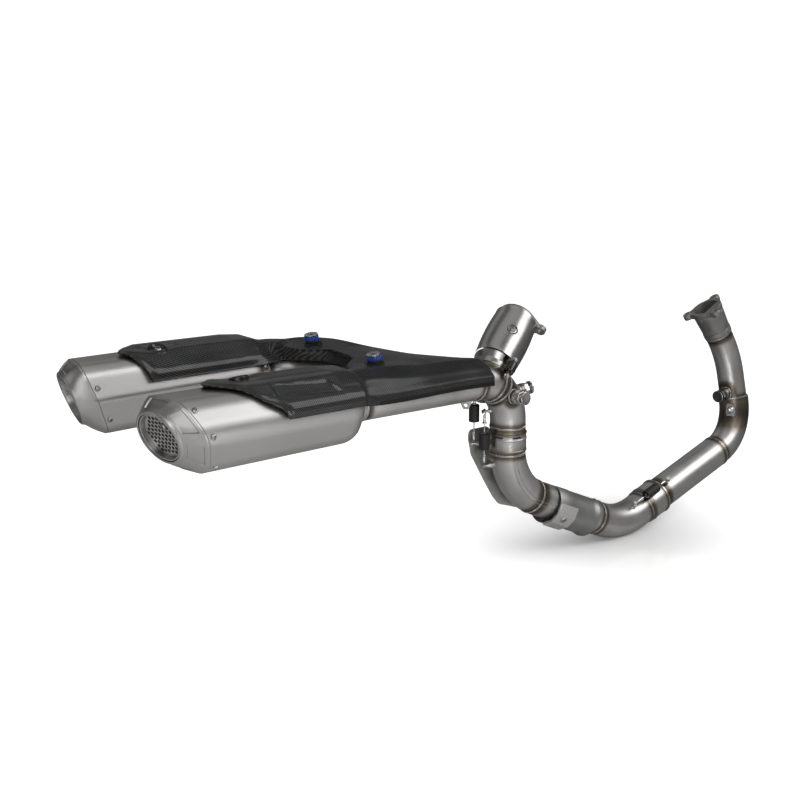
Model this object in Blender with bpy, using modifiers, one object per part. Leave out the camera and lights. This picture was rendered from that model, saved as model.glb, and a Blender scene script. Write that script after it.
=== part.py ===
"""Racing exhaust system for a twin-cylinder motorcycle.

Metres, +X forward, +Y to the bike's left, +Z up. The origin is midway between the two hanger
points that carry the tail of the system.
"""

import math

import bmesh
import bpy
from mathutils import Matrix, Vector

Z_AXIS = Vector((0.0, 0.0, 1.0))
CORNER_SIGNS = ((1, 1), (-1, 1), (-1, -1), (1, -1))

# Fits shared by all pieces
GAP = 0.0003  # between faces that rest on each other
SLIP = 0.0003  # least radial play of a slip joint
SIDES = 14  # facets round a pipe
SMALL_SIDES = 10  # facets round a screw, boss or plug
FACET = math.cos(math.pi / SIDES)  # flat against corner radius
BEND_STEP = math.radians(22.5)  # turn per ring in a bend

# Mufflers
MUFFLER_Y = 0.125  # from the mid-plane to a muffler's axis
LINK_R = 0.0270  # outside of the pipes that feed the mufflers
PIPE_TOP_Z = -0.025  # top of those pipes, below the hangers
MUFFLER_Z = PIPE_TOP_Z - LINK_R
RIM_X = -0.340  # sleeve rear end on the axis
FRONT_X = -0.072  # sleeve front face
FRONT_ROUND = 0.030  # length of the pressed front edge
FRONT_INSET = 0.020
FRONT_SCALE = 0.94  # section at the front against the rear
SLEEVE_WALL = 0.0015
CAP_WALL = 0.0015
SLASH_YAW = math.radians(12.2)
SLASH_PITCH = math.radians(20.7)
SECTION = (  # outward, up and corner radius of the sleeve's six corners
    (-0.034, 0.053, 0.026),
    (0.031, 0.053, 0.034),
    (0.061, 0.008, 0.036),
    (0.031, -0.053, 0.034),
    (-0.031, -0.053, 0.026),
    (-0.051, 0.004, 0.010),
)
RING_POINTS = 24  # points round every muffler section
SECTION_HALF = SECTION[0][1]  # half height
PANELS = 6
PANEL_EDGES = (0.22, 0.30, 0.80, 0.88)  # shares of the way from band to lip
CAP_SKIRT = 0.010
CAP_BAND = 0.0035
CAP_DEPTH = 0.0317  # rim plane to outlet plane, along X
OUTLET_R = 0.0375
OUTLET_WALL = 0.0020
OUTLET_LENGTH = 0.024
PANEL_DEPTH = 0.0022  # pressed panels of the end cap
CAP_LIP_DEPTH = 0.004
CAP_LIP_WIDE = 0.0035
CAP_BORE_DEPTH = 0.006
CAP_INSIDE = (0.20, 0.85)  # shares of the way from band to lip on the inside
OUTLET_SET = 0.0015  # outlet tube's end below the cap's
OUTLET_PLAY = 0.0007  # radial, between cap, outlet tube and screen
SCREEN_RECESS = 0.0085
SCREEN_THICK = 0.0015
SCREEN_PITCH = 0.0070
SCREEN_HOLE_R = 0.00235
SCREEN_RINGS = 4
CORE_R = 0.0255
CORE_WALL = 0.0012
CORE_HOLE_R = 0.0045
CORE_HOLE_ROWS = 2
CORE_HOLE_ANGLES = (33.75, 123.75)
CORE_REAR = 0.012  # core tube's rear end ahead of the rim
WOOL_PLAY = 0.0010
WOOL_REAR = 0.008  # wool ahead of the cap's skirt
WOOL_FRONT = 0.002  # wool behind the pressed front edge

# Pipes
PIPE_WALL = 0.0015
INLET_PLUNGE = 0.012  # link pipe end inside the sleeve
SPIGOT_DEPTH = 0.022
MID_R = LINK_R
SPIGOT_R = (MID_R - PIPE_WALL) * FACET - SLIP
HEADER_R = MID_R - 0.0010
FRONT_SLEEVE_IN = (HEADER_R + SLIP) / FACET
SLEEVE_JOINT_R = FRONT_SLEEVE_IN + PIPE_WALL / FACET
BEND_R = HEADER_R - 0.0010
UPPER_R = HEADER_R - 0.0035
REAR_R = LINK_R - 0.0020
REAR_SPIGOT_R = (REAR_R - PIPE_WALL) * FACET - SLIP
MID_JOINT_Z = -0.152
SPIGOT_ROOT = 0.012  # spigot's upper end above the joint
BORE_STEP = 0.008  # where the wide bore starts above the joint
OVERCUT = 0.010  # cutters run this far past an end
TRIM_R = 2.2 * LINK_R  # cutter that squares off the welded ends
WELD_PAST = 0.010
WELD_SET = 0.004  # from the end of a bend to the weld

FRONT_LINE = (  # corner points of the run from front port to right muffler, with bend radii
    ((0.750, 0.010, -0.040), 0.0),
    ((0.793, -0.004, -0.125), 0.150),
    ((0.796, -0.033, -0.259), 0.080),
    ((0.491, -0.066, -0.353), 0.120),
    ((0.247, -0.080, -0.243), 0.105),
    ((0.247, -0.080, MUFFLER_Z - 0.017), 0.070),
    ((0.135, -0.092, MUFFLER_Z - 0.012), 0.300),
    ((-0.030, -MUFFLER_Y, MUFFLER_Z), 0.120),
    ((FRONT_X - INLET_PLUNGE, -MUFFLER_Y, MUFFLER_Z), 0.0),
)
LEFT_BRANCH = (
    ((0.176, -0.087, MUFFLER_Z - 0.014), 0.0),
    ((0.112, -0.074, MUFFLER_Z - 0.0115), 0.060),
    ((-0.025, MUFFLER_Y, MUFFLER_Z), 0.070),
    ((FRONT_X - INLET_PLUNGE, MUFFLER_Y, MUFFLER_Z), 0.0),
)
LINK_WELD = Vector((0.176, -0.0875, MUFFLER_Z - 0.014))  # where collector and link pipe meet

# Front slip joint, measured along the lower header tube from the elbow corner
FRONT_SEAT = 0.070
FRONT_SLEEVE_START = 0.060
FRONT_SLEEVE_END = 0.100

# Front port: flange, cast neck and a lug on the tube below
STUB_LENGTH = 0.046
STUB_R = UPPER_R + 0.0030
FLANGE_THICK = 0.009
EAR_R = 0.0085
EAR_RADIUS = STUB_R + 0.0075
EAR_ANGLES = (14, 130, 250)
EAR_HOLE_R = 0.0042
FLANGE_EDGE = 0.001  # flange past the neck
NECK_IN_FLANGE = 0.004
NECK_TAPER = 0.006  # taper's upper end below the flange
NECK_FOOT = 0.004
NECK_FOOT_R = UPPER_R + 0.001
PORT_FLAT = 25  # degrees below level where the port's flat side starts
FRONT_PLUG_AT = Vector((0.7957, -0.0167, -0.1850))  # on the upper tube's axis
FRONT_PLUG_FACE = Vector((-0.97, -0.22, -0.05)).normalized()

LUG_FACE = Vector((-0.85, -0.50, 0.10))
LUG_BELOW = 0.018  # from the upper weld, down the bend
LUG_SIZE = (0.011, 0.008)  # half height and half width
LUG_THICK = 0.009
LUG_HOLE_R = 0.0030
LUG_CORNER_R = 0.003

# Rear header
REAR_BASE = Vector((0.222, -0.066, MUFFLER_Z - 0.010))
REAR_TOP = Vector((0.325, -0.015, MUFFLER_Z + 0.064))
REAR_AXIS = (REAR_TOP - REAR_BASE).normalized()
REAR_SEAT = LINK_R - 0.016
REAR_SPIGOT = 0.022
REAR_SPIGOT_ROOT = 0.010
REAR_BORE_STEP = 0.006
MERGE_STRAIGHT = 0.030  # rear branch below its seat, before it bends into the collector
MERGE_BEND = 0.048
MERGE_SHIFT = Vector((-0.006, -0.003, 0.004))
MERGE_END = Vector((0.186, -0.086, MUFFLER_Z - 0.020))
REAR_FLANGE_AT = 0.1110
REAR_FLANGE_THICK = 0.008
REAR_FLANGE_EDGE = 0.005  # flange past the tube
REAR_EAR_RADIUS = REAR_R + 0.0150
REAR_EAR_ANGLES = (-8, 128)
SHIELD_START = REAR_SEAT + 0.009
SHIELD_R = REAR_R + 0.0080
SHIELD_BULGE = 0.0025
SHIELD_WALL = 0.0012
SHIELD_ARC = math.radians(172)
SHIELD_FACE = Vector((-0.162, -0.692, 0.703))
SHIELD_SCREW_AT = 0.045  # from the shield's lower end
SHIELD_STEPS = 5

# Springs
WIRE_R = 0.0010
COIL_R = 0.0050
POST_R = 0.0020
HOOK_R = POST_R + WIRE_R + 0.0004
POST_HEAD_R = 0.0032
POST_HEAD = 0.0015
POST_PAST = 0.0026  # spring line to the underside of the post's head
CURL_POINTS = 8
LEAST_SPRING_GAP = 0.0004
RUBBER_IN = COIL_R + WIRE_R + 0.0004
RUBBER_OUT = 0.0080
POST_FROM = 0.014  # posts on hollowed pipes start this far from the pipe's axis
HOOK_NECK = 0.001
HOOK_STEM = 0.003
COIL_LEAD = 0.002  # straight wire before the first curl
LEAD_SHRINK = 0.85
LEAD_PITCH = 0.6
SPRINGS = {  # where the coil starts and ends from the first hook, its turns, its rubber sleeve
    "mid_spring_near": (0.035, 0.057, 5, (0.034, 0.058)),
    "mid_spring_far": (0.014, 0.038, 5, (0.013, 0.039)),
    "front_spring": (0.030, 0.054, 5, (0.028, 0.056)),
    "rear_spring": (0.010, 0.024, 4, None),
}

# Spring lines: two hook points and the direction of their posts
MID_NEAR = Vector((-0.989, 0.148, 0.0)).normalized() * (MID_R + 0.0134)
MID_FAR = Vector((-0.861, 0.509, 0.0)).normalized() * (MID_R + 0.0241)
NEAR_HOOKS = (-0.118, -0.203)
FAR_HOOKS = (-0.098, -0.172)
FRONT_SPRING_OUT = MID_R + 0.0105
FRONT_HOOKS = (0.026, 0.109)
REAR_SPRING_OUT = REAR_R + 0.0170
REAR_HOOKS = (-0.030, 0.004)

# Cover
COVER_WALL = 0.0020
HANGER_Y = 0.0785
HANGER_LEAN = math.radians(10)
WASHER_R = 0.0102
WASHER_THICK = 0.0022
TUBE_R = 0.0050
BUSH_R = 0.0108
BUSH_HEIGHT = 0.0085
PAD_DROP = WASHER_THICK + BUSH_HEIGHT + 2 * GAP
BRACKET_THICK = 0.004
BRACKET_WIDE = 0.024
COVER_BOLT = (-0.240, -0.018)  # X, and outward from the muffler's axis
COVER_BOLT_R = 0.0030
COVER_BOLT_HEAD_R = 0.0055
COVER_BOLT_HEAD = 0.0030
SEAT_SLOPE = 0.0009  # clearance where a flat end meets a slightly sloping surface
PAD_TOP_R = TUBE_R + 0.0080
PAD_FOOT_R = PAD_TOP_R + 0.0040
PAD_HEIGHT = 0.0115
TUBE_BORE_R = TUBE_R - 0.0018
WEB_DEPTH = 0.030
SPACER_R = 0.0060
BOLT_DRILL = (-0.006, 0.020)  # below and above the arm's surface
PAD_DRILL = 0.060
BUSH_CHAMFER = 0.0008
BRACKET_CORNER_R = 0.004
WEB_SET = 0.0015  # bracket's web off the washer's tube
ARM = (  # outward and up from the muffler's axis, and the rear edge's X, from outside to inside
    (0.0605, 0.013, -0.208),
    (0.0585, 0.027, -0.216),
    (0.0490, 0.041, -0.238),
    (0.0380, 0.0515, -0.254),
    (0.0220, 0.0585, -0.272),
    (-0.0080, 0.0595, -0.298),
    (-0.0280, 0.0575, -0.290),
    (-0.0450, 0.0400, -0.275),
    (-0.0540, 0.0220, -0.266),
)
ARM_STATIONS = (0.0, 0.45, 0.8, 1.0)
ARM_END_X = -0.086
ARM_DROP = 0.006  # the arm's crown falls this much from rear to front
BRIDGE = (  # foot and head of the bridge's rear wall: X, Y, Z of the right half in mm
    (
        (-66, -158, -50),
        (-66, -158, -42),
        (-66, -157, -34),
        (-66, -153, -26),
        (-66, -146, -15),
        (-66, -122, -7),
        (-66, -103, -9),
        (-60, -91, -23),
        (-52, -80, -31),
        (-36, -60, -31),
        (-8, -31, -31),
        (-4, 0, -31),
    ),
    (
        (-45, -158, -52),
        (-45, -158, -45),
        (-45, -156, -37),
        (-45, -149, -28),
        (-45, -142, -17),
        (-46, -119, -8),
        (-48, -103, -9),
        (-46, -94, -12),
        (-42, -84, -14),
        (-32, -61, -15),
        (-2, -31, -15),
        (2, 0, -15),
    ),
)
BODY = (  # X, then Y and Z in mm of edge, side, shoulder, crest and inner line: right, middle, left
    (
        0,
        ((-152, -55), (-151, -41), (-138, -23), (-114, -12), (-95, -13)),
        ((-66, -16), (-34, -15), (0, -15), (34, -15), (66, -16)),
        ((95, -13), (110, -10), (128, -20), (137, -38), (138, -50)),
    ),
    (
        40,
        ((-145, -57), (-144, -43), (-131, -27), (-106, -17), (-87, -17)),
        ((-64, -18), (-38, -17), (-10, -16), (18, -16), (44, -16)),
        ((64, -13), (78, -12), (92, -20), (101, -36), (102, -48)),
    ),
    (
        80,
        ((-137, -59), (-136, -45), (-121, -31), (-97, -24), (-79, -23)),
        ((-60, -22), (-40, -22), (-20, -22), (0, -22), (20, -22)),
        ((34, -22), (48, -23), (61, -29), (69, -41), (70, -52)),
    ),
    (
        125,
        ((-128, -62), (-127, -48), (-113, -35), (-90, -27), (-73, -27)),
        ((-62, -27), (-50, -28), (-38, -29), (-26, -30), (-14, -31)),
        ((2, -32), (18, -34), (31, -40), (39, -48), (40, -57)),
    ),
    (
        165,
        ((-122, -65), (-121, -51), (-107, -38), (-83, -31), (-68, -31)),
        ((-62, -32), (-56, -33), (-50, -34), (-44, -35), (-36, -36)),
        ((-24, -37), (-10, -39), (3, -44), (11, -51), (12, -59)),
    ),
    (
        190,
        ((-118, -67), (-117, -53), (-103, -41), (-80, -34), (-71, -35)),
        ((-66, -35), (-62, -36), (-58, -37), (-52, -38), (-46, -39)),
        ((-38, -40), (-28, -42), (-20, -47), (-13, -54), (-12, -61)),
    ),
)
MM = 0.001
COVER_PIPE_R = 0.0270  # pipe radius that the body table is drawn for
COVER_EDGE = 3  # points from each edge that move out with a wider pipe
BOTH_SIDES = Vector((1.0, -1.0, 1.0))

# Guards on the mid pipe
PLATE_Y = FRONT_LINE[4][0][1] + MID_R + 0.0090
PLATE_THICK = 0.0015
PLATE_OUTLINE = (  # X and Z
    (0.201, -0.152),
    (0.2005, -0.167),
    (0.206, -0.192),
    (0.230, -0.235),
    (0.249, -0.266),
    (0.261, -0.280),
    (0.283, -0.2875),
    (0.318, -0.300),
    (0.326, -0.284),
    (0.296, -0.262),
    (0.266, -0.232),
    (0.246, -0.188),
    (0.242, -0.152),
)
PLATE_POSTS = ((0.246, -0.205), (0.285, -0.262))
ELBOW_GUARD_R = MID_R + 0.0040
ELBOW_GUARD_WALL = 0.0012
ELBOW_GUARD_FROM = 0.084  # from the elbow corner, back towards the collector
ELBOW_GUARD_TO = 0.178
ELBOW_GUARD_ARC = math.radians(210)
ELBOW_POST_AT = 0.158
ELBOW_FLARE = 0.002
GUARD_FACE = Vector((-0.30, -0.85, -0.42))
GUARD_DROP = Vector((0.0, -0.0008, -0.0030))  # the guard hangs a little below the pipe
BOSS_ROOT = 0.010  # bosses start this far from a pipe's axis
GUARD_DRILL = (0.020, 0.060)
BOSS_R = 0.0045
SCREW_R = 0.0020
SCREW_HEAD_R = 0.0042
SCREW_HEAD = 0.0022

# Pieces that move together on a slip joint
MID_BODY = (
    "mid_pipe",
    "mid_guard_plate",
    "guard_screw_0",
    "guard_screw_1",
    "elbow_guard",
    "elbow_guard_screw",
    "front_spring",
    "front_spring_rubber",
)
FRONT_BODY = (
    "front_header_tube",
    "front_header_bend",
    "front_header_upper",
    "front_port_stub",
    "front_oxygen_plug",
    "header_lug",
)
REAR_BODY = (
    "rear_header_tube",
    "rear_header_shield",
    "rear_shield_screw",
    "rear_port_flange",
)

# Oxygen sensor bosses and plugs
O2_BOSS_R = 0.0105
O2_BOSS_UP = 0.009  # boss face above the pipe's surface
O2_BORE_R = 0.0060
O2_HEX_R = 0.0105
O2_HEX_SHARE = 0.95  # hexagon against its flange
O2_FLANGE_R = 0.0100
O2_SEAT = 0.0025  # heights of the plug's flange, hexagon, neck and disc
O2_HEX = 0.0070
O2_NECK = 0.0040
O2_DISC = 0.0025
O2_DISC_SLOPE = 0.0010
O2_LAP = 0.0005
O2_PLACES = (
    (Vector((0.2355, -0.081, MUFFLER_Z - 0.046)), Vector((1.0, 0.0, 0.12)).normalized()),
    (Vector((0.2300, -0.0810, MUFFLER_Z - 0.041)), Vector((0.12, -1.0, 0.05)).normalized()),
)



def clear_scene():
    for obj in list(bpy.data.objects):
        bpy.data.objects.remove(obj, do_unlink=True)


def collection(name, hidden=False):
    made = bpy.data.collections.new(name)
    bpy.context.scene.collection.children.link(made)
    made.hide_render = hidden
    return made


clear_scene()
PARTS = collection("racing_exhaust_system")
CUTTERS = collection("cutters", hidden=True)


def material(name, colour, roughness, metallic):
    made = bpy.data.materials.new(name)
    made.use_nodes = True
    shader = made.node_tree.nodes["Principled BSDF"]
    shader.inputs["Base Color"].default_value = (*colour, 1.0)
    shader.inputs["Roughness"].default_value = roughness
    shader.inputs["Metallic"].default_value = metallic
    return made


FINISH = {
    "titanium": ((0.42, 0.40, 0.38), 0.38, 1.0),
    "steel": ((0.60, 0.59, 0.57), 0.28, 1.0),
    "screen": ((0.35, 0.35, 0.36), 0.35, 1.0),
    "carbon": ((0.015, 0.015, 0.017), 0.18, 0.0),
    "cast": ((0.10, 0.10, 0.10), 0.60, 1.0),
    "polished": ((0.70, 0.69, 0.67), 0.12, 1.0),
    "guard": ((0.33, 0.33, 0.33), 0.50, 1.0),
    "rubber": ((0.02, 0.02, 0.02), 0.75, 0.0),
    "blue": ((0.02, 0.09, 0.45), 0.40, 0.0),
    "wool": ((0.62, 0.60, 0.52), 0.95, 0.0),
}


def add(name, mesh, finish, smooth=True):
    """A part: one named object with its own material."""
    obj = bpy.data.objects.new(name, mesh)
    PARTS.objects.link(obj)
    mesh.materials.clear()
    mesh.materials.append(material(name, *FINISH[finish]))
    if smooth:
        mesh.shade_smooth()
        mesh.set_sharp_from_angle(angle=math.radians(38))
    return obj


def helper(name, mesh):
    """A solid that only joins or cuts another."""
    obj = bpy.data.objects.new(name, mesh)
    CUTTERS.objects.link(obj)
    obj.hide_render = True
    obj.display_type = "WIRE"
    return obj


def boolean(obj, other, operation):
    made = obj.modifiers.new(other.name, "BOOLEAN")
    made.operation = operation
    made.solver = "EXACT"
    made.object = other


def solidify(obj, thickness, even=True):
    made = obj.modifiers.new("wall", "SOLIDIFY")
    made.thickness = thickness
    made.offset = -1.0
    made.use_even_offset = even


def cleaned(mesh, turn_faces=True):
    """The mesh with doubled points merged and, unless told not to, its faces turned out."""
    work = bmesh.new()
    work.from_mesh(mesh)
    bmesh.ops.remove_doubles(work, verts=work.verts, dist=1e-7)
    if turn_faces:
        bmesh.ops.recalc_face_normals(work, faces=work.faces)
    if all(edge.is_manifold for edge in work.edges) and work.calc_volume(signed=True) < 0:
        bmesh.ops.reverse_faces(work, faces=work.faces)
    work.to_mesh(mesh)
    work.free()
    return mesh


def mesh_of(name, points, faces):
    mesh = bpy.data.meshes.new(name)
    mesh.from_pydata([tuple(p) for p in points], [], faces)
    return cleaned(mesh)


def mesh_from(obj, turn_faces=True):
    """The evaluated mesh of a helper object, which is then removed."""
    graph = bpy.context.evaluated_depsgraph_get()
    mesh = bpy.data.meshes.new_from_object(obj.evaluated_get(graph))
    data = obj.data
    bpy.data.objects.remove(obj, do_unlink=True)
    if isinstance(data, bpy.types.Curve):
        bpy.data.curves.remove(data)
    return cleaned(mesh, turn_faces)


def curve_object(name, dimensions):
    data = bpy.data.curves.new(name, "CURVE")
    data.dimensions = dimensions
    obj = bpy.data.objects.new(name, data)
    CUTTERS.objects.link(obj)
    return obj


def rod(name, points, radius, capped=True, sides=SIDES):
    """Mesh of a round bar or an open tube surface along the points."""
    obj = curve_object(name, "3D")
    spline = obj.data.splines.new("POLY")
    spline.points.add(len(points) - 1)
    for target, point in zip(spline.points, points):
        target.co = (*point, 1.0)
    obj.data.bevel_depth = radius
    obj.data.bevel_resolution = (sides - 4) // 2
    obj.data.use_fill_caps = capped
    bpy.context.view_layer.update()
    return mesh_from(obj)


def plate(name, loops, thickness, matrix):
    """Mesh of a flat outline with holes, thickened up from z = 0 and then placed."""
    obj = curve_object(name, "2D")
    obj.data.fill_mode = "BOTH"
    obj.data.extrude = thickness / 2
    for loop in loops:
        spline = obj.data.splines.new("POLY")
        spline.use_cyclic_u = True
        spline.points.add(len(loop) - 1)
        for target, point in zip(spline.points, loop):
            target.co = (point[0], point[1], 0.0, 1.0)
    bpy.context.view_layer.update()
    mesh = mesh_from(obj)
    mesh.transform(matrix @ Matrix.Translation((0, 0, thickness / 2)))
    return mesh


def turned(name, profile, matrix, steps=24, angle=2 * math.pi):
    """Mesh of a profile of radius and height, turned about local Z and then placed."""
    count = len(profile)
    mesh = bpy.data.meshes.new(name)
    whole = angle >= 2 * math.pi
    links = [(i, i + 1) for i in range(count - 1)]
    mesh.from_pydata([(r, 0.0, z) for r, z in profile], links, [])
    obj = bpy.data.objects.new(name, mesh)
    CUTTERS.objects.link(obj)
    screw = obj.modifiers.new("turn", "SCREW")
    screw.angle = angle
    screw.steps = steps
    screw.render_steps = steps
    screw.use_merge_vertices = whole
    screw.merge_threshold = 1e-6
    bpy.context.view_layer.update()
    made = mesh_from(obj, turn_faces=whole)
    made.transform(matrix)
    return made


def ring_profile(inner, outer, bottom, top):
    """Closed profile of a plain tube."""
    return [(outer, top), (outer, bottom), (inner, bottom), (inner, top), (outer, top)]


def loft(name, rings, wrap=False, cyclic=True):
    """Mesh through rings of equal count; wrap also joins the last ring to the first."""
    points = [p for ring in rings for p in ring]
    count = len(rings[0])
    faces = []
    spans = len(rings) if wrap else len(rings) - 1
    steps = count if cyclic else count - 1
    for i in range(spans):
        for j in range(steps):
            a = i * count
            b = (i + 1) % len(rings) * count
            k = (j + 1) % count
            faces.append((a + j, a + k, b + k, b + j))
    return mesh_of(name, points, faces)


def axis_matrix(origin, axis, facing=None):
    """Frame with local Z along the axis and local X nearest to the facing direction."""
    z = Vector(axis).normalized()
    guess = Vector(facing) if facing is not None else Vector((0.0, 1.0, 0.0))
    x = (guess - z * guess.dot(z)).normalized()
    y = z.cross(x)
    made = Matrix((x, y, z)).transposed().to_4x4()
    made.translation = Vector(origin)
    return made


def bent_path(corners):
    """Points along straight runs with rounded corners; each corner is a point and a radius."""
    points = [Vector(corners[0][0])]
    for (before, _), (here, radius), (after, _) in zip(corners, corners[1:], corners[2:]):
        here = Vector(here)
        back = (Vector(before) - here).normalized()
        ahead = (Vector(after) - here).normalized()
        half = back.angle(ahead) / 2
        turn = math.pi - 2 * half
        reach = radius / math.tan(half)
        centre = here + (back + ahead).normalized() * (radius / math.sin(half))
        normal = back.cross(ahead).normalized()
        start = here + back * reach - centre
        count = max(2, math.ceil(turn / BEND_STEP))
        for step in range(count + 1):
            spin = Matrix.Rotation(-turn * step / count, 3, normal)
            points.append(centre + spin @ start)
    points.append(Vector(corners[-1][0]))
    return points


def bend_reach(back, ahead, radius):
    """From a rounded corner to the end of its bend."""
    return radius / math.tan(back.angle(ahead) / 2)


def cut_path(points, keep_from=None, keep_to=None):
    """Part of a path between two planes, each a point and a normal along the path."""
    kept = list(points)
    if keep_from is not None:
        kept = trim(kept, *keep_from)
    if keep_to is not None:
        point, normal = keep_to
        kept = trim(kept[::-1], point, -Vector(normal))[::-1]
    return kept


def trim(points, point, normal):
    """Drop what lies before the plane's first crossing."""
    point = Vector(point)
    normal = Vector(normal)
    heights = [(p - point).dot(normal) for p in points]
    for i in range(len(points) - 1):
        if heights[i] < 0 <= heights[i + 1]:
            share = heights[i] / (heights[i] - heights[i + 1])
            crossing = points[i].lerp(points[i + 1], share)
            rest = points[i + 1 :]
            if (rest[0] - crossing).length < 1e-5:
                rest = rest[1:]
            return [crossing, *rest]
    return points


def longer(points, start=0.0, end=0.0):
    """The path with its straight ends drawn out."""
    made = list(points)
    if start:
        made[0] = made[0] + (made[0] - made[1]).normalized() * start
    if end:
        made[-1] = made[-1] + (made[-1] - made[-2]).normalized() * end
    return made


def offset_line(points, start, end):
    """The path with both straight ends moved along it by the given lengths inward."""
    return longer(points, -start, -end)


def tube(name, points, radius, finish, wall=PIPE_WALL):
    """A plain pipe part."""
    obj = add(name, rod(name, points, radius, capped=False), finish)
    solidify(obj, wall)
    return obj


def joined(name, solids, hollows, finish):
    """A part made of several solids joined, then hollowed."""
    base = add(name, solids[0], finish)
    for index, mesh in enumerate(solids[1:]):
        boolean(base, helper(f"{name}_join_{index}", mesh), "UNION")
    for index, mesh in enumerate(hollows):
        boolean(base, helper(f"{name}_cut_{index}", mesh), "DIFFERENCE")
    return base


def mirrored(mesh, side):
    """The mesh on the right as it is, or reflected to the left."""
    if side > 0:
        mesh.transform(Matrix.Scale(-1, 4, (0, 1, 0)))
        mesh.flip_normals()
    return mesh


def post(origin, hook, past=POST_PAST):
    """Solid of a headed spring post from inside a pipe through its hook point."""
    axis = (hook - origin).normalized()
    reach = (hook - origin).length + past
    profile = [
        (0.0, reach + POST_HEAD),
        (POST_HEAD_R, reach + POST_HEAD),
        (POST_HEAD_R, reach),
        (POST_R, reach),
        (POST_R, 0.0),
        (0.0, 0.0),
    ]
    return turned("post", profile, axis_matrix(origin, axis, (0.3, 0.5, 0.8)), 8)


def boss(origin, axis, radius, start, end):
    """Solid of a plain round boss along an axis."""
    profile = [(0.0, end), (radius, end), (radius, start), (0.0, start)]
    return turned("boss", profile, axis_matrix(origin, axis, (0.3, 0.5, 0.8)), SMALL_SIDES)


def circle(radius, count, centre=(0.0, 0.0), turn=0.0):
    return [
        (
            centre[0] + radius * math.cos(turn + 2 * math.pi * i / count),
            centre[1] + radius * math.sin(turn + 2 * math.pi * i / count),
        )
        for i in range(count)
    ]


def rounded_polygon(corners, per_corner):
    """Outline of a polygon whose corners each have a radius."""
    outline = []
    for i, (x, y, radius) in enumerate(corners):
        here = Vector((x, y, 0.0))
        back = (Vector((*corners[i - 1][:2], 0.0)) - here).normalized()
        ahead = (Vector((*corners[(i + 1) % len(corners)][:2], 0.0)) - here).normalized()
        half = back.angle(ahead) / 2
        turn = math.pi - 2 * half
        centre = here + (back + ahead).normalized() * (radius / math.sin(half))
        start = here + back * (radius / math.tan(half)) - centre
        normal = back.cross(ahead).normalized()
        for step in range(per_corner):
            spin = Matrix.Rotation(-turn * step / (per_corner - 1), 3, normal)
            point = centre + spin @ start
            outline.append((point.x, point.y))
    return outline


def ear_plate_outline(core, ears, ear, steps=5):
    """Outline of a round plate with rounded ears at the given angles and reach."""
    outline = []
    for angle, reach in ears:
        flare = math.acos((core - ear) / reach)
        along = Vector((math.cos(angle), math.sin(angle)))
        for step in range(steps + 1):
            spread = angle - flare + 2 * flare * step / steps
            outline.append(tuple(along * reach + Vector((math.cos(spread), math.sin(spread))) * ear))
        following = ears[(ears.index((angle, reach)) + 1) % len(ears)]
        start = angle + flare
        end = following[0] - math.acos((core - ear) / following[1])
        while end < start:
            end += 2 * math.pi
        for step in range(1, steps):
            spread = start + (end - start) * step / steps
            outline.append((core * math.cos(spread), core * math.sin(spread)))
    return outline


# Mufflers
def section_outline():
    """The sleeve's section as points at equal angles, one of them on the inner crease."""
    fine = rounded_polygon(SECTION, 8)
    crease = math.atan2(SECTION[-1][1], SECTION[-1][0])
    outline = []
    for i in range(RING_POINTS):
        turn = crease - 2 * math.pi * i / RING_POINTS
        ray = Vector((math.cos(turn), math.sin(turn)))
        for a, b in zip(fine, fine[1:] + fine[:1]):
            hit = crossing(ray, Vector(a), Vector(b))
            if hit is not None:
                outline.append(tuple(ray * hit))
                break
    return outline


def crossing(ray, a, b):
    """How far along the ray from the middle it meets the segment, or None."""
    side = b - a
    bottom = ray.x * side.y - ray.y * side.x
    if abs(bottom) < 1e-12:
        return None
    reach = (a.x * side.y - a.y * side.x) / bottom
    share = (a.x * ray.y - a.y * ray.x) / bottom
    return reach if reach > 0 and -1e-9 <= share <= 1 + 1e-9 else None


OUTLINE = section_outline()


def slash_x(outward, up):
    """Forward shift of the slash-cut plane at a point of the section."""
    return math.tan(SLASH_YAW) * outward - math.tan(SLASH_PITCH) / math.cos(SLASH_YAW) * up


def section_ring(x, inset=0.0, slashed=False, least=0.0):
    """Ring of the right muffler's section at x, moved in but never nearer than least."""
    along = (x - RIM_X) / (FRONT_X - RIM_X)
    scale = 1 + (FRONT_SCALE - 1) * along - inset / SECTION_HALF
    ring = []
    for outward, up in OUTLINE:
        size = max(scale, least / math.hypot(outward, up))
        shift = slash_x(outward * size, up * size) if slashed else 0.0
        ring.append((x + shift, -MUFFLER_Y - outward * size, MUFFLER_Z + up * size))
    return ring


def round_ring(x, radius, slashed=False):
    """Ring round the muffler's axis with as many points as the section."""
    ring = []
    for outward, up in OUTLINE:
        reach = math.hypot(outward, up)
        o = outward / reach * radius
        z = up / reach * radius
        shift = slash_x(o, z) if slashed else 0.0
        ring.append((x + shift, -MUFFLER_Y - o, MUFFLER_Z + z))
    return ring


def outlet_ring(depth, radius):
    """Circle about the outlet's own tilted axis, depth in front of the outlet plane."""
    frame = outlet_frame(depth)
    ring = []
    for outward, up in OUTLINE:
        reach = math.hypot(outward, up)
        ring.append(frame @ Vector((outward / reach * radius, up / reach * radius, 0.0)))
    return ring


def outlet_axis():
    """Direction out of the right outlet."""
    across = math.cos(SLASH_PITCH)
    return Vector(
        (
            -math.cos(SLASH_YAW) * across,
            -math.sin(SLASH_YAW) * across,
            -math.sin(SLASH_PITCH),
        )
    )


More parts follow.
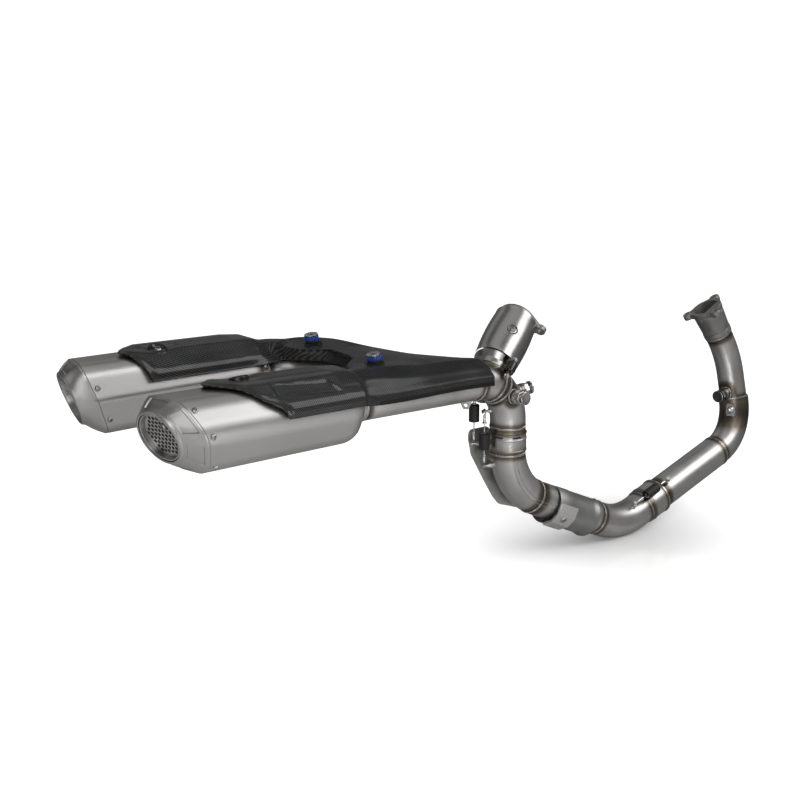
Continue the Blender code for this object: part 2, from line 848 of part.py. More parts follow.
def outlet_frame(depth):
    """Frame of the right outlet: Z out of it, X to the bike's right, Y up."""
    axis = outlet_axis()
    centre = Vector((RIM_X - CAP_DEPTH, -MUFFLER_Y, MUFFLER_Z)) - axis * depth
    x = (Vector((0, -1, 0)) + axis * axis.y).normalized()
    y = axis.cross(x)
    made = Matrix((x, y, axis)).transposed().to_4x4()
    made.translation = centre
    return made


def sleeve_mesh():
    """Sleeve as one closed loft: outside from rim to inlet hole, then back along the inside."""
    start = FRONT_X - FRONT_ROUND
    hole = LINK_R + 2 * GAP
    collar = hole + SLEEVE_WALL
    outside = [section_ring(RIM_X, slashed=True)]
    inside = [section_ring(RIM_X, SLEEVE_WALL, True)]
    for degrees in (0, 32, 64, 90):
        turn = math.radians(degrees)
        inset = FRONT_INSET * (1 - math.cos(turn))
        reach = FRONT_ROUND - SLEEVE_WALL
        outside.append(section_ring(start + FRONT_ROUND * math.sin(turn), inset, least=collar))
        x = start + reach * math.sin(turn)
        inside.append(section_ring(x, inset + SLEEVE_WALL, least=collar))
    outside.append(round_ring(FRONT_X, hole))
    inside.append(round_ring(FRONT_X - SLEEVE_WALL, hole))
    return loft("sleeve", outside + inside[::-1], wrap=True)


def cap_mesh():
    """End cap as one closed loft: outside from skirt to outlet, then back along the inside."""
    inside = SLEEVE_WALL + 2 * GAP
    panel_in = outlet_ring(CAP_LIP_DEPTH, OUTLET_R + CAP_LIP_WIDE)
    band = section_ring(RIM_X - CAP_BAND, slashed=True)
    first, first_in, last_in, last = PANEL_EDGES
    near, far = CAP_INSIDE
    deep = PANEL_DEPTH + CAP_WALL
    bore = OUTLET_R - CAP_WALL
    rings = [
        section_ring(RIM_X + CAP_SKIRT, inside, True),
        section_ring(RIM_X - GAP, inside, True),
        section_ring(RIM_X - GAP, 0.0, True),
        band,
        pressed(band, panel_in, first, 0.0),
        pressed(band, panel_in, first_in, PANEL_DEPTH),
        pressed(band, panel_in, last_in, PANEL_DEPTH),
        pressed(band, panel_in, last, 0.0),
        panel_in,
        outlet_ring(0.0, OUTLET_R),
        outlet_ring(0.0, bore),
        outlet_ring(CAP_BORE_DEPTH, bore),
        pressed(band, panel_in, far, deep, True),
        pressed(band, panel_in, near, deep, True),
        section_ring(RIM_X + CAP_SKIRT, inside + CAP_WALL, True),
    ]
    return loft("cap", rings, wrap=True)


def pressed(outer, inner, share, depth, everywhere=False):
    """Ring between two others; the points inside each panel sit deeper."""
    ring = []
    inward = -outlet_axis()
    for index, (a, b) in enumerate(zip(outer, inner)):
        point = Vector(a).lerp(Vector(b), share)
        in_panel = index % (RING_POINTS // PANELS) != 0
        if in_panel or everywhere:
            centre = Vector((point.x, -MUFFLER_Y, MUFFLER_Z))
            point = point + ((centre - point).normalized() + inward).normalized() * depth
        ring.append(point)
    return ring


def screen_holes():
    """Centres of the round holes, in a hexagonal pattern."""
    centres = []
    for row in range(-SCREEN_RINGS, SCREEN_RINGS + 1):
        count = 2 * SCREEN_RINGS + 1 - abs(row)
        for column in range(count):
            x = (column - (count - 1) / 2) * SCREEN_PITCH
            centres.append((x, row * SCREEN_PITCH * math.sqrt(3) / 2))
    return centres


def build_muffler(side, name):
    add(f"{name}_muffler_sleeve", mirrored(sleeve_mesh(), side), "titanium")
    add(f"{name}_end_cap", mirrored(cap_mesh(), side), "titanium")

    outer = OUTLET_R - CAP_WALL - OUTLET_PLAY
    frame = outlet_frame(OUTLET_SET)
    profile = ring_profile(outer - OUTLET_WALL, outer, -OUTLET_LENGTH, 0.0)
    ring = turned("outlet", profile, frame, 20)
    add(f"{name}_outlet_tube", mirrored(ring, side), "cast")

    screen_r = outer - OUTLET_WALL - OUTLET_PLAY
    holes = [circle(SCREEN_HOLE_R, 4, centre) for centre in screen_holes()]
    disc = plate(
        "screen",
        [circle(screen_r, 24), *holes],
        SCREEN_THICK,
        outlet_frame(SCREEN_RECESS + SCREEN_THICK),
    )
    add(f"{name}_outlet_screen", mirrored(disc, side), "screen", smooth=False)

    start = FRONT_X - INLET_PLUNGE - GAP
    end = RIM_X + CORE_REAR
    along = Matrix.Rotation(math.radians(90), 4, "Y")
    frame = Matrix.Translation((end, -MUFFLER_Y, MUFFLER_Z)) @ along
    length = start - end
    core_mesh = turned("core", ring_profile(CORE_R - CORE_WALL, CORE_R, 0.0, length), frame, 16)
    core = add(f"{name}_core_tube", mirrored(core_mesh, side), "steel")
    for row in range(CORE_HOLE_ROWS):
        x = end + length * (row + 1) / (CORE_HOLE_ROWS + 1)
        for number, tilt in enumerate(CORE_HOLE_ANGLES):
            turn = Matrix.Rotation(math.radians(tilt), 4, "X")
            place = Matrix.Translation((x, -MUFFLER_Y, MUFFLER_Z)) @ turn
            reach = CORE_R * 1.5
            profile = [(0.0, reach), (CORE_HOLE_R, reach), (CORE_HOLE_R, -reach), (0.0, -reach)]
            drill = mirrored(turned("drill", profile, place, 6), side)
            boolean(core, helper(f"{name}_core_drill_{row}_{number}", drill), "DIFFERENCE")

    wool_in = CORE_R + 2 * GAP
    wool_gap = SLEEVE_WALL + WOOL_PLAY
    rear = RIM_X + CAP_SKIRT + WOOL_REAR
    front = FRONT_X - FRONT_ROUND - WOOL_FRONT
    rings = [
        section_ring(rear, wool_gap, True),
        section_ring(front, wool_gap),
        round_ring(front, wool_in),
        round_ring(rear, wool_in, True),
    ]
    add(f"{name}_packing", mirrored(loft("wool", rings, wrap=True), side), "wool")


# Pipes from the link to the front port
FRONT_PATH = bent_path(FRONT_LINE)[::-1]
LEFT_PATH = bent_path(LEFT_BRANCH)
ELBOW = Vector(FRONT_LINE[3][0])
FRONT_AXIS = (Vector(FRONT_LINE[2][0]) - ELBOW).normalized()
UP_AXIS = (Vector(FRONT_LINE[0][0]) - Vector(FRONT_LINE[1][0])).normalized()
PORT = Vector(FRONT_LINE[0][0])
MID_AXIS_XY = Vector((FRONT_LINE[4][0][0], FRONT_LINE[4][0][1], 0.0))
LINK_DIRECTION = (Vector(FRONT_LINE[6][0]) - Vector(FRONT_LINE[5][0])).normalized()
MID_TOP = MID_AXIS_XY + Z_AXIS * MID_JOINT_Z
def across(axis, lean, facing):
    """Unit vector square to an axis, turned by lean from the facing direction."""
    z = Vector(axis).normalized()
    base = Vector(facing)
    base = (base - z * base.dot(z)).normalized()
    return Matrix.Rotation(lean, 3, z) @ base


FRONT_OUT = across(FRONT_AXIS, math.radians(35), Z_AXIS)
REAR_OUT = across(REAR_AXIS, 0.0, Vector((0.211, -0.917, 0.339)))
REAR_EARS = across(REAR_AXIS, 0.0, Vector((0.6365, -0.6174, -0.4607)))


def spring_lines():
    """Each spring's hook points, the one nearer the mufflers first, post axis and reach."""
    near = [MID_AXIS_XY + MID_NEAR + Z_AXIS * z for z in NEAR_HOOKS]
    far = [MID_AXIS_XY + MID_FAR + Z_AXIS * z for z in FAR_HOOKS]
    front = [ELBOW + FRONT_AXIS * s + FRONT_OUT * FRONT_SPRING_OUT for s in FRONT_HOOKS]
    seat = REAR_BASE + REAR_AXIS * REAR_SEAT
    rear = [seat + REAR_AXIS * s + REAR_OUT * REAR_SPRING_OUT for s in REAR_HOOKS]
    return {
        "mid_spring_near": (near, MID_NEAR.normalized(), MID_NEAR.length),
        "mid_spring_far": (far, MID_FAR.normalized(), MID_FAR.length),
        "front_spring": (front, FRONT_OUT, FRONT_SPRING_OUT),
        "rear_spring": (rear, REAR_OUT, REAR_SPRING_OUT),
    }


def post_for(line, end, start):
    """Post for one end of a spring line, from start off the pipe's axis."""
    hooks, axis, reach = line
    return post(hooks[end] - axis * (reach - start), hooks[end])


def build_link():
    right, left = link_paths()
    inner = LINK_R - PIPE_WALL
    joined(
        "link_pipe",
        [rod("link", right, LINK_R), rod("link_left", left, LINK_R)],
        [
            rod("link_in", longer(right, OVERCUT, OVERCUT), inner),
            rod("link_left_in", longer(left, OVERCUT, OVERCUT), inner),
            boss(LINK_WELD + LINK_DIRECTION * GAP, -LINK_DIRECTION, TRIM_R, 0.0, TRIM_R),
        ],
        "titanium",
    )


def link_paths():
    """Centre lines of the two branches, both drawn out past the weld to be cut there."""
    right = trim(FRONT_PATH[::-1], LINK_WELD, LINK_DIRECTION)
    left = [right[0], *LEFT_PATH[1:]]
    return longer(right, WELD_PAST), longer(left, WELD_PAST)


def build_collector(lines):
    path = trim(FRONT_PATH[::-1], MID_TOP, Z_AXIS)
    body = longer(cut_path(path, keep_to=(LINK_WELD, LINK_DIRECTION)), 0.0, WELD_PAST)
    inner = LINK_R - PIPE_WALL
    low = MID_TOP - Z_AXIS * SPIGOT_DEPTH
    high = MID_TOP + Z_AXIS * SPIGOT_ROOT
    seat = REAR_BASE + REAR_AXIS * REAR_SEAT
    merge = [
        seat,
        seat - REAR_AXIS * MERGE_STRAIGHT,
        seat - REAR_AXIS * MERGE_BEND + MERGE_SHIFT,
        MERGE_END,
    ]
    spigot_top = seat + REAR_AXIS * REAR_SPIGOT
    spigot_low = seat - REAR_AXIS * REAR_SPIGOT_ROOT
    solids = [
        rod("collector", body, LINK_R),
        rod("collector_spigot", [low, high], SPIGOT_R),
        rod("collector_rear", merge, REAR_R),
        rod("collector_rear_spigot", [spigot_low, spigot_top], REAR_SPIGOT_R),
    ]
    for name in ("mid_spring_near", "mid_spring_far", "rear_spring"):
        solids.append(post_for(lines[name], 0, POST_FROM))
    for origin, axis in O2_PLACES:
        solids.append(boss(origin, axis, O2_BOSS_R, BOSS_ROOT, LINK_R + O2_BOSS_UP))
    wide = trim(body, MID_TOP + Z_AXIS * BORE_STEP, Z_AXIS)
    hollows = [
        rod("collector_in", longer(wide, 0.0, OVERCUT), inner),
        rod("collector_spigot_in", [low - Z_AXIS * OVERCUT, high], SPIGOT_R - PIPE_WALL),
        rod(
            "collector_rear_in",
            [seat - REAR_AXIS * REAR_BORE_STEP, *merge[1:]],
            REAR_R - PIPE_WALL,
        ),
        rod(
            "collector_rear_spigot_in",
            [spigot_low, spigot_top + REAR_AXIS * OVERCUT],
            REAR_SPIGOT_R - PIPE_WALL,
        ),
    ]
    for origin, axis in O2_PLACES:
        hollows.append(boss(origin, axis, O2_BORE_R, 0.0, LINK_R + O2_BOSS_UP + OVERCUT))
    hollows.append(boss(LINK_WELD, LINK_DIRECTION, TRIM_R, 0.0, TRIM_R))
    joined("collector", solids, hollows, "titanium")
    for name, (origin, axis) in zip(("front_facing", "right_facing"), O2_PLACES):
        oxygen_plug(f"oxygen_plug_{name}", origin, axis, LINK_R)


def oxygen_plug(name, origin, axis, radius):
    """Hexagon plug screwed into a boss: shank in the bore, flange on the face."""
    face = radius + O2_BOSS_UP + GAP
    shank = O2_BORE_R - GAP
    frame = axis_matrix(origin, axis, (0.3, 0.5, 0.8))
    flange = face + O2_SEAT
    hexagon = flange + O2_HEX
    disc = hexagon + O2_NECK
    body = [
        (0.0, flange),
        (O2_HEX_R, flange),
        (O2_HEX_R, face),
        (shank, face),
        (shank, face - O2_BOSS_UP - GAP),
        (0.0, face - O2_BOSS_UP - GAP),
    ]
    top = [
        (0.0, disc + O2_DISC_SLOPE + O2_DISC),
        (O2_FLANGE_R, disc + O2_DISC_SLOPE + O2_DISC),
        (O2_FLANGE_R, disc + O2_DISC_SLOPE),
        (shank, disc),
        (shank, hexagon - O2_LAP),
        (0.0, hexagon - O2_LAP),
    ]
    nut = circle(O2_HEX_R * O2_HEX_SHARE, 6)
    nut_mesh = plate(name, [nut], O2_HEX + O2_LAP, frame @ shift_z(flange - O2_LAP))
    base = add(name, turned("plug", body, frame, SMALL_SIDES), "steel")
    boolean(base, helper(f"{name}_hex", nut_mesh), "UNION")
    boolean(base, helper(f"{name}_top", turned("top", top, frame, SMALL_SIDES)), "UNION")


def build_mid_pipe(lines):
    seat = ELBOW + FRONT_AXIS * FRONT_SEAT
    top = MID_TOP - Z_AXIS * GAP
    path = cut_path(FRONT_PATH[::-1], (seat, -FRONT_AXIS), (top, Z_AXIS))
    inner = MID_R - PIPE_WALL
    sleeve_from = ELBOW + FRONT_AXIS * FRONT_SLEEVE_START
    sleeve_to = ELBOW + FRONT_AXIS * FRONT_SLEEVE_END
    solids = [
        rod("mid", path, MID_R),
        rod("mid_sleeve", [sleeve_from, sleeve_to], SLEEVE_JOINT_R),
    ]
    for name in ("mid_spring_near", "mid_spring_far"):
        solids.append(post_for(lines[name], 1, POST_FROM))
    solids.append(post_for(lines["front_spring"], 0, POST_FROM))
    for x, z in PLATE_POSTS:
        reach = PLATE_Y - GAP - MID_AXIS_XY.y
        solids.append(boss((x, MID_AXIS_XY.y, z), (0, 1, 0), BOSS_R, BOSS_ROOT, reach))
    spot, axis = elbow_post()
    reach = ELBOW_GUARD_R + GUARD_DROP.dot(axis) - ELBOW_GUARD_WALL - SEAT_SLOPE
    solids.append(boss(spot, axis, BOSS_R, BOSS_ROOT, reach))
    hollows = [
        rod("mid_in", longer(path, OVERCUT, OVERCUT), inner),
        rod("mid_sleeve_in", [seat, sleeve_to + FRONT_AXIS * OVERCUT], FRONT_SLEEVE_IN),
    ]
    joined("mid_pipe", solids, hollows, "titanium")


def elbow_run():
    """Straight axis of the elbow's rear leg, from its corner."""
    corner = Vector(FRONT_LINE[3][0])
    axis = (Vector(FRONT_LINE[4][0]) - corner).normalized()
    return corner, axis


def elbow_post():
    """Middle of the elbow guard on the pipe's axis, and the way its screw faces."""
    corner, axis = elbow_run()
    spot = corner + axis * ELBOW_POST_AT
    return spot, across(axis, 0.0, GUARD_FACE)


def build_guards():
    to_xz = Matrix.Rotation(math.radians(90), 4, "X")
    frame = Matrix.Translation((0.0, PLATE_Y + PLATE_THICK, 0.0)) @ to_xz
    holes = [circle(SCREW_R + GAP, 10, spot) for spot in PLATE_POSTS]
    mesh = plate("guard", [PLATE_OUTLINE, *holes], PLATE_THICK, frame)
    add("mid_guard_plate", mesh, "guard")
    for index, (x, z) in enumerate(PLATE_POSTS):
        screw(f"guard_screw_{index}", (x, PLATE_Y + PLATE_THICK, z), (0, 1, 0), PLATE_THICK)

    corner, axis = elbow_run()
    spot, face = elbow_post()
    start = corner + axis * ELBOW_GUARD_TO + GUARD_DROP
    length = ELBOW_GUARD_TO - ELBOW_GUARD_FROM
    profile = [
        (ELBOW_GUARD_R + ELBOW_FLARE, length),
        (ELBOW_GUARD_R, length - ELBOW_FLARE),
        (ELBOW_GUARD_R, 0.0),
    ]
    begin = Matrix.Rotation(-ELBOW_GUARD_ARC / 2, 3, -axis) @ face
    frame = axis_matrix(start, -axis, begin)
    shell = turned("elbow_guard", profile, frame, 13, ELBOW_GUARD_ARC)
    guard = add("elbow_guard", shell, "guard")
    solidify(guard, ELBOW_GUARD_WALL)
    drill = boss(spot, face, SCREW_R + GAP, *GUARD_DRILL)
    boolean(guard, helper("elbow_guard_drill", drill), "DIFFERENCE")
    seat = spot + face * (ELBOW_GUARD_R + GUARD_DROP.dot(face))
    screw("elbow_guard_screw", seat, face, ELBOW_GUARD_WALL)


def screw(name, seat, axis, grip):
    """Button-head screw whose shank fills the hole below its seat."""
    profile = [
        (0.0, GAP + SCREW_HEAD),
        (SCREW_HEAD_R * 0.6, GAP + SCREW_HEAD),
        (SCREW_HEAD_R, GAP + SCREW_HEAD * 0.4),
        (SCREW_HEAD_R, GAP),
        (SCREW_R, GAP),
        (SCREW_R, GAP - grip),
        (0.0, GAP - grip),
    ]
    frame = axis_matrix(seat, axis, (0.3, 0.5, 0.8))
    add(name, turned(name, profile, frame, SMALL_SIDES), "steel")


def build_front_header(lines):
    seat = ELBOW + FRONT_AXIS * (FRONT_SEAT + GAP)
    corner = Vector(FRONT_LINE[2][0])
    rise = (Vector(FRONT_LINE[1][0]) - corner).normalized()
    reach = bend_reach(-FRONT_AXIS, rise, FRONT_LINE[2][1]) + WELD_SET
    weld_low = (corner - FRONT_AXIS * reach, FRONT_AXIS)
    weld_high = (corner + rise * reach, rise)
    stub_end = PORT - UP_AXIS * STUB_LENGTH
    lower = cut_path(FRONT_PATH, (seat, FRONT_AXIS), weld_low)
    bend = offset_line(cut_path(FRONT_PATH, weld_low, weld_high), GAP, GAP)
    upper = cut_path(FRONT_PATH, weld_high, (stub_end, UP_AXIS))
    base = tube("front_header_tube", lower, HEADER_R, "titanium")
    mesh = post_for(lines["front_spring"], 1, HEADER_R - PIPE_WALL / 2)
    boolean(base, helper("front_header_post", mesh), "UNION")
    tube("front_header_bend", bend, BEND_R, "titanium")
    build_header_lug(corner + rise * (reach - LUG_BELOW), bend)
    upper_tube = tube("front_header_upper", offset_line(upper, 0.0, GAP), UPPER_R, "titanium")
    spot, facing = FRONT_PLUG_AT, FRONT_PLUG_FACE
    seat_boss = boss(spot, facing, O2_BOSS_R, UPPER_R - PIPE_WALL, UPPER_R + O2_BOSS_UP)
    boolean(upper_tube, helper("front_plug_boss", seat_boss), "UNION")
    drill = boss(spot, facing, O2_BORE_R, 0.0, UPPER_R + O2_BOSS_UP + OVERCUT)
    boolean(upper_tube, helper("front_plug_drill", drill), "DIFFERENCE")
    oxygen_plug("front_oxygen_plug", spot, facing, UPPER_R)

    frame = axis_matrix(PORT - UP_AXIS * STUB_LENGTH, UP_AXIS, (1.0, 0.0, 0.0))
    flange_at = STUB_LENGTH - FLANGE_THICK
    ears = [(math.radians(a), EAR_RADIUS) for a in EAR_ANGLES]
    outline = ear_plate_outline(STUB_R + FLANGE_EDGE, ears, EAR_R)
    holes = ear_holes(ears)
    flange = plate("flange", [outline, *holes], FLANGE_THICK, frame @ shift_z(flange_at))
    neck = [
        (0.0, flange_at + NECK_IN_FLANGE),
        (STUB_R, flange_at + NECK_IN_FLANGE),
        (STUB_R, flange_at - NECK_TAPER),
        (NECK_FOOT_R, NECK_FOOT),
        (NECK_FOOT_R, 0.0),
        (0.0, 0.0),
    ]
    stub = add("front_port_stub", flange, "cast")
    boolean(stub, helper("stub_neck", turned("neck", neck, frame, 24)), "UNION")
    bore = UPPER_R - PIPE_WALL
    d_port = arc_points(bore, -PORT_FLAT, 180 + PORT_FLAT)
    cutter = plate("bore", [d_port], STUB_LENGTH + 2 * OVERCUT, frame @ shift_z(-OVERCUT))
    boolean(stub, helper("stub_bore", cutter), "DIFFERENCE")


def build_header_lug(spot, bend):
    """Small cast lug that hugs the start of the bend."""
    frame = axis_matrix(spot, LUG_FACE, Z_AXIS)
    tall, wide = LUG_SIZE
    corners = [(a * tall, b * wide, LUG_CORNER_R) for a, b in CORNER_SIGNS]
    loops = [rounded_polygon(corners, 3), circle(LUG_HOLE_R, 10)]
    mesh = plate("lug", loops, LUG_THICK, frame @ shift_z(BEND_R - LUG_THICK / 2))
    lug = add("header_lug", mesh, "steel")
    clear = rod("lug_saddle", bend, BEND_R + GAP)
    boolean(lug, helper("header_lug_saddle", clear), "DIFFERENCE")


def ear_holes(ears):
    """Stud hole in the middle of each ear."""
    made = []
    for angle, reach in ears:
        made.append(circle(EAR_HOLE_R, 10, (reach * math.cos(angle), reach * math.sin(angle))))
    return made


def arc_points(radius, start, end, count=18):
    """Points on an arc given in degrees."""
    made = []
    for i in range(count + 1):
        angle = math.radians(start + (end - start) * i / count)
        made.append((radius * math.cos(angle), radius * math.sin(angle)))
    return made


def shift_z(distance):
    return Matrix.Translation((0.0, 0.0, distance))


def build_rear_header(lines):
    seat = REAR_BASE + REAR_AXIS * (REAR_SEAT + GAP)
    top = REAR_BASE + REAR_AXIS * (REAR_FLANGE_AT - GAP)
    base = tube("rear_header_tube", [seat, top], REAR_R, "titanium")
    mesh = post_for(lines["rear_spring"], 1, REAR_R - PIPE_WALL / 2)
    boolean(base, helper("rear_header_post", mesh), "UNION")
    facing = across(REAR_AXIS, 0.0, SHIELD_FACE)
    middle = REAR_BASE + REAR_AXIS * (SHIELD_START + SHIELD_SCREW_AT)
    length = REAR_FLANGE_AT - GAP - SHIELD_START
    bulge = SHIELD_BULGE * math.sin(math.pi * SHIELD_SCREW_AT / length)
    reach = SHIELD_R + bulge - SHIELD_WALL - SEAT_SLOPE
    stand = boss(middle, facing, BOSS_R, REAR_R - PIPE_WALL / 2, reach)
    boolean(base, helper("rear_header_boss", stand), "UNION")

    profile = []
    for i in range(SHIELD_STEPS, -1, -1):
        share = i / SHIELD_STEPS
        profile.append((SHIELD_R + SHIELD_BULGE * math.sin(math.pi * share), length * share))
    begin = across(REAR_AXIS, -SHIELD_ARC / 2, SHIELD_FACE)
    frame = axis_matrix(REAR_BASE + REAR_AXIS * SHIELD_START, REAR_AXIS, begin)
    shell = turned("shield", profile, frame, 12, SHIELD_ARC)
    shield = add("rear_header_shield", shell, "polished")
    solidify(shield, SHIELD_WALL)
    drill = boss(middle, facing, SCREW_R + GAP, *GUARD_DRILL)
    boolean(shield, helper("shield_drill", drill), "DIFFERENCE")
    surface = SHIELD_R + SHIELD_BULGE
    screw("rear_shield_screw", middle + facing * (surface + GAP), facing, SHIELD_WALL)

    frame = axis_matrix(REAR_BASE + REAR_AXIS * REAR_FLANGE_AT, REAR_AXIS, REAR_EARS)
    ears = [(math.radians(a), REAR_EAR_RADIUS) for a in REAR_EAR_ANGLES]
    outline = ear_plate_outline(REAR_R + REAR_FLANGE_EDGE, ears, EAR_R)
    holes = ear_holes(ears)
    loops = [outline, circle(REAR_R - PIPE_WALL, 24), *holes]
    add("rear_port_flange", plate("rear_flange", loops, REAR_FLANGE_THICK, frame), "cast")


# Springs
def spring_points(hooks, axis, coil_from, coil_to, turns):
    """Wire centre line: a hook round each post and a coil between them."""
    low, high = hooks
    along = (high - low).normalized()
    length = (high - low).length
    side = along.cross(axis).normalized()

    def at(t, w, e):
        return low + along * t + side * w + axis * e

    points = []
    for degrees in range(75, 271, 39):
        turn = math.radians(degrees)
        points.append(at(HOOK_R * math.cos(turn), HOOK_R * math.sin(turn), 0.0))
    points.append(at(HOOK_R + HOOK_NECK, -HOOK_R / 2, 0.0))
    points.append(at(HOOK_R + HOOK_STEM, 0.0, 0.0))
    points.append(at(coil_from - COIL_LEAD, 0.0, 0.0))
    count = turns * CURL_POINTS
    lead = CURL_POINTS // 2
    for i in range(-lead, count + lead + 1):
        share = min(1.0, max(0.0, i / count))
        edge = max(-i, i - count, 0) / lead
        radius = COIL_R * (1 - edge * LEAD_SHRINK)
        turn = 2 * math.pi * i / CURL_POINTS
        past = min(i, 0) + max(i - count, 0)
        t = coil_from + (coil_to - coil_from) * (share + LEAD_PITCH * past / count)
        points.append(at(t, radius * math.cos(turn), radius * math.sin(turn)))
    points.append(at(coil_to + 2 * COIL_LEAD, 0.0, 0.0))
    points.append(at(length - HOOK_R - HOOK_STEM, 0.0, 0.0))
    points.append(at(length - HOOK_R - HOOK_NECK, HOOK_R / 2, 0.0))
    for degrees in range(90, -106, -39):
        turn = math.radians(degrees)
        points.append(at(length + HOOK_R * math.cos(turn), HOOK_R * math.sin(turn), 0.0))
    return points


def least_gap(points):
    """Smallest clear distance between parts of the wire that aren't neighbours along it."""
    dense = []
    for a, b in zip(points, points[1:]):
        dense.extend(a.lerp(b, k / 4) for k in range(4))
    run = [0.0]
    for a, b in zip(dense, dense[1:]):
        run.append(run[-1] + (b - a).length)
    least = 1.0
    for i, a in enumerate(dense):
        for j in range(i + 1, len(dense)):
            if run[j] - run[i] > 8 * WIRE_R:
                least = min(least, (a - dense[j]).length)
    return least - 2 * WIRE_R


def build_springs(lines):
    for name, (coil_from, coil_to, turns, rubber) in SPRINGS.items():
        hooks, axis, _ = lines[name]
        points = spring_points(hooks, axis, coil_from, coil_to, turns)
        gap = least_gap(points)
        print(f"{name}: least gap between curls {gap * 1000:.2f} mm")
        assert gap > LEAST_SPRING_GAP
        add(name, rod(name, points, WIRE_R, sides=6), "steel")
        if rubber:
            along = hooks[1] - hooks[0]
            frame = axis_matrix(hooks[0], along, axis)
            profile = ring_profile(RUBBER_IN, RUBBER_OUT, *rubber)
            add(f"{name}_rubber", turned("rubber", profile, frame, 12), "rubber")


# Carbon cover
def arm_points(station, side):
    """Row of one arm from its outer to its inner edge."""
    row = []
    for outward, up, rear in ARM:
        x = rear + (ARM_END_X - rear) * station
        along = (x - RIM_X) / (FRONT_X - RIM_X)
        scale = 1 + (FRONT_SCALE - 1) * along * 0.5
        drop = ARM_DROP * along * (1 if up > 0.04 else 0.3)
        row.append(Vector((x, side * (MUFFLER_Y + outward * scale), MUFFLER_Z + up * scale - drop)))
    return row


def bridge_row(half):
    """Row of the bridge's rear wall, right edge to left edge."""
    right = [Vector(p) * MM for p in half]
    return right + [p * BOTH_SIDES for p in right[-2::-1]]


def body_row(x, right, middle, left):
    """Row of the cover's body, right edge to left edge."""
    halves = []
    for side in (right, left):
        points = [Vector((x, *p)) * MM for p in side]
        for point in points[:COVER_EDGE] if side is right else points[-COVER_EDGE:]:
            point.y += (COVER_PIPE_R - LINK_R) if side is right else (LINK_R - COVER_PIPE_R)
        line = [points[0]]
        for a, b in zip(points, points[1:]):
            line += [a.lerp(b, 0.5), b]
        halves.append(line)
    return halves[0] + [Vector((x, *p)) * MM for p in middle] + halves[1]


def cover_mesh():
    """Two arms joined by a bridge and a nose, as one open surface."""
    gap = [None] * len(BODY[0][2])
    rows = [arm_points(t, -1) + gap + arm_points(t, 1)[::-1] for t in ARM_STATIONS]
    rows += [bridge_row(half) for half in BRIDGE]
    rows += [body_row(*station) for station in BODY]
    points = []
    numbers = []
    for row in rows:
        line = []
        for point in row:
            line.append(None if point is None else len(points))
            if point is not None:
                points.append(point)
        numbers.append(line)
    faces = []
    for before, after in zip(numbers, numbers[1:]):
        for j in range(len(before) - 1):
            corner = (before[j], before[j + 1], after[j + 1], after[j])
            if None not in corner:
                faces.append(corner)
    return mesh_of("cover", points, faces)


def build_cover():
    mesh = cover_mesh()
    if sum(p.normal.z * p.area for p in mesh.polygons) < 0:
        mesh.flip_normals()
    cover = add("carbon_cover", mesh, "carbon")
    solidify(cover, COVER_WALL, even=False)
    for side, name in ((-1, "right"), (1, "left")):
        frame = hanger_frame(side)
        pad = [(0.0, 0.0), (PAD_TOP_R, 0.0), (PAD_FOOT_R, -PAD_HEIGHT), (0.0, -PAD_HEIGHT)]
        pad = turned("pad", pad, frame @ shift_z(-PAD_DROP), 8)
        boolean(cover, helper(f"{name}_pad", pad), "UNION")
        drill = [(0.0, 0.0), (TUBE_R + GAP, 0.0), (TUBE_R + GAP, -PAD_DRILL), (0.0, -PAD_DRILL)]
        boolean(cover, helper(f"{name}_pad_drill", turned("drill", drill, frame, 16)), "DIFFERENCE")
        spot = cover_bolt_spot(side)
        drill = boss(spot, Z_AXIS, COVER_BOLT_R + GAP, *BOLT_DRILL)
        boolean(cover, helper(f"{name}_bolt_drill", drill), "DIFFERENCE")
        build_hanger(side, name, frame)
        build_cover_bolt(name, spot)


def cover_bolt_spot(side):
    """Point on the arm's outer surface where the bolt's head rests."""
    x, outward = COVER_BOLT
    along = (x - RIM_X) / (FRONT_X - RIM_X)
    (near, near_up, _), (far, far_up, _) = ARM[5:7]
    up = near_up + (far_up - near_up) * (outward - near) / (far - near)
    scale = 1 + (FRONT_SCALE - 1) * along * 0.5
    top = MUFFLER_Z + up * scale - ARM_DROP * along
    return Vector((x, side * (MUFFLER_Y + outward), top))


def build_cover_bolt(name, spot):
    """Bolt through the arm and the rubber spacer under it."""
    along = (spot.x - RIM_X) / (FRONT_X - RIM_X)
    sleeve_top = MUFFLER_Z + SECTION_HALF * (1 + (FRONT_SCALE - 1) * along)
    low = sleeve_top - spot.z + SEAT_SLOPE
    head = SEAT_SLOPE
    profile = [
        (0.0, head + COVER_BOLT_HEAD),
        (COVER_BOLT_HEAD_R * 0.7, head + COVER_BOLT_HEAD),
        (COVER_BOLT_HEAD_R, head + COVER_BOLT_HEAD * 0.4),
        (COVER_BOLT_HEAD_R, head),
        (COVER_BOLT_R, head),
        (COVER_BOLT_R, low),
        (0.0, low),
    ]
    frame = Matrix.Translation(spot)
    add(f"{name}_cover_bolt", turned("bolt", profile, frame, SMALL_SIDES), "steel")
    spacer = ring_profile(COVER_BOLT_R + GAP, SPACER_R, low, -COVER_WALL - SEAT_SLOPE)
    add(f"{name}_cover_spacer", turned("spacer", spacer, frame, SMALL_SIDES), "rubber")


def hanger_frame(side):
    lean = Matrix.Rotation(-HANGER_LEAN, 4, "Y")
    return Matrix.Translation((0.0, side * HANGER_Y, 0.0)) @ lean


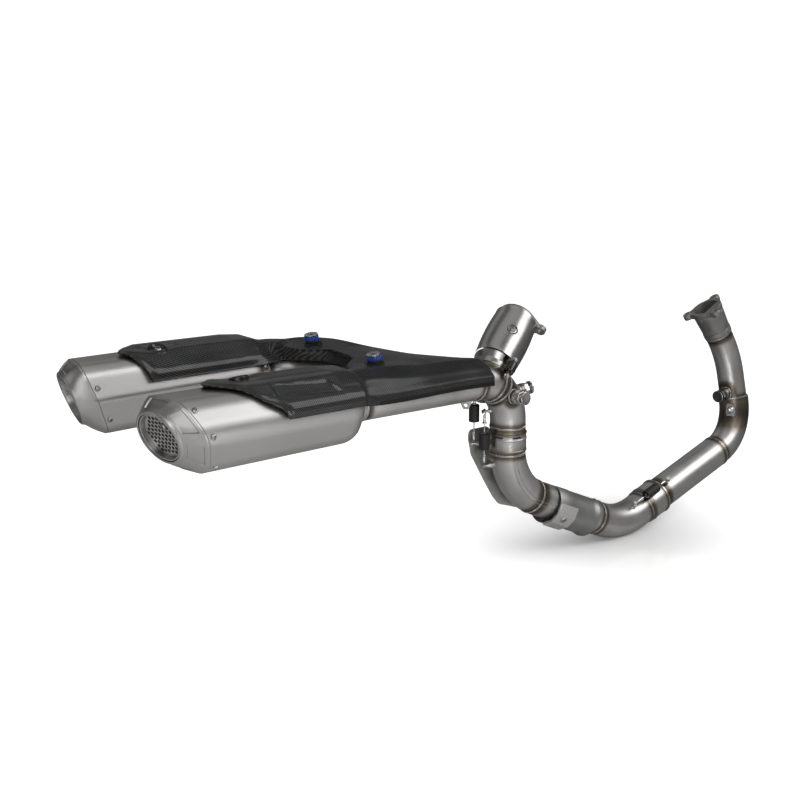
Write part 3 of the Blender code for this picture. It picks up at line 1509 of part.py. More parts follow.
def build_hanger(side, name, frame):
    """Steel top-hat washer, ribbed bush below it, and the bracket down to the pipe."""
    bush_top = -WASHER_THICK - GAP
    foot = -PAD_DROP - PAD_HEIGHT - BRACKET_THICK - GAP
    hat = [
        (WASHER_R, 0.0),
        (WASHER_R, -WASHER_THICK),
        (TUBE_R, -WASHER_THICK),
        (TUBE_R, foot),
        (TUBE_BORE_R, foot),
        (TUBE_BORE_R, 0.0),
        (WASHER_R, 0.0),
    ]
    add(f"{name}_hanger_washer", turned("hat", hat, frame, 16), "steel")
    bush = [
        (BUSH_R - BUSH_CHAMFER, bush_top),
        (BUSH_R, bush_top - BUSH_CHAMFER),
        (BUSH_R, bush_top - BUSH_HEIGHT + BUSH_CHAMFER),
        (BUSH_R - BUSH_CHAMFER, bush_top - BUSH_HEIGHT),
        (TUBE_R + GAP, bush_top - BUSH_HEIGHT),
        (TUBE_R + GAP, bush_top),
        (BUSH_R - BUSH_CHAMFER, bush_top),
    ]
    add(f"{name}_hanger_bush", turned("bush", bush, frame, 16), "blue")

    top = -PAD_DROP - PAD_HEIGHT - GAP
    half = BRACKET_WIDE / 2
    corners = [(a * half, b * half, BRACKET_CORNER_R) for a, b in CORNER_SIGNS]
    outline = rounded_polygon(corners, 3)
    loops = [outline, circle(TUBE_R + GAP, 16)]
    table = plate("bracket", loops, BRACKET_THICK, frame @ shift_z(top - BRACKET_THICK))
    bracket = add(f"{name}_hanger_bracket", table, "steel")
    box = box_mesh(
        (-BRACKET_THICK / 2, side * (TUBE_R + WEB_SET), top - WEB_DEPTH),
        (BRACKET_THICK / 2, side * half, top - BRACKET_THICK / 2),
    )
    box.transform(frame)
    boolean(bracket, helper(f"{name}_bracket_web", box), "UNION")
    right, left = link_paths()
    clear = rod("clear", right if side < 0 else left, LINK_R + GAP)
    boolean(bracket, helper(f"{name}_bracket_saddle", clear), "DIFFERENCE")


def box_mesh(low, high):
    """Solid box between two corners."""
    x = sorted((low[0], high[0]))
    y = sorted((low[1], high[1]))
    z = sorted((low[2], high[2]))
    points = [(a, b, c) for a in x for b in y for c in z]
    faces = [(0, 1, 3, 2), (4, 6, 7, 5), (0, 4, 5, 1), (2, 3, 7, 6), (0, 2, 6, 4), (1, 5, 7, 3)]
    return mesh_of("box", points, faces)


def ride(name, place, pieces):
    """Parent the pieces of a moving body to an empty on its slip joint's axis."""
    joint = bpy.data.objects.new(name, None)
    joint.location = place
    PARTS.objects.link(joint)
    for piece in pieces:
        moved = bpy.data.objects[piece]
        moved.parent = joint
        moved.matrix_parent_inverse = Matrix.Translation(-place)


def build_joints():
    ride("mid_slip", MID_TOP, MID_BODY)
    ride("front_slip", ELBOW + FRONT_AXIS * FRONT_SEAT, FRONT_BODY)
    ride("rear_slip", REAR_BASE + REAR_AXIS * REAR_SEAT, REAR_BODY)


def main():
    lines = spring_lines()
    for side, name in ((-1, "right"), (1, "left")):
        build_muffler(side, name)
    build_link()
    build_collector(lines)
    build_mid_pipe(lines)
    build_guards()
    build_front_header(lines)
    build_rear_header(lines)
    build_springs(lines)
    build_cover()
    build_joints()


main()
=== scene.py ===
"""Racing exhaust system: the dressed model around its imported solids.

Metres, +X forward, +Y to the bike's left, +Z up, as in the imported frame.
"""

import logging
from dataclasses import dataclass, field, replace
from enum import Enum
from math import asin, ceil, cos, degrees, exp, hypot, pi, radians, sin, sqrt, tan, tau
from typing import Callable, Sequence

import bmesh
import bpy
from mathutils import Matrix, Vector


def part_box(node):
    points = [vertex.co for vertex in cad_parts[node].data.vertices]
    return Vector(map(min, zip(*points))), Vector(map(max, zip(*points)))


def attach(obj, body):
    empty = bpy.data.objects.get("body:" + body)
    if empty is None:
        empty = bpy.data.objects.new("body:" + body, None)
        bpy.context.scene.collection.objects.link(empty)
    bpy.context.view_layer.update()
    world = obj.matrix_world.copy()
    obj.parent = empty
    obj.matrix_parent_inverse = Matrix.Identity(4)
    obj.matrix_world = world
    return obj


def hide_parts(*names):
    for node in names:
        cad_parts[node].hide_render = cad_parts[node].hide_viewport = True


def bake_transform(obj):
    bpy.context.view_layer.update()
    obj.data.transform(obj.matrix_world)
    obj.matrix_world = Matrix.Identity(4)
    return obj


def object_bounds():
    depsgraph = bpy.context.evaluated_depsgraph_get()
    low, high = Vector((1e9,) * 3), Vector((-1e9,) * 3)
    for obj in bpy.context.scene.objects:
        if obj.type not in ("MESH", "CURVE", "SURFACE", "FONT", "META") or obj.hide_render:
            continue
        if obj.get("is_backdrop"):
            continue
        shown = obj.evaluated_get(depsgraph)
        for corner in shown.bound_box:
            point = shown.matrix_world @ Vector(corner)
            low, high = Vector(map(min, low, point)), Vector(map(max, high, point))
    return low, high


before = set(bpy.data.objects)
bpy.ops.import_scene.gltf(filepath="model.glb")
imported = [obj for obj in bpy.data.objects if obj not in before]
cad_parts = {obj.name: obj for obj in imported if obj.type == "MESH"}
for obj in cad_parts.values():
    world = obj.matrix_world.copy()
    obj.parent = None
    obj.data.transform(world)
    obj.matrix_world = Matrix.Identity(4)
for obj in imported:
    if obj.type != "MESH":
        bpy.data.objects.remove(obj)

LOG = logging.getLogger("exhaust")
RUN_MAP = "run"
HEAT = "weld_tint"
X_AXIS, Y_AXIS, Z_AXIS = Vector((1, 0, 0)), Vector((0, 1, 0)), Vector((0, 0, 1))
FACING = (0.3, 0.5, 0.8)

Mesh = bpy.types.Mesh
Object = bpy.types.Object
Socket = bpy.types.NodeSocket
Pair = tuple[float, float]
Colour = tuple[float, float, float]

# Sizes that several classes share
GAP = 0.0003
EAR_HOLE_R = 0.0042
RIPPLE = 0.003
MUFFLER_Y = 0.125
MUFFLER_Z = -0.052
RIM_X = -0.34
FRONT_X = -0.072
FRONT_SCALE = 0.94
INLET_END = -0.084
PIPE_R = 0.027
PIPE_WALL = 0.0015
HEADER_R = 0.026
BEND_R = 0.025
UPPER_R = 0.0225
REAR_R = 0.025
SPIGOT_R = 0.0246
REAR_SPIGOT_R = 0.0226
SLEEVE_OUT_R = 0.0285
SLEEVE_IN_R = 0.0269
MID_JOINT_Z = -0.152
FRONT_SEAT = 0.07
FRONT_LINE = (
    ((0.75, 0.01, -0.04), 0.0),
    ((0.793, -0.004, -0.125), 0.15),
    ((0.796, -0.033, -0.259), 0.08),
    ((0.491, -0.066, -0.353), 0.12),
    ((0.247, -0.08, -0.243), 0.105),
    ((0.247, -0.08, -0.069), 0.07),
    ((0.135, -0.092, -0.064), 0.3),
    ((-0.03, -MUFFLER_Y, MUFFLER_Z), 0.12),
    ((INLET_END, -MUFFLER_Y, MUFFLER_Z), 0.0),
)
LEFT_BRANCH = (
    ((0.176, -0.087, -0.066), 0.0),
    ((0.112, -0.074, -0.0635), 0.06),
    ((-0.025, MUFFLER_Y, MUFFLER_Z), 0.07),
    ((INLET_END, MUFFLER_Y, MUFFLER_Z), 0.0),
)
LINK_WELD = Vector((0.176, -0.0875, -0.066))
REAR_BASE = Vector((0.222, -0.066, -0.062))
REAR_TOP = Vector((0.325, -0.015, 0.012))
PLATE_Y = -0.044
PLATE_POSTS = ((0.246, -0.205), (0.285, -0.262))
REAR_SEAT = 0.011
REAR_FLANGE_AT = 0.111


class Body(Enum):
    """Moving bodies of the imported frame."""

    TAIL = "tail"
    MID = "mid_section"
    FRONT = "front_header"
    REAR = "rear_header"


class Side(Enum):
    """Which half of a mirrored pair, as the sign of its Y."""

    RIGHT = -1
    LEFT = 1

    @property
    def word(self) -> str:
        """The side in lower case, as the nodes are named."""
        return self.name.lower()


# Paths and frames
def aim(origin: Sequence[float], axis: Sequence[float], facing: Sequence[float] = FACING) -> Matrix:
    """Frame with local Z along an axis.

    Args:
        origin: the frame's place.
        axis: direction of local Z.
        facing: direction that local X comes nearest to.

    Returns:
        The frame as a matrix.
    """
    z = Vector(axis).normalized()
    guess = Vector(facing)
    x = (guess - z * guess.dot(z)).normalized()
    made = Matrix((x, z.cross(x), z)).transposed().to_4x4()
    made.translation = Vector(origin)
    return made


def lift(distance: float) -> Matrix:
    """Shift along local Z."""
    return Matrix.Translation((0.0, 0.0, distance))


def clamp(value: float) -> float:
    """The value held between 0 and 1."""
    return min(1.0, max(0.0, value))


def polar(radius: float, angle: float) -> Pair:
    """Flat point at a radius and an angle."""
    return radius * cos(angle), radius * sin(angle)


def spaced(low: float, high: float, count: int) -> list[float]:
    """Even steps from one value to another, both among them."""
    return [low + (high - low) * i / (count - 1) for i in range(count)]


def across(axis: Vector, lean: float, facing: Sequence[float]) -> Vector:
    """Unit vector square to an axis.

    Args:
        axis: the direction to stand square to.
        lean: turn about the axis from the facing direction, in radians.
        facing: direction to come nearest to.

    Returns:
        The unit vector.
    """
    z = axis.normalized()
    base = Vector(facing)
    return Matrix.Rotation(lean, 3, z) @ (base - z * base.dot(z)).normalized()


def rounded(here: Vector, back: Vector, ahead: Vector, radius: float, count: int) -> list[Vector]:
    """Arc in place of a corner.

    Args:
        here: the corner.
        back: direction to what comes before it.
        ahead: direction to what comes after it.
        radius: the arc's radius.
        count: steps along the arc.

    Returns:
        The arc's points.
    """
    half = back.angle(ahead) / 2
    centre = here + (back + ahead).normalized() * (radius / sin(half))
    start = here + back * (radius / tan(half)) - centre
    normal = back.cross(ahead).normalized()
    turns = [(2 * half - pi) * i / count for i in range(count + 1)]
    return [centre + Matrix.Rotation(turn, 3, normal) @ start for turn in turns]


def bent_path(
    corners: Sequence[tuple], turn_step: float = 3.0, run_step: float = 0.004
) -> list[Vector]:
    """Centre line of straight runs with rounded corners.

    Args:
        corners: points, each with its bend radius.
        turn_step: degrees per point in a bend.
        run_step: longest straight step.

    Returns:
        Points along the line.
    """
    rough = [Vector(corners[0][0])]
    for (before, _), (here, radius), (after, _) in zip(corners, corners[1:], corners[2:]):
        here = Vector(here)
        back = (Vector(before) - here).normalized()
        ahead = (Vector(after) - here).normalized()
        turn = pi - back.angle(ahead)
        count = max(4, ceil(degrees(turn) / turn_step))
        rough += rounded(here, back, ahead, radius, count)
    rough.append(Vector(corners[-1][0]))
    return even(rough, run_step)


def even(points: Sequence[Vector], step: float) -> list[Vector]:
    """The line with long steps divided.

    Args:
        points: the line.
        step: longest step it may have.

    Returns:
        The finer line.
    """
    made = [points[0]]
    for a, b in zip(points, points[1:]):
        count = max(1, ceil((b - a).length / step))
        made += [a.lerp(b, i / count) for i in range(1, count + 1)]
    return made


def trim(points: Sequence[Vector], point: Sequence[float], normal: Sequence[float]) -> list[Vector]:
    """The line without what lies before its first crossing of a plane.

    Args:
        points: the line.
        point: a point of the plane.
        normal: the plane's direction.

    Returns:
        The rest of the line, from its crossing on.
    """
    place, facing = Vector(point), Vector(normal)
    heights = [(p - place).dot(facing) for p in points]
    for i in range(len(points) - 1):
        if heights[i] < 0 <= heights[i + 1]:
            crossing = points[i].lerp(points[i + 1], heights[i] / (heights[i] - heights[i + 1]))
            rest = list(points[i + 1 :])
            if (rest[0] - crossing).length < 5e-4 and len(rest) > 1:
                rest = rest[1:]
            return [crossing, *rest]
    return list(points)


def between(points: Sequence[Vector], start: tuple, end: tuple) -> list[Vector]:
    """The line between two planes, each a point and a normal along the line."""
    kept = trim(points, *start)
    return trim(kept[::-1], end[0], -Vector(end[1]))[::-1]


def longer(points: Sequence[Vector], start: float = 0.0, end: float = 0.0) -> list[Vector]:
    """The line with its ends drawn out.

    Args:
        points: the line.
        start: how far its start moves back.
        end: how far its end moves on.

    Returns:
        The longer line.
    """
    made = list(points)
    if start:
        made[0] = made[0] + (made[0] - made[1]).normalized() * start
    if end:
        made[-1] = made[-1] + (made[-1] - made[-2]).normalized() * end
    return made


def nearest(points: Sequence[Vector], place: Sequence[float]) -> tuple[Vector, Vector]:
    """Point of a line nearest to a place, and the line's direction there."""
    best = min(range(1, len(points) - 1), key=lambda i: (points[i] - Vector(place)).length)
    return points[best], (points[best + 1] - points[best - 1]).normalized()


def catmull(points: Sequence[Vector], at: float, soft: float = 1.0) -> Vector:
    """Point of a smooth line through others.

    Args:
        points: the points it goes through.
        at: place along them, counted in points.
        soft: 0 for straight pieces, 1 for a full curve.

    Returns:
        The point.
    """
    i = min(int(at), len(points) - 2)
    f = at - i
    b, c = points[i], points[i + 1]
    a = points[i - 1] if i else b * 2 - c
    d = points[i + 2] if i + 2 < len(points) else c * 2 - b
    curve = b + (
        (c - a) + ((a * 2 - b * 5 + c * 4 - d) + (b * 3 - a - c * 3 + d) * f) * f
    ) * (f / 2)
    return b.lerp(c, f).lerp(curve, soft)


def smooth(points: Sequence[Vector], per_step: int) -> list[Vector]:
    """Fine smooth line through a few points."""
    return [catmull(points, i / per_step) for i in range(per_step * (len(points) - 1) + 1)]


RUN = bent_path(FRONT_LINE)
LEFT_RUN = bent_path(LEFT_BRANCH)
ELBOW = Vector(FRONT_LINE[3][0])
FRONT_AXIS = (Vector(FRONT_LINE[2][0]) - ELBOW).normalized()
ELBOW_AXIS = (Vector(FRONT_LINE[4][0]) - ELBOW).normalized()
PORT = Vector(FRONT_LINE[0][0])
UP_AXIS = (PORT - Vector(FRONT_LINE[1][0])).normalized()
MID_LINE = Vector((FRONT_LINE[4][0][0], FRONT_LINE[4][0][1], 0.0))
MID_TOP = MID_LINE + Z_AXIS * MID_JOINT_Z
LINK_AXIS = (Vector(FRONT_LINE[6][0]) - Vector(FRONT_LINE[5][0])).normalized()
REAR_AXIS = (REAR_TOP - REAR_BASE).normalized()
REAR_SEAT_AT = REAR_BASE + REAR_AXIS * REAR_SEAT


# Meshes
def mesh_of(points: Sequence, faces: Sequence, runs: Sequence | None = None) -> Mesh:
    """A mesh with a length map for grain and weave.

    Args:
        points: its corners.
        faces: point numbers of each face.
        runs: for each face, a pair of lengths per corner.

    Returns:
        The mesh.
    """
    mesh = bpy.data.meshes.new("piece")
    mesh.from_pydata([tuple(p) for p in points], [], faces)
    layer = mesh.uv_layers.new(name=RUN_MAP)
    if runs:
        layer.data.foreach_set("uv", [c for face in runs for pair in face for c in pair])
    return mesh


def tidied(mesh: Mesh) -> Mesh:
    """The mesh with doubled points merged and its faces turned out.

    Args:
        mesh: the mesh to tidy.

    Returns:
        The same mesh.
    """
    work = bmesh.new()
    work.from_mesh(mesh)
    bmesh.ops.remove_doubles(work, verts=work.verts, dist=1e-6)
    bmesh.ops.recalc_face_normals(work, faces=work.faces)
    work.to_mesh(mesh)
    work.free()
    return mesh


def loft(
    rings: Sequence, wrap: bool = False, cyclic: bool = True, caps: bool = False
) -> Mesh:
    """Surface through rings of equal count.

    Args:
        rings: lists of points.
        wrap: join the last ring to the first.
        cyclic: close each ring.
        caps: close the two end rings.

    Returns:
        The mesh, with lengths round and along in its map.
    """
    rings = [[Vector(p) for p in ring] for ring in rings]
    count = len(rings[0])
    steps = count if cyclic else count - 1
    around = []
    for ring in rings:
        line = [0.0]
        for j in range(steps):
            line.append(line[-1] + (ring[(j + 1) % count] - ring[j]).length)
        around.append(line)
    along = [0.0]
    for a, b in zip(rings, rings[1:] + rings[:1]):
        along.append(along[-1] + sum((p - q).length for p, q in zip(a, b)) / count)
    faces, runs = [], []
    for i in range(len(rings) if wrap else len(rings) - 1):
        k = (i + 1) % len(rings)
        for j in range(steps):
            n = (j + 1) % count
            faces.append((i * count + j, i * count + n, k * count + n, k * count + j))
            low, high = along[i], along[i + 1]
            runs.append(
                (
                    (around[i][j], low), (around[i][j + 1], low), (around[k][j + 1], high),
                    (around[k][j], high),
                )
            )
    if caps:
        for i in (0, len(rings) - 1):
            faces.append(tuple(i * count + j for j in range(count)))
            runs.append(tuple((around[i][j], along[i]) for j in range(count)))
    return tidied(mesh_of([p for ring in rings for p in ring], faces, runs))


def frames_along(points: Sequence[Vector]) -> list[Matrix]:
    """Frames that follow a line without twisting.

    Args:
        points: the line.

    Returns:
        One frame per point, Z along the line.
    """
    steps = [(b - a).normalized() for a, b in zip(points, points[1:])]
    ways = [steps[0], *[(a + b).normalized() for a, b in zip(steps, steps[1:])], steps[-1]]
    made = [aim(points[0], ways[0])]
    for point, before, way in zip(points[1:], ways, ways[1:]):
        turned = before.rotation_difference(way).to_matrix().to_4x4() @ made[-1]
        turned.translation = point
        made.append(turned)
    return made


def circle(radius: float, count: int, centre: Pair = (0.0, 0.0)) -> list[Pair]:
    """Points on a flat circle."""
    spots = [polar(radius, tau * i / count) for i in range(count)]
    return [(centre[0] + x, centre[1] + y) for x, y in spots]


def sweep(points: Sequence[Vector], radius: float, sides: int = 48) -> Mesh:
    """Closed round bar along a line.

    Args:
        points: centre line.
        radius: the bar's radius.
        sides: facets round it.

    Returns:
        The mesh.
    """
    ring = [Vector((x, y, 0.0)) for x, y in circle(radius, sides)]
    return loft([[place @ p for p in ring] for place in frames_along(points)], caps=True)


def pipe(points: Sequence[Vector], outer: float, sides: int = 48) -> Mesh:
    """Closed pipe wall along a line.

    Args:
        points: centre line.
        outer: outside radius.
        sides: facets round it.

    Returns:
        The mesh.
    """
    places = frames_along(points)
    rings = []
    for size, order in ((outer, places), (outer - PIPE_WALL, places[::-1])):
        rings += [[m @ Vector((x, y, 0.0)) for x, y in circle(size, sides)] for m in order]
    return loft(rings, wrap=True)


def fillet(
    points: Sequence[Pair], radius: float, steps: int = 3, closed: bool = True
) -> list[Pair]:
    """Flat outline with its corners rounded.

    Args:
        points: the corners; a third number is a corner's own radius.
        radius: radius of the other corners.
        steps: points per corner, less one.
        closed: whether the last corner joins the first.

    Returns:
        The rounded outline.
    """
    made = []
    count = len(points)
    for i, point in enumerate(points):
        here = Vector((point[0], point[1], 0.0))
        if not closed and i in (0, count - 1):
            made.append((here.x, here.y))
            continue
        before = Vector((*points[i - 1][:2], 0.0)) - here
        after = Vector((*points[(i + 1) % count][:2], 0.0)) - here
        half = before.angle(after) / 2
        size = point[2] if len(point) > 2 else radius
        if half > radians(89) or size < 1e-6:
            made.append((here.x, here.y))
            continue
        reach = min(size / tan(half), before.length * 0.48, after.length * 0.48)
        back, ahead = before.normalized(), after.normalized()
        made += [(p.x, p.y) for p in rounded(here, back, ahead, reach * tan(half), steps)]
    return made


def lathe(
    profile: Sequence[Pair],
    matrix: Matrix,
    steps: int = 40,
    arc: float = tau,
    closed: bool = False,
) -> Mesh:
    """Profile of radius and height turned about local Z.

    Args:
        profile: radius and height of each point.
        matrix: where the turned piece goes.
        steps: facets round it.
        arc: how far it turns.
        closed: join the profile's end to its start.

    Returns:
        The mesh.
    """
    whole = arc > tau - 1e-6
    spots = [arc * i / steps for i in range(steps if whole else steps + 1)]
    rings = [[matrix @ Vector((*polar(r, a), z)) for a in spots] for r, z in profile]
    return loft(rings, wrap=closed, cyclic=whole)


def band(
    radii: Pair, heights: Pair, soft: float, matrix: Matrix, steps: int, arc: float = tau
) -> Mesh:
    """Ring with a rounded rectangle for its section.

    Args:
        radii: radius of its first and second side.
        heights: heights of its first and second edge.
        soft: rounding of its corners.
        matrix: where the ring goes.
        steps: facets round it.
        arc: how far it turns.

    Returns:
        The mesh.
    """
    (a, b), (low, high) = radii, heights
    profile = fillet([(a, low), (b, low), (b, high), (a, high)], soft)
    return lathe(profile, matrix, steps, arc, closed=True)


def plate(loops: Sequence, thickness: float, matrix: Matrix, bevel: float = 0.0) -> Mesh:
    """Flat outline with holes, thickened up from local z = 0.

    Args:
        loops: the outline and its holes.
        thickness: full thickness.
        matrix: where the plate goes.
        bevel: rounding of its edges.

    Returns:
        The mesh.
    """
    data = bpy.data.curves.new("outline", "CURVE")
    data.dimensions = "2D"
    data.fill_mode = "BOTH"
    data.extrude = thickness / 2 - bevel
    data.bevel_depth = bevel
    data.bevel_resolution = 1
    data.offset = -bevel
    for loop in loops:
        spline = data.splines.new("POLY")
        spline.use_cyclic_u = True
        spline.points.add(len(loop) - 1)
        for target, point in zip(spline.points, loop):
            target.co = (point[0], point[1], 0.0, 1.0)
    mesh = evaluated(placed("outline", data))
    bpy.data.curves.remove(data)
    for old in list(mesh.uv_layers):
        mesh.uv_layers.remove(old)
    layer = mesh.uv_layers.new(name=RUN_MAP)
    places = [mesh.vertices[loop.vertex_index].co for loop in mesh.loops]
    layer.data.foreach_set("uv", [c for p in places for c in (p.x, p.y)])
    mesh.transform(matrix @ lift(thickness / 2))
    return tidied(mesh)


def placed(name: str, data: bpy.types.ID) -> Object:
    """A new object in the scene.

    Args:
        name: the object's name.
        data: what it shows.

    Returns:
        The object.
    """
    obj = bpy.data.objects.new(name, data)
    bpy.context.scene.collection.objects.link(obj)
    return obj


def evaluated(obj: Object) -> Mesh:
    """The final mesh of a helper object.

    Args:
        obj: the helper, which is removed.

    Returns:
        The mesh.
    """
    bpy.context.view_layer.update()
    graph = bpy.context.evaluated_depsgraph_get()
    mesh = bpy.data.meshes.new_from_object(obj.evaluated_get(graph))
    bpy.data.objects.remove(obj, do_unlink=True)
    return mesh


def carved(solids: Sequence[Mesh], cuts: Sequence[Mesh] = ()) -> Mesh:
    """Several solids joined into one, then cut.

    Args:
        solids: closed meshes to join.
        cuts: closed meshes to take away.

    Returns:
        The mesh.
    """
    base = placed("base", solids[0])
    helpers = []
    jobs = [(m, "UNION") for m in solids[1:]] + [(m, "DIFFERENCE") for m in cuts]
    for mesh, operation in jobs:
        helpers.append(placed("tool", mesh))
        made = base.modifiers.new(operation, "BOOLEAN")
        made.operation = operation
        made.solver = "EXACT"
        made.object = helpers[-1]
    mesh = evaluated(base)
    for helper in helpers:
        bpy.data.objects.remove(helper, do_unlink=True)
    return mesh


def together(meshes: Sequence[Mesh]) -> Mesh:
    """Several closed meshes as one.

    Args:
        meshes: the meshes, which stay as they are.

    Returns:
        The mesh.
    """
    work = bmesh.new()
    for mesh in meshes:
        work.from_mesh(mesh)
    made = bpy.data.meshes.new("piece")
    work.to_mesh(made)
    work.free()
    return made


def mirrored(mesh: Mesh, side: Side) -> Mesh:
    """The mesh of the right side as it is, or reflected to the left.

    Args:
        mesh: the mesh of the right side.
        side: the side it is for.

    Returns:
        The same mesh.
    """
    if side is Side.LEFT:
        mesh.transform(Matrix.Scale(-1, 4, Y_AXIS))
        mesh.flip_normals()
    return mesh


def hexagon(radius: float, per_side: int = 4) -> list[Pair]:
    """Points along the sides of a hexagon.

    Args:
        radius: distance of its corners.
        per_side: points on each side.

    Returns:
        The points.
    """
    corners = circle(radius, 6)
    made = []
    for (ax, ay), (bx, by) in zip(corners, corners[1:] + corners[:1]):
        shares = [i / per_side for i in range(per_side)]
        made += [(ax + (bx - ax) * share, ay + (by - ay) * share) for share in shares]
    return made


def socket_screw(matrix: Matrix, radius: float, height: float) -> Mesh:
    """Button-head screw with a hexagon socket.

    Args:
        matrix: seat of the head, Z out of it.
        radius: the head's radius.
        height: the head's height.

    Returns:
        The mesh.
    """
    head = [
        (0.72, -0.6), (0.96, 0.0), (1.0, 0.12), (0.97, 0.45), (0.86, 0.75), (0.68, 0.95),
        (0.62, 1.0),
    ]
    socket = [(0.58, 1.0), (0.54, 0.9), (0.54, -0.1), (0.1, -0.3)]
    rings = []
    for shape, levels in ((circle(1.0, 24), head), (hexagon(1.0), socket)):
        for share, up in levels:
            size = share * radius
            rings.append([matrix @ Vector((x * size, y * size, up * height)) for x, y in shape])
    return loft(rings, caps=True)


def bead(
    centre: Vector, axis: Vector, radius: float, wide: float = 0.0021, tall: float = 0.0009
) -> Mesh:
    """Round weld with overlapping ripples.

    Args:
        centre: on the pipe's axis.
        axis: the pipe's direction.
        radius: the pipe's radius.
        wide: half width of the weld.
        tall: height over the pipe.

    Returns:
        The mesh.
    """
    place = aim(centre, axis)
    ripples = round(tau * radius / RIPPLE)
    rings = []
    for i in range(ripples * 4):
        phase = i % 4 / 4
        swell = 1.0 - 0.3 * phase
        turn = tau * i / (ripples * 4)
        out = Vector((*polar(1.0, turn), 0.0))
        ring = []
        for k in range(8):
            a = tau * k / 8
            bow = 0.0005 * cos(a * 0.5) * sin(tau * phase)
            up = radius + tall * swell * sin(a)
            ring.append(place @ (out * up + Z_AXIS * (wide * swell * cos(a) + bow)))
        rings.append(ring)
    return loft(rings, wrap=True)


def post(foot: Vector, hook: Vector) -> Mesh:
    """Headed spring post with a welded foot.

    Args:
        foot: start inside the pipe.
        hook: point that the spring's hook goes round.

    Returns:
        The mesh.
    """
    reach = (hook - foot).length + 0.0026
    skin = reach - 0.0105
    profile = [
        (0.0, 0.0), (0.0042, 0.0), (0.0042, skin - 0.001), (0.003, skin + 0.0012),
        (0.002, skin + 0.0026),
    ]
    profile += [
        (0.002, reach - 0.0002), (0.003, reach), (0.0032, reach + 0.0004), (0.0032, reach + 0.0011)
    ]
    profile += [(0.0027, reach + 0.0015), (0.0, reach + 0.0016)]
    return lathe(profile, aim(foot, hook - foot), 20)


def tab(foot: Vector, axis: Vector, lean: float, size: float, thick: float = 0.0022) -> Mesh:
    """Small welded ear with a hole.

    Args:
        foot: middle of its welded edge.
        axis: direction it stands up in.
        lean: turn about that direction.
        size: its height.
        thick: its thickness.

    Returns:
        The mesh.
    """
    wide, narrow = size * 0.7, size * 0.25
    outline = fillet([(-wide, 0.0), (wide, 0.0), (narrow, size), (-narrow, size)], size * 0.22)
    hole = circle(size * 0.16, 14, (0.0, size * 0.62))
    up = aim(foot, across(axis, lean, FACING), axis)
    turn = Matrix.Rotation(radians(-90), 4, "Z")
    return plate([outline, hole], thick, up @ turn @ lift(-thick / 2), 0.0004)


# Node trees
class Graph:
    """Shorthand for wiring one node tree."""

    def __init__(self, tree: bpy.types.NodeTree) -> None:
        """Keep the tree, emptied."""
        self.tree = tree
        tree.nodes.clear()

    def feed(self, socket: Socket, value: object) -> None:
        """Link an output to an input, or set the input's value.

        Args:
            socket: the input.
            value: an output or a plain value.
        """
        if isinstance(value, Socket):
            self.tree.links.new(value, socket)
        else:
            socket.default_value = value

    def add(self, kind: str, inputs: dict | None = None, **settings: object) -> bpy.types.Node:
        """A new node.

        Args:
            kind: the node's type.
            inputs: what feeds its inputs, by name or number.
            **settings: its own options.

        Returns:
            The node.
        """
        node = self.tree.nodes.new(kind)
        for key, value in settings.items():
            setattr(node, key, value)
        for key, value in (inputs or {}).items():
            self.feed(node.inputs[key], value)
        return node

    def math(self, operation: str, *values: object) -> Socket:
        """Result of one sum."""
        return self.add("ShaderNodeMath", dict(enumerate(values)), operation=operation).outputs[0]

    def mix(self, factor: object, a: object, b: object, blend: str = "MIX") -> Socket:
        """Two colours mixed."""
        node = self.add(
            "ShaderNodeMix", {0: factor, 6: a, 7: b}, data_type="RGBA", blend_type=blend
        )
        return node.outputs[2]

    def spread(
        self, value: object, low: float, high: float, to_low: object, to_high: object
    ) -> Socket:
        """A value moved from one range to another."""
        feeds = {
            "Value": value, "From Min": low, "From Max": high, "To Min": to_low, "To Max": to_high
        }
        return self.add("ShaderNodeMapRange", feeds).outputs[0]

    def ramp(self, value: Socket, stops: Sequence[tuple]) -> Socket:
        """Colour looked up along stops of place and colour.

        Args:
            value: where to look.
            stops: place and colour of each stop.

        Returns:
            The colour.
        """
        node = self.add("ShaderNodeValToRGB", {"Fac": value})
        points = node.color_ramp.elements
        while len(points) < len(stops):
            points.new(0.5)
        for point, (place, colour) in zip(points, stops):
            point.position = place
            point.color = (*colour, 1.0)
        return node.outputs["Color"]

    def vector(self, operation: str, a: object, b: object) -> Socket:
        """Number that two vectors give."""
        return self.add("ShaderNodeVectorMath", {0: a, 1: b}, operation=operation).outputs["Value"]

    def grey(self, value: Socket) -> Socket:
        """A value as a grey colour."""
        return self.add("ShaderNodeCombineColor", {0: value, 1: value, 2: value}).outputs[0]

    def lengths(self) -> list[Socket]:
        """Lengths round and along the piece, from its length map."""
        spot = self.add("ShaderNodeUVMap", uv_map=RUN_MAP).outputs[0]
        return self.add("ShaderNodeSeparateXYZ", {0: spot}).outputs[:2]

    def bump(self, strength: float, distance: float, height: Socket) -> Socket:
        """Normal that follows a height."""
        feeds = {"Strength": strength, "Distance": distance, "Height": height}
        return self.add("ShaderNodeBump", feeds).outputs[0]

    def surface(self, feeds: dict) -> None:
        """The material's shader, with what feeds its inputs."""
        shader = self.add("ShaderNodeBsdfPrincipled", feeds)
        self.add("ShaderNodeOutputMaterial", {0: shader.outputs[0]})

    def group(self, tree: bpy.types.NodeTree, **inputs: object) -> bpy.types.Node:
        """A placed node group with its own values.

        Args:
            tree: the group.
            **inputs: what feeds its inputs.

        Returns:
            The node.
        """
        node = self.add("ShaderNodeGroup", node_tree=tree)
        for key, value in inputs.items():
            self.feed(node.inputs[key], value)
        return node


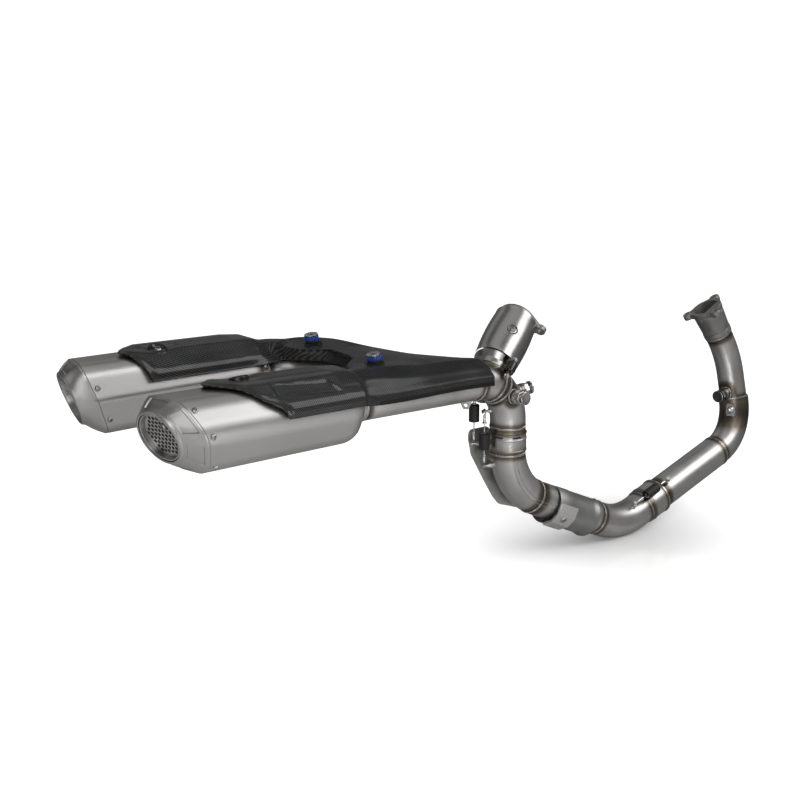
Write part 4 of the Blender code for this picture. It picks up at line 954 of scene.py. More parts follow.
class Effects:
    """Node groups that several finishes share."""

    colours = ("Base", "Colour")

    def __init__(self) -> None:
        """Build each group once."""
        self.grain = self.build("grain", ("Round", "Along"), ("Streak",), self.wire_grain)
        self.cloud = self.build("cloud", ("Scale", "Detail"), ("Cloud",), self.wire_cloud)
        self.heat = self.build("heat_tint", ("Heat", "Base"), ("Colour",), self.wire_heat)
        # Cloth pattern with painted sheen on the tow crowns.
        self.weave_and_sheen = self.build("plain_weave_and_sheen", ("Tow",), ("Shade", "Height"), self.wire_weave_and_sheen)
        # Edge mask: wear and a painted highlight on raised edges.
        self.edge = self.build("worn_edge_and_glint", ("Low", "High"), ("Edge",), self.wire_edge_wear_and_glint)

    def build(
        self, name: str, inputs: Sequence[str], outputs: Sequence[str], wire: Callable
    ) -> bpy.types.NodeTree:
        """One group with named sockets.

        Args:
            name: the group's name.
            inputs: names of its inputs.
            outputs: names of its outputs.
            wire: method that takes the graph and its inputs, and gives the outputs.

        Returns:
            The group.
        """
        tree = bpy.data.node_groups.new(name, "ShaderNodeTree")
        for sockets, way in ((inputs, "INPUT"), (outputs, "OUTPUT")):
            for key in sockets:
                kind = "NodeSocketColor" if key in self.colours else "NodeSocketFloat"
                tree.interface.new_socket(key, in_out=way, socket_type=kind)
        graph = Graph(tree)
        start = graph.add("NodeGroupInput")
        made = wire(graph, start.outputs)
        graph.add("NodeGroupOutput", dict(zip(outputs, made)))
        return tree

    @staticmethod
    def wire_grain(g: Graph, inputs: object) -> tuple[Socket, ...]:
        """Fine streaks in the length map.

        Args:
            g: the group's graph.
            inputs: the group's inputs.

        Returns:
            The streak.
        """
        around, along = g.lengths()
        u = g.math("MULTIPLY", around, inputs["Round"])
        v = g.math("MULTIPLY", along, inputs["Along"])
        place = g.add("ShaderNodeCombineXYZ", {0: u, 1: v}).outputs[0]
        noise = g.add(
            "ShaderNodeTexNoise", {"Vector": place, "Scale": 1.0, "Detail": 3.0, "Roughness": 0.65}
        )
        return (noise.outputs["Fac"],)

    @staticmethod
    def wire_cloud(g: Graph, inputs: object) -> tuple[Socket, ...]:
        """Soft blotches in the piece's own space.

        Args:
            g: the group's graph.
            inputs: the group's inputs.

        Returns:
            The blotches.
        """
        place = g.add("ShaderNodeTexCoord").outputs["Object"]
        feeds = {
            "Vector": place, "Scale": inputs["Scale"], "Detail": inputs["Detail"], "Roughness": 0.6
        }
        return (g.spread(g.add("ShaderNodeTexNoise", feeds).outputs["Fac"], 0.3, 0.7, 0.0, 1.0),)

    @staticmethod
    def wire_heat(g: Graph, inputs: object) -> tuple[Socket, ...]:
        """Straw, brown and blue by how hot the metal got.

        Args:
            g: the group's graph.
            inputs: the group's inputs.

        Returns:
            The colour.
        """
        stops = [(0.0, (0.34, 0.31, 0.28)), (0.25, (0.2, 0.165, 0.13)), (0.5, (0.085, 0.07, 0.06))]
        stops += [(0.78, (0.045, 0.042, 0.046)), (1.0, (0.1, 0.11, 0.15))]
        tint = g.ramp(inputs["Heat"], stops)
        mask = g.spread(inputs["Heat"], 0.02, 0.22, 0.0, 1.0)
        return (g.mix(mask, inputs["Base"], tint),)

    @staticmethod
    def wire_weave_and_sheen(g: Graph, inputs: object) -> tuple[Socket, ...]:
        """One-over-one cloth in the length map, with painted sheen on the tow crowns.

        Args:
            g: the group's graph.
            inputs: the group's inputs.

        Returns:
            The cloth's painted sheen and its height.
        """
        cells = [g.math("DIVIDE", length, inputs["Tow"]) for length in g.lengths()]
        whole = [g.math("FLOOR", c) for c in cells]
        bows = []
        for cell in cells:
            off = g.math("SUBTRACT", g.math("MULTIPLY", g.math("FRACT", cell), 2.0), 1.0)
            bows.append(g.math("SUBTRACT", 1.0, g.math("MULTIPLY", off, off)))
        over = g.math("FLOORED_MODULO", g.math("ADD", *whole), 2.0)
        under = g.math("SUBTRACT", 1.0, over)
        height = g.math(
            "ADD", g.math("MULTIPLY", over, bows[0]), g.math("MULTIPLY", under, bows[1])
        )
        # Painted sheen: the crowns of the upper tows are lightened.
        peak = g.math("POWER", g.math("MULTIPLY", *bows), 1.5)
        shade = g.math("MULTIPLY", g.math("ADD", g.math("MULTIPLY", over, 0.92), 0.08), peak)
        return shade, height

    @staticmethod
    def wire_edge_wear_and_glint(g: Graph, inputs: object) -> tuple[Socket, ...]:
        """Raised edges, where handling wears the surface; the mask also paints a highlight on them.

        Args:
            g: the group's graph.
            inputs: the group's inputs.

        Returns:
            The edge mask.
        """
        bend = g.add("ShaderNodeNewGeometry").outputs["Pointiness"]
        feeds = {"Value": bend, "From Min": inputs["Low"], "From Max": inputs["High"]}
        return (g.add("ShaderNodeMapRange", feeds).outputs[0],)


EFFECTS = Effects()


def fresh_material(name: str) -> tuple[bpy.types.Material, Graph]:
    """An empty material and its graph.

    Args:
        name: the material's name.

    Returns:
        The material, and its node tree to wire.
    """
    made = bpy.data.materials.new(name)
    made.use_nodes = True
    return made, Graph(made.node_tree)


def tone(colour: Colour, scale: float = 1.0) -> tuple[float, ...]:
    """A colour made lighter or darker, for a socket."""
    return (*[min(1.0, c * scale) for c in colour], 1.0)


@dataclass(frozen=True)
class Finish:
    """What every finish has: the name of its material and a slot name."""

    label: str
    slot: str

    def material(self) -> bpy.types.Material:
        """The finish as a material, built on first use.

        Returns:
            The material.
        """
        found = bpy.data.materials.get(self.label)
        if found:
            return found
        made, g = fresh_material(self.label)
        g.surface(self.wire(g))
        return made

    def wire(self, g: Graph) -> dict:
        """What feeds the shader, by the names of its inputs."""
        raise NotImplementedError


@dataclass(frozen=True)
class Metal(Finish):
    """A metal finish: grain, blotches, heat tint, and edges lightened partly for wear, partly as a
    painted highlight.
    """

    colour: Colour
    rough: Pair
    grain: tuple[float, float, float]
    blotch: Pair
    edge: float
    heated: bool = False
    # Edge colour: wear plus a painted highlight.
    rubbed_and_glint: Colour = (0.75, 0.73, 0.7)

    def wire(self, g: Graph) -> dict:
        """Wire the finish.

        Args:
            g: the material's graph.

        Returns:
            What feeds the shader, by the names of its inputs.
        """
        around, along, strength = self.grain
        scale, uneven = self.blotch
        streak = g.group(EFFECTS.grain, Round=around, Along=along).outputs["Streak"]
        cloud = g.group(EFFECTS.cloud, Scale=scale, Detail=4.0).outputs["Cloud"]
        colour = g.mix(cloud, tone(self.colour, 1 - uneven), tone(self.colour, 1 + uneven))
        fleck = g.spread(streak, 0.25, 0.75, 0.9, 1.1)
        colour = g.mix(1.0, colour, g.grey(fleck), "MULTIPLY")
        both = g.math("ADD", g.math("MULTIPLY", streak, 0.5), g.math("MULTIPLY", cloud, 0.5))
        rough = g.spread(both, 0.2, 0.8, *self.rough)
        if self.heated:
            heat = g.add("ShaderNodeAttribute", attribute_name=HEAT).outputs["Fac"]
            heat = g.math("MULTIPLY", heat, g.spread(cloud, 0.0, 1.0, 0.75, 1.15))
            colour = g.group(EFFECTS.heat, Heat=heat, Base=colour).outputs["Colour"]
        # Lighter edges: partly wear, partly a painted highlight.
        edge = g.group(EFFECTS.edge, Low=0.53, High=0.62).outputs["Edge"]
        colour = g.mix(g.math("MULTIPLY", edge, self.edge), colour, tone(self.rubbed_and_glint))
        normal = g.bump(strength, 0.0004, streak)
        return {"Base Color": colour, "Roughness": rough, "Metallic": 1.0, "Normal": normal}


@dataclass(frozen=True)
class Coarse(Finish):
    """A grainy finish: cast metal, rubber, wool or moulded plastic."""

    colour: Colour
    rough: Pair
    scale: float
    bump: float
    metallic: float
    # Edge colour: wear plus a painted highlight.
    worn_and_glint: Colour
    edge: float

    def wire(self, g: Graph) -> dict:
        """Wire the finish.

        Args:
            g: the material's graph.

        Returns:
            What feeds the shader, by the names of its inputs.
        """
        grit = g.group(EFFECTS.cloud, Scale=self.scale, Detail=5.0).outputs["Cloud"]
        patch = g.group(EFFECTS.cloud, Scale=self.scale / 25, Detail=3.0).outputs["Cloud"]
        both = g.math("ADD", g.math("MULTIPLY", grit, 0.5), g.math("MULTIPLY", patch, 0.5))
        colour = g.mix(both, tone(self.colour, 0.72), tone(self.colour, 1.3))
        # Lighter edges: partly wear, partly a painted highlight.
        edge = g.group(EFFECTS.edge, Low=0.53, High=0.63).outputs["Edge"]
        colour = g.mix(g.math("MULTIPLY", edge, self.edge), colour, tone(self.worn_and_glint))
        rough = g.spread(both, 0.0, 1.0, *self.rough)
        normal = g.bump(self.bump, 0.0005, grit)
        return {
            "Base Color": colour, "Roughness": rough, "Metallic": self.metallic, "Normal": normal
        }


@dataclass(frozen=True)
class Carbon(Finish):
    """Lacquered carbon cloth, with the cloth's sheen painted into its colour."""

    tow: float = 0.0017
    # Colour of the tow crowns: painted sheen.
    light: Colour = (0.145, 0.147, 0.151)
    dark: Colour = (0.001, 0.001, 0.0012)
    lacquer: float = 0.075
    sheen: float = 0.14
    coat: Pair = (0.42, 0.52)

    def wire(self, g: Graph) -> dict:
        """Wire the finish.

        Args:
            g: the material's graph.

        Returns:
            What feeds the shader, by the names of its inputs.
        """
        cloth = g.group(EFFECTS.weave_and_sheen, Tow=self.tow)
        height = cloth.outputs["Height"]
        cloud = g.group(EFFECTS.cloud, Scale=22.0, Detail=3.0).outputs["Cloud"]
        # Painted sheen on the tows, varied at random.
        glint = g.math("MULTIPLY", cloth.outputs["Shade"], g.spread(cloud, 0.0, 1.0, 0.7, 1.0))
        return {
            "Base Color": g.mix(glint, tone(self.dark), tone(self.light)),
            "Roughness": g.spread(height, 0.0, 1.0, 0.5, 0.3),
            "Normal": g.bump(0.35, 0.0004, height),
            "Coat Weight": g.spread(cloud, 0.0, 1.0, *self.coat),
            "Coat Roughness": self.lacquer,
            "Specular IOR Level": self.sheen,
        }


SATIN = Metal(
    "satin_titanium", "titanium", (0.45, 0.443, 0.434), (0.34, 0.43), (260.0, 6000.0, 0.05),
    (9.0, 0.05), 0.25,
)
TUBING = Metal(
    "tube_titanium", "titanium", (0.54, 0.528, 0.514), (0.33, 0.43), (5000.0, 160.0, 0.05),
    (16.0, 0.11), 0.15, heated=True,
)
WELD = Metal(
    "weld_metal", "titanium", (0.36, 0.35, 0.335), (0.24, 0.36), (900.0, 900.0, 0.05), (90.0, 0.35),
    0.45,
)
BRIGHT = Metal(
    "bright_steel", "steel", (0.42, 0.41, 0.4), (0.22, 0.34), (3000.0, 500.0, 0.04), (60.0, 0.15),
    0.4,
)
WIRE = Metal(
    "spring_wire", "steel", (0.46, 0.45, 0.44), (0.16, 0.28), (2500.0, 400.0, 0.04), (120.0, 0.25),
    0.2,
)
MESHED = Metal(
    "screen_steel", "screen", (0.52, 0.51, 0.5), (0.26, 0.38), (4000.0, 4000.0, 0.05), (60.0, 0.2),
    0.4,
)
POLISHED = Metal(
    "polished_sheet", "polished", (0.4, 0.395, 0.385), (0.25, 0.31), (160.0, 7000.0, 0.04),
    (9.0, 0.05), 0.3,
)
MATTE = Metal(
    "matte_guard", "guard", (0.5, 0.5, 0.495), (0.4, 0.52), (1500.0, 1500.0, 0.06), (30.0, 0.1), 0.5
)
# Lit and shaded copies of the guard metal: the darker one on the elbow sheet is painted shade, the
# lighter one on its foot painted light.
SHADED = replace(MATTE, label="shaded_elbow_sheet", colour=(0.35, 0.35, 0.345))
LIT_MATTE = replace(MATTE, label="lit_pale_sheet", colour=(0.7, 0.695, 0.685), rough=(0.42, 0.52))
CHROME = Metal(
    "chrome_steel", "steel", (0.66, 0.65, 0.64), (0.1, 0.18), (3000.0, 500.0, 0.03), (60.0, 0.12),
    0.3,
)
DARK = Metal(
    "dark_steel", "steel", (0.1, 0.1, 0.105), (0.16, 0.3), (3000.0, 500.0, 0.04), (60.0, 0.2), 0.8
)
CAST = Coarse(
    "cast_neck", "cast", (0.27, 0.266, 0.26), (0.36, 0.5), 900.0, 0.25, 0.85, (0.5, 0.49, 0.48), 0.6
)
RUBBER = Coarse(
    "black_rubber", "rubber", (0.012, 0.012, 0.012), (0.5, 0.68), 1500.0, 0.15, 0.0,
    (0.05, 0.05, 0.05), 0.3,
)
GLOSS_RUBBER = Coarse(
    "glossy_rubber", "rubber", (0.01, 0.01, 0.01), (0.16, 0.26), 700.0, 0.03, 0.0,
    (0.03, 0.03, 0.03), 0.2,
)
BUSHING = Coarse(
    "blue_bush", "bush", (0.012, 0.075, 0.42), (0.28, 0.42), 1200.0, 0.05, 0.0, (0.1, 0.25, 0.7),
    0.4,
)
WOOL = Coarse(
    "packing_wool", "wool", (0.4, 0.38, 0.32), (0.85, 0.98), 600.0, 0.6, 0.0, (0.5, 0.48, 0.42), 0.2
)
CLOTH = Carbon("carbon_cloth", "carbon")
SOFT = Carbon("carbon_nose", "carbon", light=(0.12, 0.122, 0.126), lacquer=0.24, coat=(0.24, 0.32))
# Near-black carbon with almost no cloth pattern: on the body's turned-down lower rim it is painted
# shade; it also dresses the hanger pads.
PLAIN = Carbon("carbon_edge", "carbon", 0.0022, (0.004, 0.004, 0.0045), (0.002, 0.002, 0.002), 0.09)


# Pieces
@dataclass
class Weld:
    """A ring weld: its place on a pipe, and how far it has tinted the metal."""

    centre: Vector
    axis: Vector
    radius: float
    spread: float = 0.0068
    strength: float = 0.56

    def bead(self) -> Mesh:
        """The weld's own metal."""
        return bead(self.centre, self.axis, self.radius)

    def heat_at(self, point: Vector) -> float:
        """Tint of a point, from 0 to 1.

        Args:
            point: the point.

        Returns:
            The tint.
        """
        off = point - self.centre
        along = off.dot(self.axis)
        apart = hypot(along, (off - self.axis * along).length - self.radius)
        return self.strength * exp(-((apart / self.spread) ** 2))


def heated(mesh: Mesh, welds: Sequence[Weld]) -> Mesh:
    """The mesh with each point's heat tint from the welds near it.

    Args:
        mesh: the mesh to tint.
        welds: the welds.

    Returns:
        The same mesh.
    """
    layer = mesh.attributes.get(HEAT) or mesh.attributes.new(HEAT, "FLOAT", "POINT")
    values = [max([w.heat_at(v.co) for w in welds], default=0.0) for v in mesh.vertices]
    layer.data.foreach_set("value", values)
    return mesh


def dressed(name: str, mesh: Mesh, finish: Finish, crease: float = 36.0) -> Object:
    """A new object with its finish and smooth shading.

    Args:
        name: the piece's name.
        mesh: its mesh.
        finish: its finish.
        crease: angle in degrees past which an edge stays sharp.

    Returns:
        The object, in no body yet.
    """
    mesh.materials.clear()
    mesh.materials.append(finish.material())
    mesh.shade_smooth()
    mesh.set_sharp_from_angle(angle=radians(crease))
    mesh.name = name
    obj = placed(name, mesh)
    return obj


def piece(
    name: str, mesh: Mesh, finish: Finish, body: Body, *nodes: str, crease: float = 36.0
) -> Object:
    """A piece that rides on one body.

    Args:
        name: the piece's name.
        mesh: its mesh.
        finish: its finish.
        body: the body it moves with.
        *nodes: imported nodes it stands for.
        crease: angle in degrees past which an edge stays sharp.

    Returns:
        The object.
    """
    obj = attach(dressed(name, mesh, finish, crease), body.value)
    if nodes:
        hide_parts(*nodes)
    LOG.info("%s on %s: %d faces", name, body.value, len(mesh.polygons))
    return obj


@dataclass
class Muffler:
    """One muffler: sleeve, end cap, outlet and screen."""

    side: Side
    front_round: float = 0.03
    front_inset: float = 0.02
    wall: float = 0.0015
    yaw: float = radians(12.2)
    pitch: float = radians(20.7)
    corners: tuple = (
        (-0.034, 0.053, 0.026), (0.031, 0.053, 0.034), (0.061, 0.008, 0.036),
        (0.031, -0.053, 0.034), (-0.031, -0.053, 0.026), (-0.051, 0.004, 0.01),
    )
    windows: tuple = (90, 33, -26, -90)
    window_half: float = 18.5
    window_depth: float = 0.0021
    crown: float = 0.0012
    window_ends: Pair = (0.155, 0.845)
    cap_depth: float = 0.0317
    band: float = 0.0035
    outlet_r: float = 0.0375
    lip_deep: float = 0.004
    lip_wide: float = 0.0035
    tube_r: float = 0.0353
    tube_wall: float = 0.002
    tube_length: float = 0.024
    screen_r: float = 0.0326
    screen_at: float = 0.0093
    screen_thick: float = 0.0008
    hole_pitch: float = 0.007
    hole_r: float = 0.00265
    hole_rings: int = 4
    rim_screws: tuple = (
        (0.036, 0.038), (0.055, 0.005), (0.033, -0.039), (-0.044, 0.02), (-0.04, -0.025)
    )
    insert_bolt: Pair = (0.0105, 0.015)
    screw_r: float = 0.0044
    skirt: float = 0.01
    outline: list = field(default_factory=list)

    def __post_init__(self) -> None:
        """Sample the section at angles that fit the cap's windows."""
        fine = fillet(self.corners, 0.0, 14)
        angles = []
        half = self.window_half
        for here, after in zip(self.windows, self.windows[1:] + self.windows[:1]):
            after = after if after < here else after - 360
            inner = spaced(half - 2.2, 2.2 - half, 11)
            steps = [
                half + 2.4, half + 0.9, half - 0.7, *inner, 0.7 - half, -half - 0.9, -half - 2.4
            ]
            angles += [here + s for s in steps]
            low, high = here - half - 2.4, after + half + 2.4
            count = max(6, ceil((low - high) / 4))
            angles += spaced(low, high, count + 1)[1:-1]
        for angle in angles:
            ray = Vector(polar(1.0, radians(angle)))
            self.outline.append((ray * self.reach(ray, fine), angle))

    @staticmethod
    def reach(ray: Vector, outline: Sequence[Pair]) -> float:
        """How far from the middle a ray meets the outline.

        Args:
            ray: unit vector from the middle.
            outline: the closed outline.

        Returns:
            The distance.
        """
        for a, b in zip(outline, outline[1:] + outline[:1]):
            side = (b[0] - a[0], b[1] - a[1])
            under = ray.x * side[1] - ray.y * side[0]
            if abs(under) < 1e-12:
                continue
            far = (a[0] * side[1] - a[1] * side[0]) / under
            share = (a[0] * ray.y - a[1] * ray.x) / under
            if far > 0 and -1e-9 <= share <= 1 + 1e-9:
                return far
        return 0.05

    def slash(self, outward: float, up: float) -> float:
        """Forward shift of the slash-cut plane at a point of the section."""
        return tan(self.yaw) * outward - tan(self.pitch) / cos(self.yaw) * up

    def ring(
        self, x: float, inset: float = 0.0, slashed: bool = False, least: float = 0.0
    ) -> list[Vector]:
        """Ring of the section.

        Args:
            x: its place along the muffler.
            inset: how far it is moved in.
            slashed: whether it lies in the slash-cut plane.
            least: smallest radius.

        Returns:
            The ring's points.
        """
        along = (x - RIM_X) / (FRONT_X - RIM_X)
        scale = 1 + (FRONT_SCALE - 1) * along - inset / self.corners[0][1]
        points = [p * max(scale, least / p.length) for p, _ in self.outline]
        return [self.spot(x, p, slashed) for p in points]

    def spot(self, x: float, at: Vector, slashed: bool) -> Vector:
        """Place of a point of the section."""
        shift = self.slash(*at) if slashed else 0.0
        return Vector((x + shift, -MUFFLER_Y - at.x, MUFFLER_Z + at.y))

    def outlet_frame(self, depth: float) -> Matrix:
        """Frame of the outlet: Z out of it, X to the bike's right, Y up.

        Args:
            depth: how far below the outlet's edge.

        Returns:
            The frame.
        """
        flat = cos(self.pitch)
        axis = -Vector((cos(self.yaw) * flat, sin(self.yaw) * flat, sin(self.pitch)))
        x = (axis * axis.y - Y_AXIS).normalized()
        made = Matrix((x, axis.cross(x), axis)).transposed().to_4x4()
        made.translation = Vector((RIM_X - self.cap_depth, -MUFFLER_Y, MUFFLER_Z)) - axis * depth
        return made

    def outlet_ring(self, depth: float, radius: float) -> list[Vector]:
        """Circle about the outlet's axis with a point for each of the section's."""
        place = self.outlet_frame(depth)
        return [place @ (p.normalized() * radius).to_3d() for p, _ in self.outline]

    def sleeve(self) -> Mesh:
        """Sheet sleeve with a pressed front edge and an inlet collar.

        Returns:
            The mesh.
        """
        start = FRONT_X - self.front_round
        hole = PIPE_R + 2 * GAP
        rim = self.ring(RIM_X + 0.0007, 0.0, True)
        front = self.ring(start)
        outside = [self.ring(RIM_X, 0.0006, True)]
        outside += [[a.lerp(b, i / 9) for a, b in zip(rim, front)] for i in range(10)]
        inside = [self.ring(RIM_X, self.wall, True), self.ring(start, self.wall)]
        least = hole + self.wall
        for angle in range(10, 91, 10):
            turn = radians(angle)
            inset = self.front_inset * (1 - cos(turn))
            outside.append(self.ring(start + self.front_round * sin(turn), inset, least=least))
            if angle % 30 == 0:
                x = start + (self.front_round - self.wall) * sin(turn)
                inside.append(self.ring(x, inset + self.wall, least=least))
        for rows, x in ((outside, FRONT_X), (inside, FRONT_X - self.wall)):
            rows.append([self.spot(x, p.normalized() * hole, False) for p, _ in self.outline])
        return loft(outside + inside[::-1], wrap=True)

    @staticmethod
    def flat(at: Vector) -> Vector:
        """Section point as a step in space."""
        return Vector((0.0, -at.x, at.y))

    def sunk(self, share: float, angle: float) -> float:
        """How far a point of the cap is pressed in, from 0 to 1.

        Args:
            share: place from the rim to the lip.
            angle: place round the cap, in degrees.

        Returns:
            The share of the full depth.
        """
        first, last = self.window_ends
        ends = min((share - first) / 0.025, (last - share) / 0.025) + 0.5
        gap = min(abs((angle - c + 180) % 360 - 180) for c in self.windows)
        sides = (self.window_half - gap) / 1.6 + 0.5
        return clamp(ends) * clamp(sides)

    def pressed(self, point: Vector, depth: float) -> Vector:
        """Point of the cap moved in, towards the middle and away from the outlet.

        Args:
            point: the point on the cap's cone.
            depth: how far it moves.

        Returns:
            The moved point.
        """
        inward = -(self.outlet_frame(0.0).to_3x3() @ Z_AXIS)
        middle = Vector((point.x, -MUFFLER_Y, MUFFLER_Z))
        return point + ((middle - point).normalized() + inward).normalized() * depth

    def cap(self) -> Mesh:
        """End cap with pressed windows and a rolled lip.

        Returns:
            The mesh.
        """
        inner = self.wall + 2 * GAP
        rim = self.ring(RIM_X - self.band, 0.0, True)
        lip = self.outlet_ring(self.lip_deep, self.outlet_r + self.lip_wide)
        rings = [self.ring(RIM_X + self.skirt, inner, True), self.ring(RIM_X - GAP, inner, True)]
        rings += [self.ring(RIM_X - GAP, 0.0007, True), self.ring(RIM_X - 0.001, 0.0, True)]
        shares = [0.0, 0.05, 0.1, 0.135, 0.148, 0.162, 0.18, 0.22, 0.3, 0.4, 0.5, 0.6, 0.7]
        shares += [0.78, 0.82, 0.838, 0.852, 0.866, 0.9, 0.95]
        for share in shares:
            ring = []
            for (a, b), (_, angle) in zip(zip(rim, lip), self.outline):
                point = a.lerp(b, share)
                crown = self.crown * sin(pi * share)
                ring.append(
                    self.pressed(point, self.window_depth * self.sunk(share, angle) - crown)
                )
            rings.append(ring)
        for angle in (0, 22, 45, 68, 90):
            out, up = polar(1.0, radians(angle))
            rings.append(
                self.outlet_ring(self.lip_deep * (1 - up), self.outlet_r + self.lip_wide * out)
            )
        bore = self.outlet_r - self.wall
        rings += [self.outlet_ring(0.0004, bore + 0.0003), self.outlet_ring(0.006, bore)]
        deep = self.window_depth + self.wall + 0.001
        for share in (0.85, 0.2):
            rings.append([self.pressed(a.lerp(b, share), deep) for a, b in zip(rim, lip)])
        rings.append(self.ring(RIM_X + self.skirt, inner + self.wall, True))
        return loft(rings, wrap=True)

    def screen(self) -> Mesh:
        """Perforated disc in the outlet.

        Returns:
            The mesh.
        """
        holes = []
        for row in range(-self.hole_rings, self.hole_rings + 1):
            count = 2 * self.hole_rings + 1 - abs(row)
            for column in range(count):
                x = (column - (count - 1) / 2) * self.hole_pitch
                holes.append(circle(self.hole_r, 16, (x, row * self.hole_pitch * sqrt(3) / 2)))
        loops = [circle(self.screen_r, 64), *holes]
        return plate(loops, self.screen_thick, self.outlet_frame(self.screen_at), 0.00022)

    def build(self) -> None:
        """Make and dress every piece of this muffler."""
        word = self.side.word
        frame_at = self.outlet_frame(self.screen_at - self.screen_thick)
        bolt = frame_at @ Matrix.Translation((*self.insert_bolt, 0.0))
        radii, heights = (self.tube_r, self.tube_r - self.tube_wall), (0.0, -self.tube_length)
        ring = band(radii, heights, 0.0007, self.outlet_frame(0.0015), 72)
        for name, mesh, finish, node, crease in (
            ("sleeve", self.sleeve(), SATIN, "muffler_sleeve", 36.0),
            ("cap", self.cap(), SATIN, "end_cap", 24.0),
            ("outlet_ring", ring, MESHED, "outlet_tube", 36.0),
            ("screen", self.screen(), MESHED, "outlet_screen", 36.0),
            ("insert_bolt", socket_screw(bolt, 0.0046, 0.004), BRIGHT, "", 36.0),
            ("rim_screws", self.screws(), BRIGHT, "", 36.0),
        ):
            nodes = [f"{word}_{node}"] if node else []
            piece(
                f"{word}_{name}", mirrored(mesh, self.side), finish, Body.TAIL, *nodes,
                crease=crease,
            )
        for node, finish in ((f"{word}_core_tube", MESHED), (f"{word}_packing", WOOL)):
            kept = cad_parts[node].data.materials
            kept.clear()
            kept.append(finish.material())
            LOG.info("%s kept, with finish %s", node, finish.label)

    def screws(self) -> Mesh:
        """Button-head screws round the rim, each on the sleeve's surface.

        Returns:
            The mesh.
        """
        points = [p for p, _ in self.outline]
        made = []
        for spot in self.rim_screws:
            way = Vector(spot).normalized()
            i = max(range(len(points)), key=lambda k: points[k].normalized().dot(way))
            along = (points[i - 1] - points[(i + 1) % len(points)]).normalized()
            out = Vector((-along.y, along.x))
            out = out if out.dot(way) > 0 else -out
            seat = self.spot(RIM_X + 0.008, points[i] * 0.9985, True)
            made.append(socket_screw(aim(seat, self.flat(out)), self.screw_r, 0.0024))
        return together(made)


@dataclass
class LinkPipe:
    """Y pipe from the collector to both mufflers."""

    collar_wide: float = 0.009
    collar_tall: float = 0.0011
    tab_at: tuple = (0.158, -0.0905, -0.0875)

    def build(self) -> None:
        """Make and dress the pipe, its inlet collars and welds."""
        right = trim(RUN, LINK_WELD, LINK_AXIS)
        left = [right[0], *LEFT_RUN[1:]]
        inner = PIPE_R - PIPE_WALL
        welds = [Weld(LINK_WELD, LINK_AXIS, PIPE_R)]
        for side in Side:
            spot = Vector((FRONT_X + 0.012, side.value * MUFFLER_Y, MUFFLER_Z))
            welds.append(Weld(spot, X_AXIS, PIPE_R, 0.009))
        solids = [sweep(right, PIPE_R), sweep(left, PIPE_R)]
        bores = [sweep(longer(p, 0.01, 0.01), inner, 32) for p in (right, left)]
        mesh = heated(carved(solids, bores), welds)
        piece("link_tube", mesh, TUBING, Body.TAIL, "link_pipe")
        rings = []
        for side in Side:
            place = aim((FRONT_X + 0.0004, side.value * MUFFLER_Y, MUFFLER_Z), X_AXIS)
            radii = (PIPE_R - 0.0004, PIPE_R + self.collar_tall)
            rings.append(band(radii, (0.0, self.collar_wide), 0.0005, place, 56))
        piece("link_inlet_collars", together(rings), BRIGHT, Body.TAIL)
        piece("link_welds", together([w.bead() for w in welds]), WELD, Body.TAIL)
        piece("link_tab", tab(Vector(self.tab_at), -Z_AXIS, 0.4, 0.016), TUBING, Body.TAIL)


@dataclass
class OxygenPlug:
    """Hexagon plug in a welded boss."""

    origin: Vector
    axis: Vector
    radius: float
    boss_r: float = 0.0105
    boss_up: float = 0.009
    bore_r: float = 0.006

    def boss(self) -> Mesh:
        """Round boss that the plug screws into.

        Returns:
            The mesh.
        """
        top = self.radius + self.boss_up
        profile = [(0.0, 0.01), (self.boss_r, 0.01), (self.boss_r, top), (self.bore_r, top)]
        profile += [(self.bore_r, top - 0.004), (0.0, top - 0.004)]
        return lathe(fillet(profile, 0.0008, closed=False), aim(self.origin, self.axis), 32)

    def plug(self) -> Mesh:
        """Flanged hexagon, neck and flared disc.

        Returns:
            The mesh.
        """
        place = aim(self.origin, self.axis)
        face = self.radius + self.boss_up + GAP
        flange = [(0.0, face - 0.003), (0.0056, face - 0.003), (0.0056, face), (0.0105, face)]
        flange += [(0.0105, face + 0.0025), (0.0, face + 0.0025)]
        meshes = [lathe(fillet(flange, 0.0006, closed=False), place, 36)]
        levels = ((0.9, 0.0022), (1.0, 0.003), (1.0, 0.0088), (0.9, 0.0096))
        rings = [
            [place @ Vector((x * s, y * s, face + z)) for x, y in hexagon(0.0101)]
            for s, z in levels
        ]
        meshes.append(loft(rings, caps=True))
        z = face + 0.009
        stalk = [
            (0.0, z), (0.0052, z), (0.0054, z + 0.0042), (0.0096, z + 0.006), (0.01, z + 0.0066)
        ]
        stalk += [(0.01, z + 0.0082), (0.0094, z + 0.0086), (0.006, z + 0.008), (0.0, z + 0.0076)]
        meshes.append(lathe(stalk, place, 36))
        return together(meshes)

    def bead(self) -> Mesh:
        """Weld round the boss."""
        spot = self.origin + self.axis * (self.radius + 0.0012)
        return bead(spot, self.axis, 0.0108, 0.0016, 0.0008)

    def tint(self, spread: float, strength: float) -> Weld:
        """Heat of that weld in the pipe."""
        return Weld(self.origin + self.axis * self.radius, self.axis, 0.012, spread, strength)


@dataclass
class SpringLine:
    """Where one spring runs and what it joins."""

    name: str
    hooks: tuple[Vector, Vector]
    out: Vector
    reach: float
    coil: tuple[float, float, int]
    rubber: Pair
    bodies: tuple[Body, Body]

    def foot(self, end: int, start: float = 0.014) -> Mesh:
        """Post for one end of the spring, from start off the pipe's axis."""
        return post(self.hooks[end] - self.out * (self.reach - start), self.hooks[end])


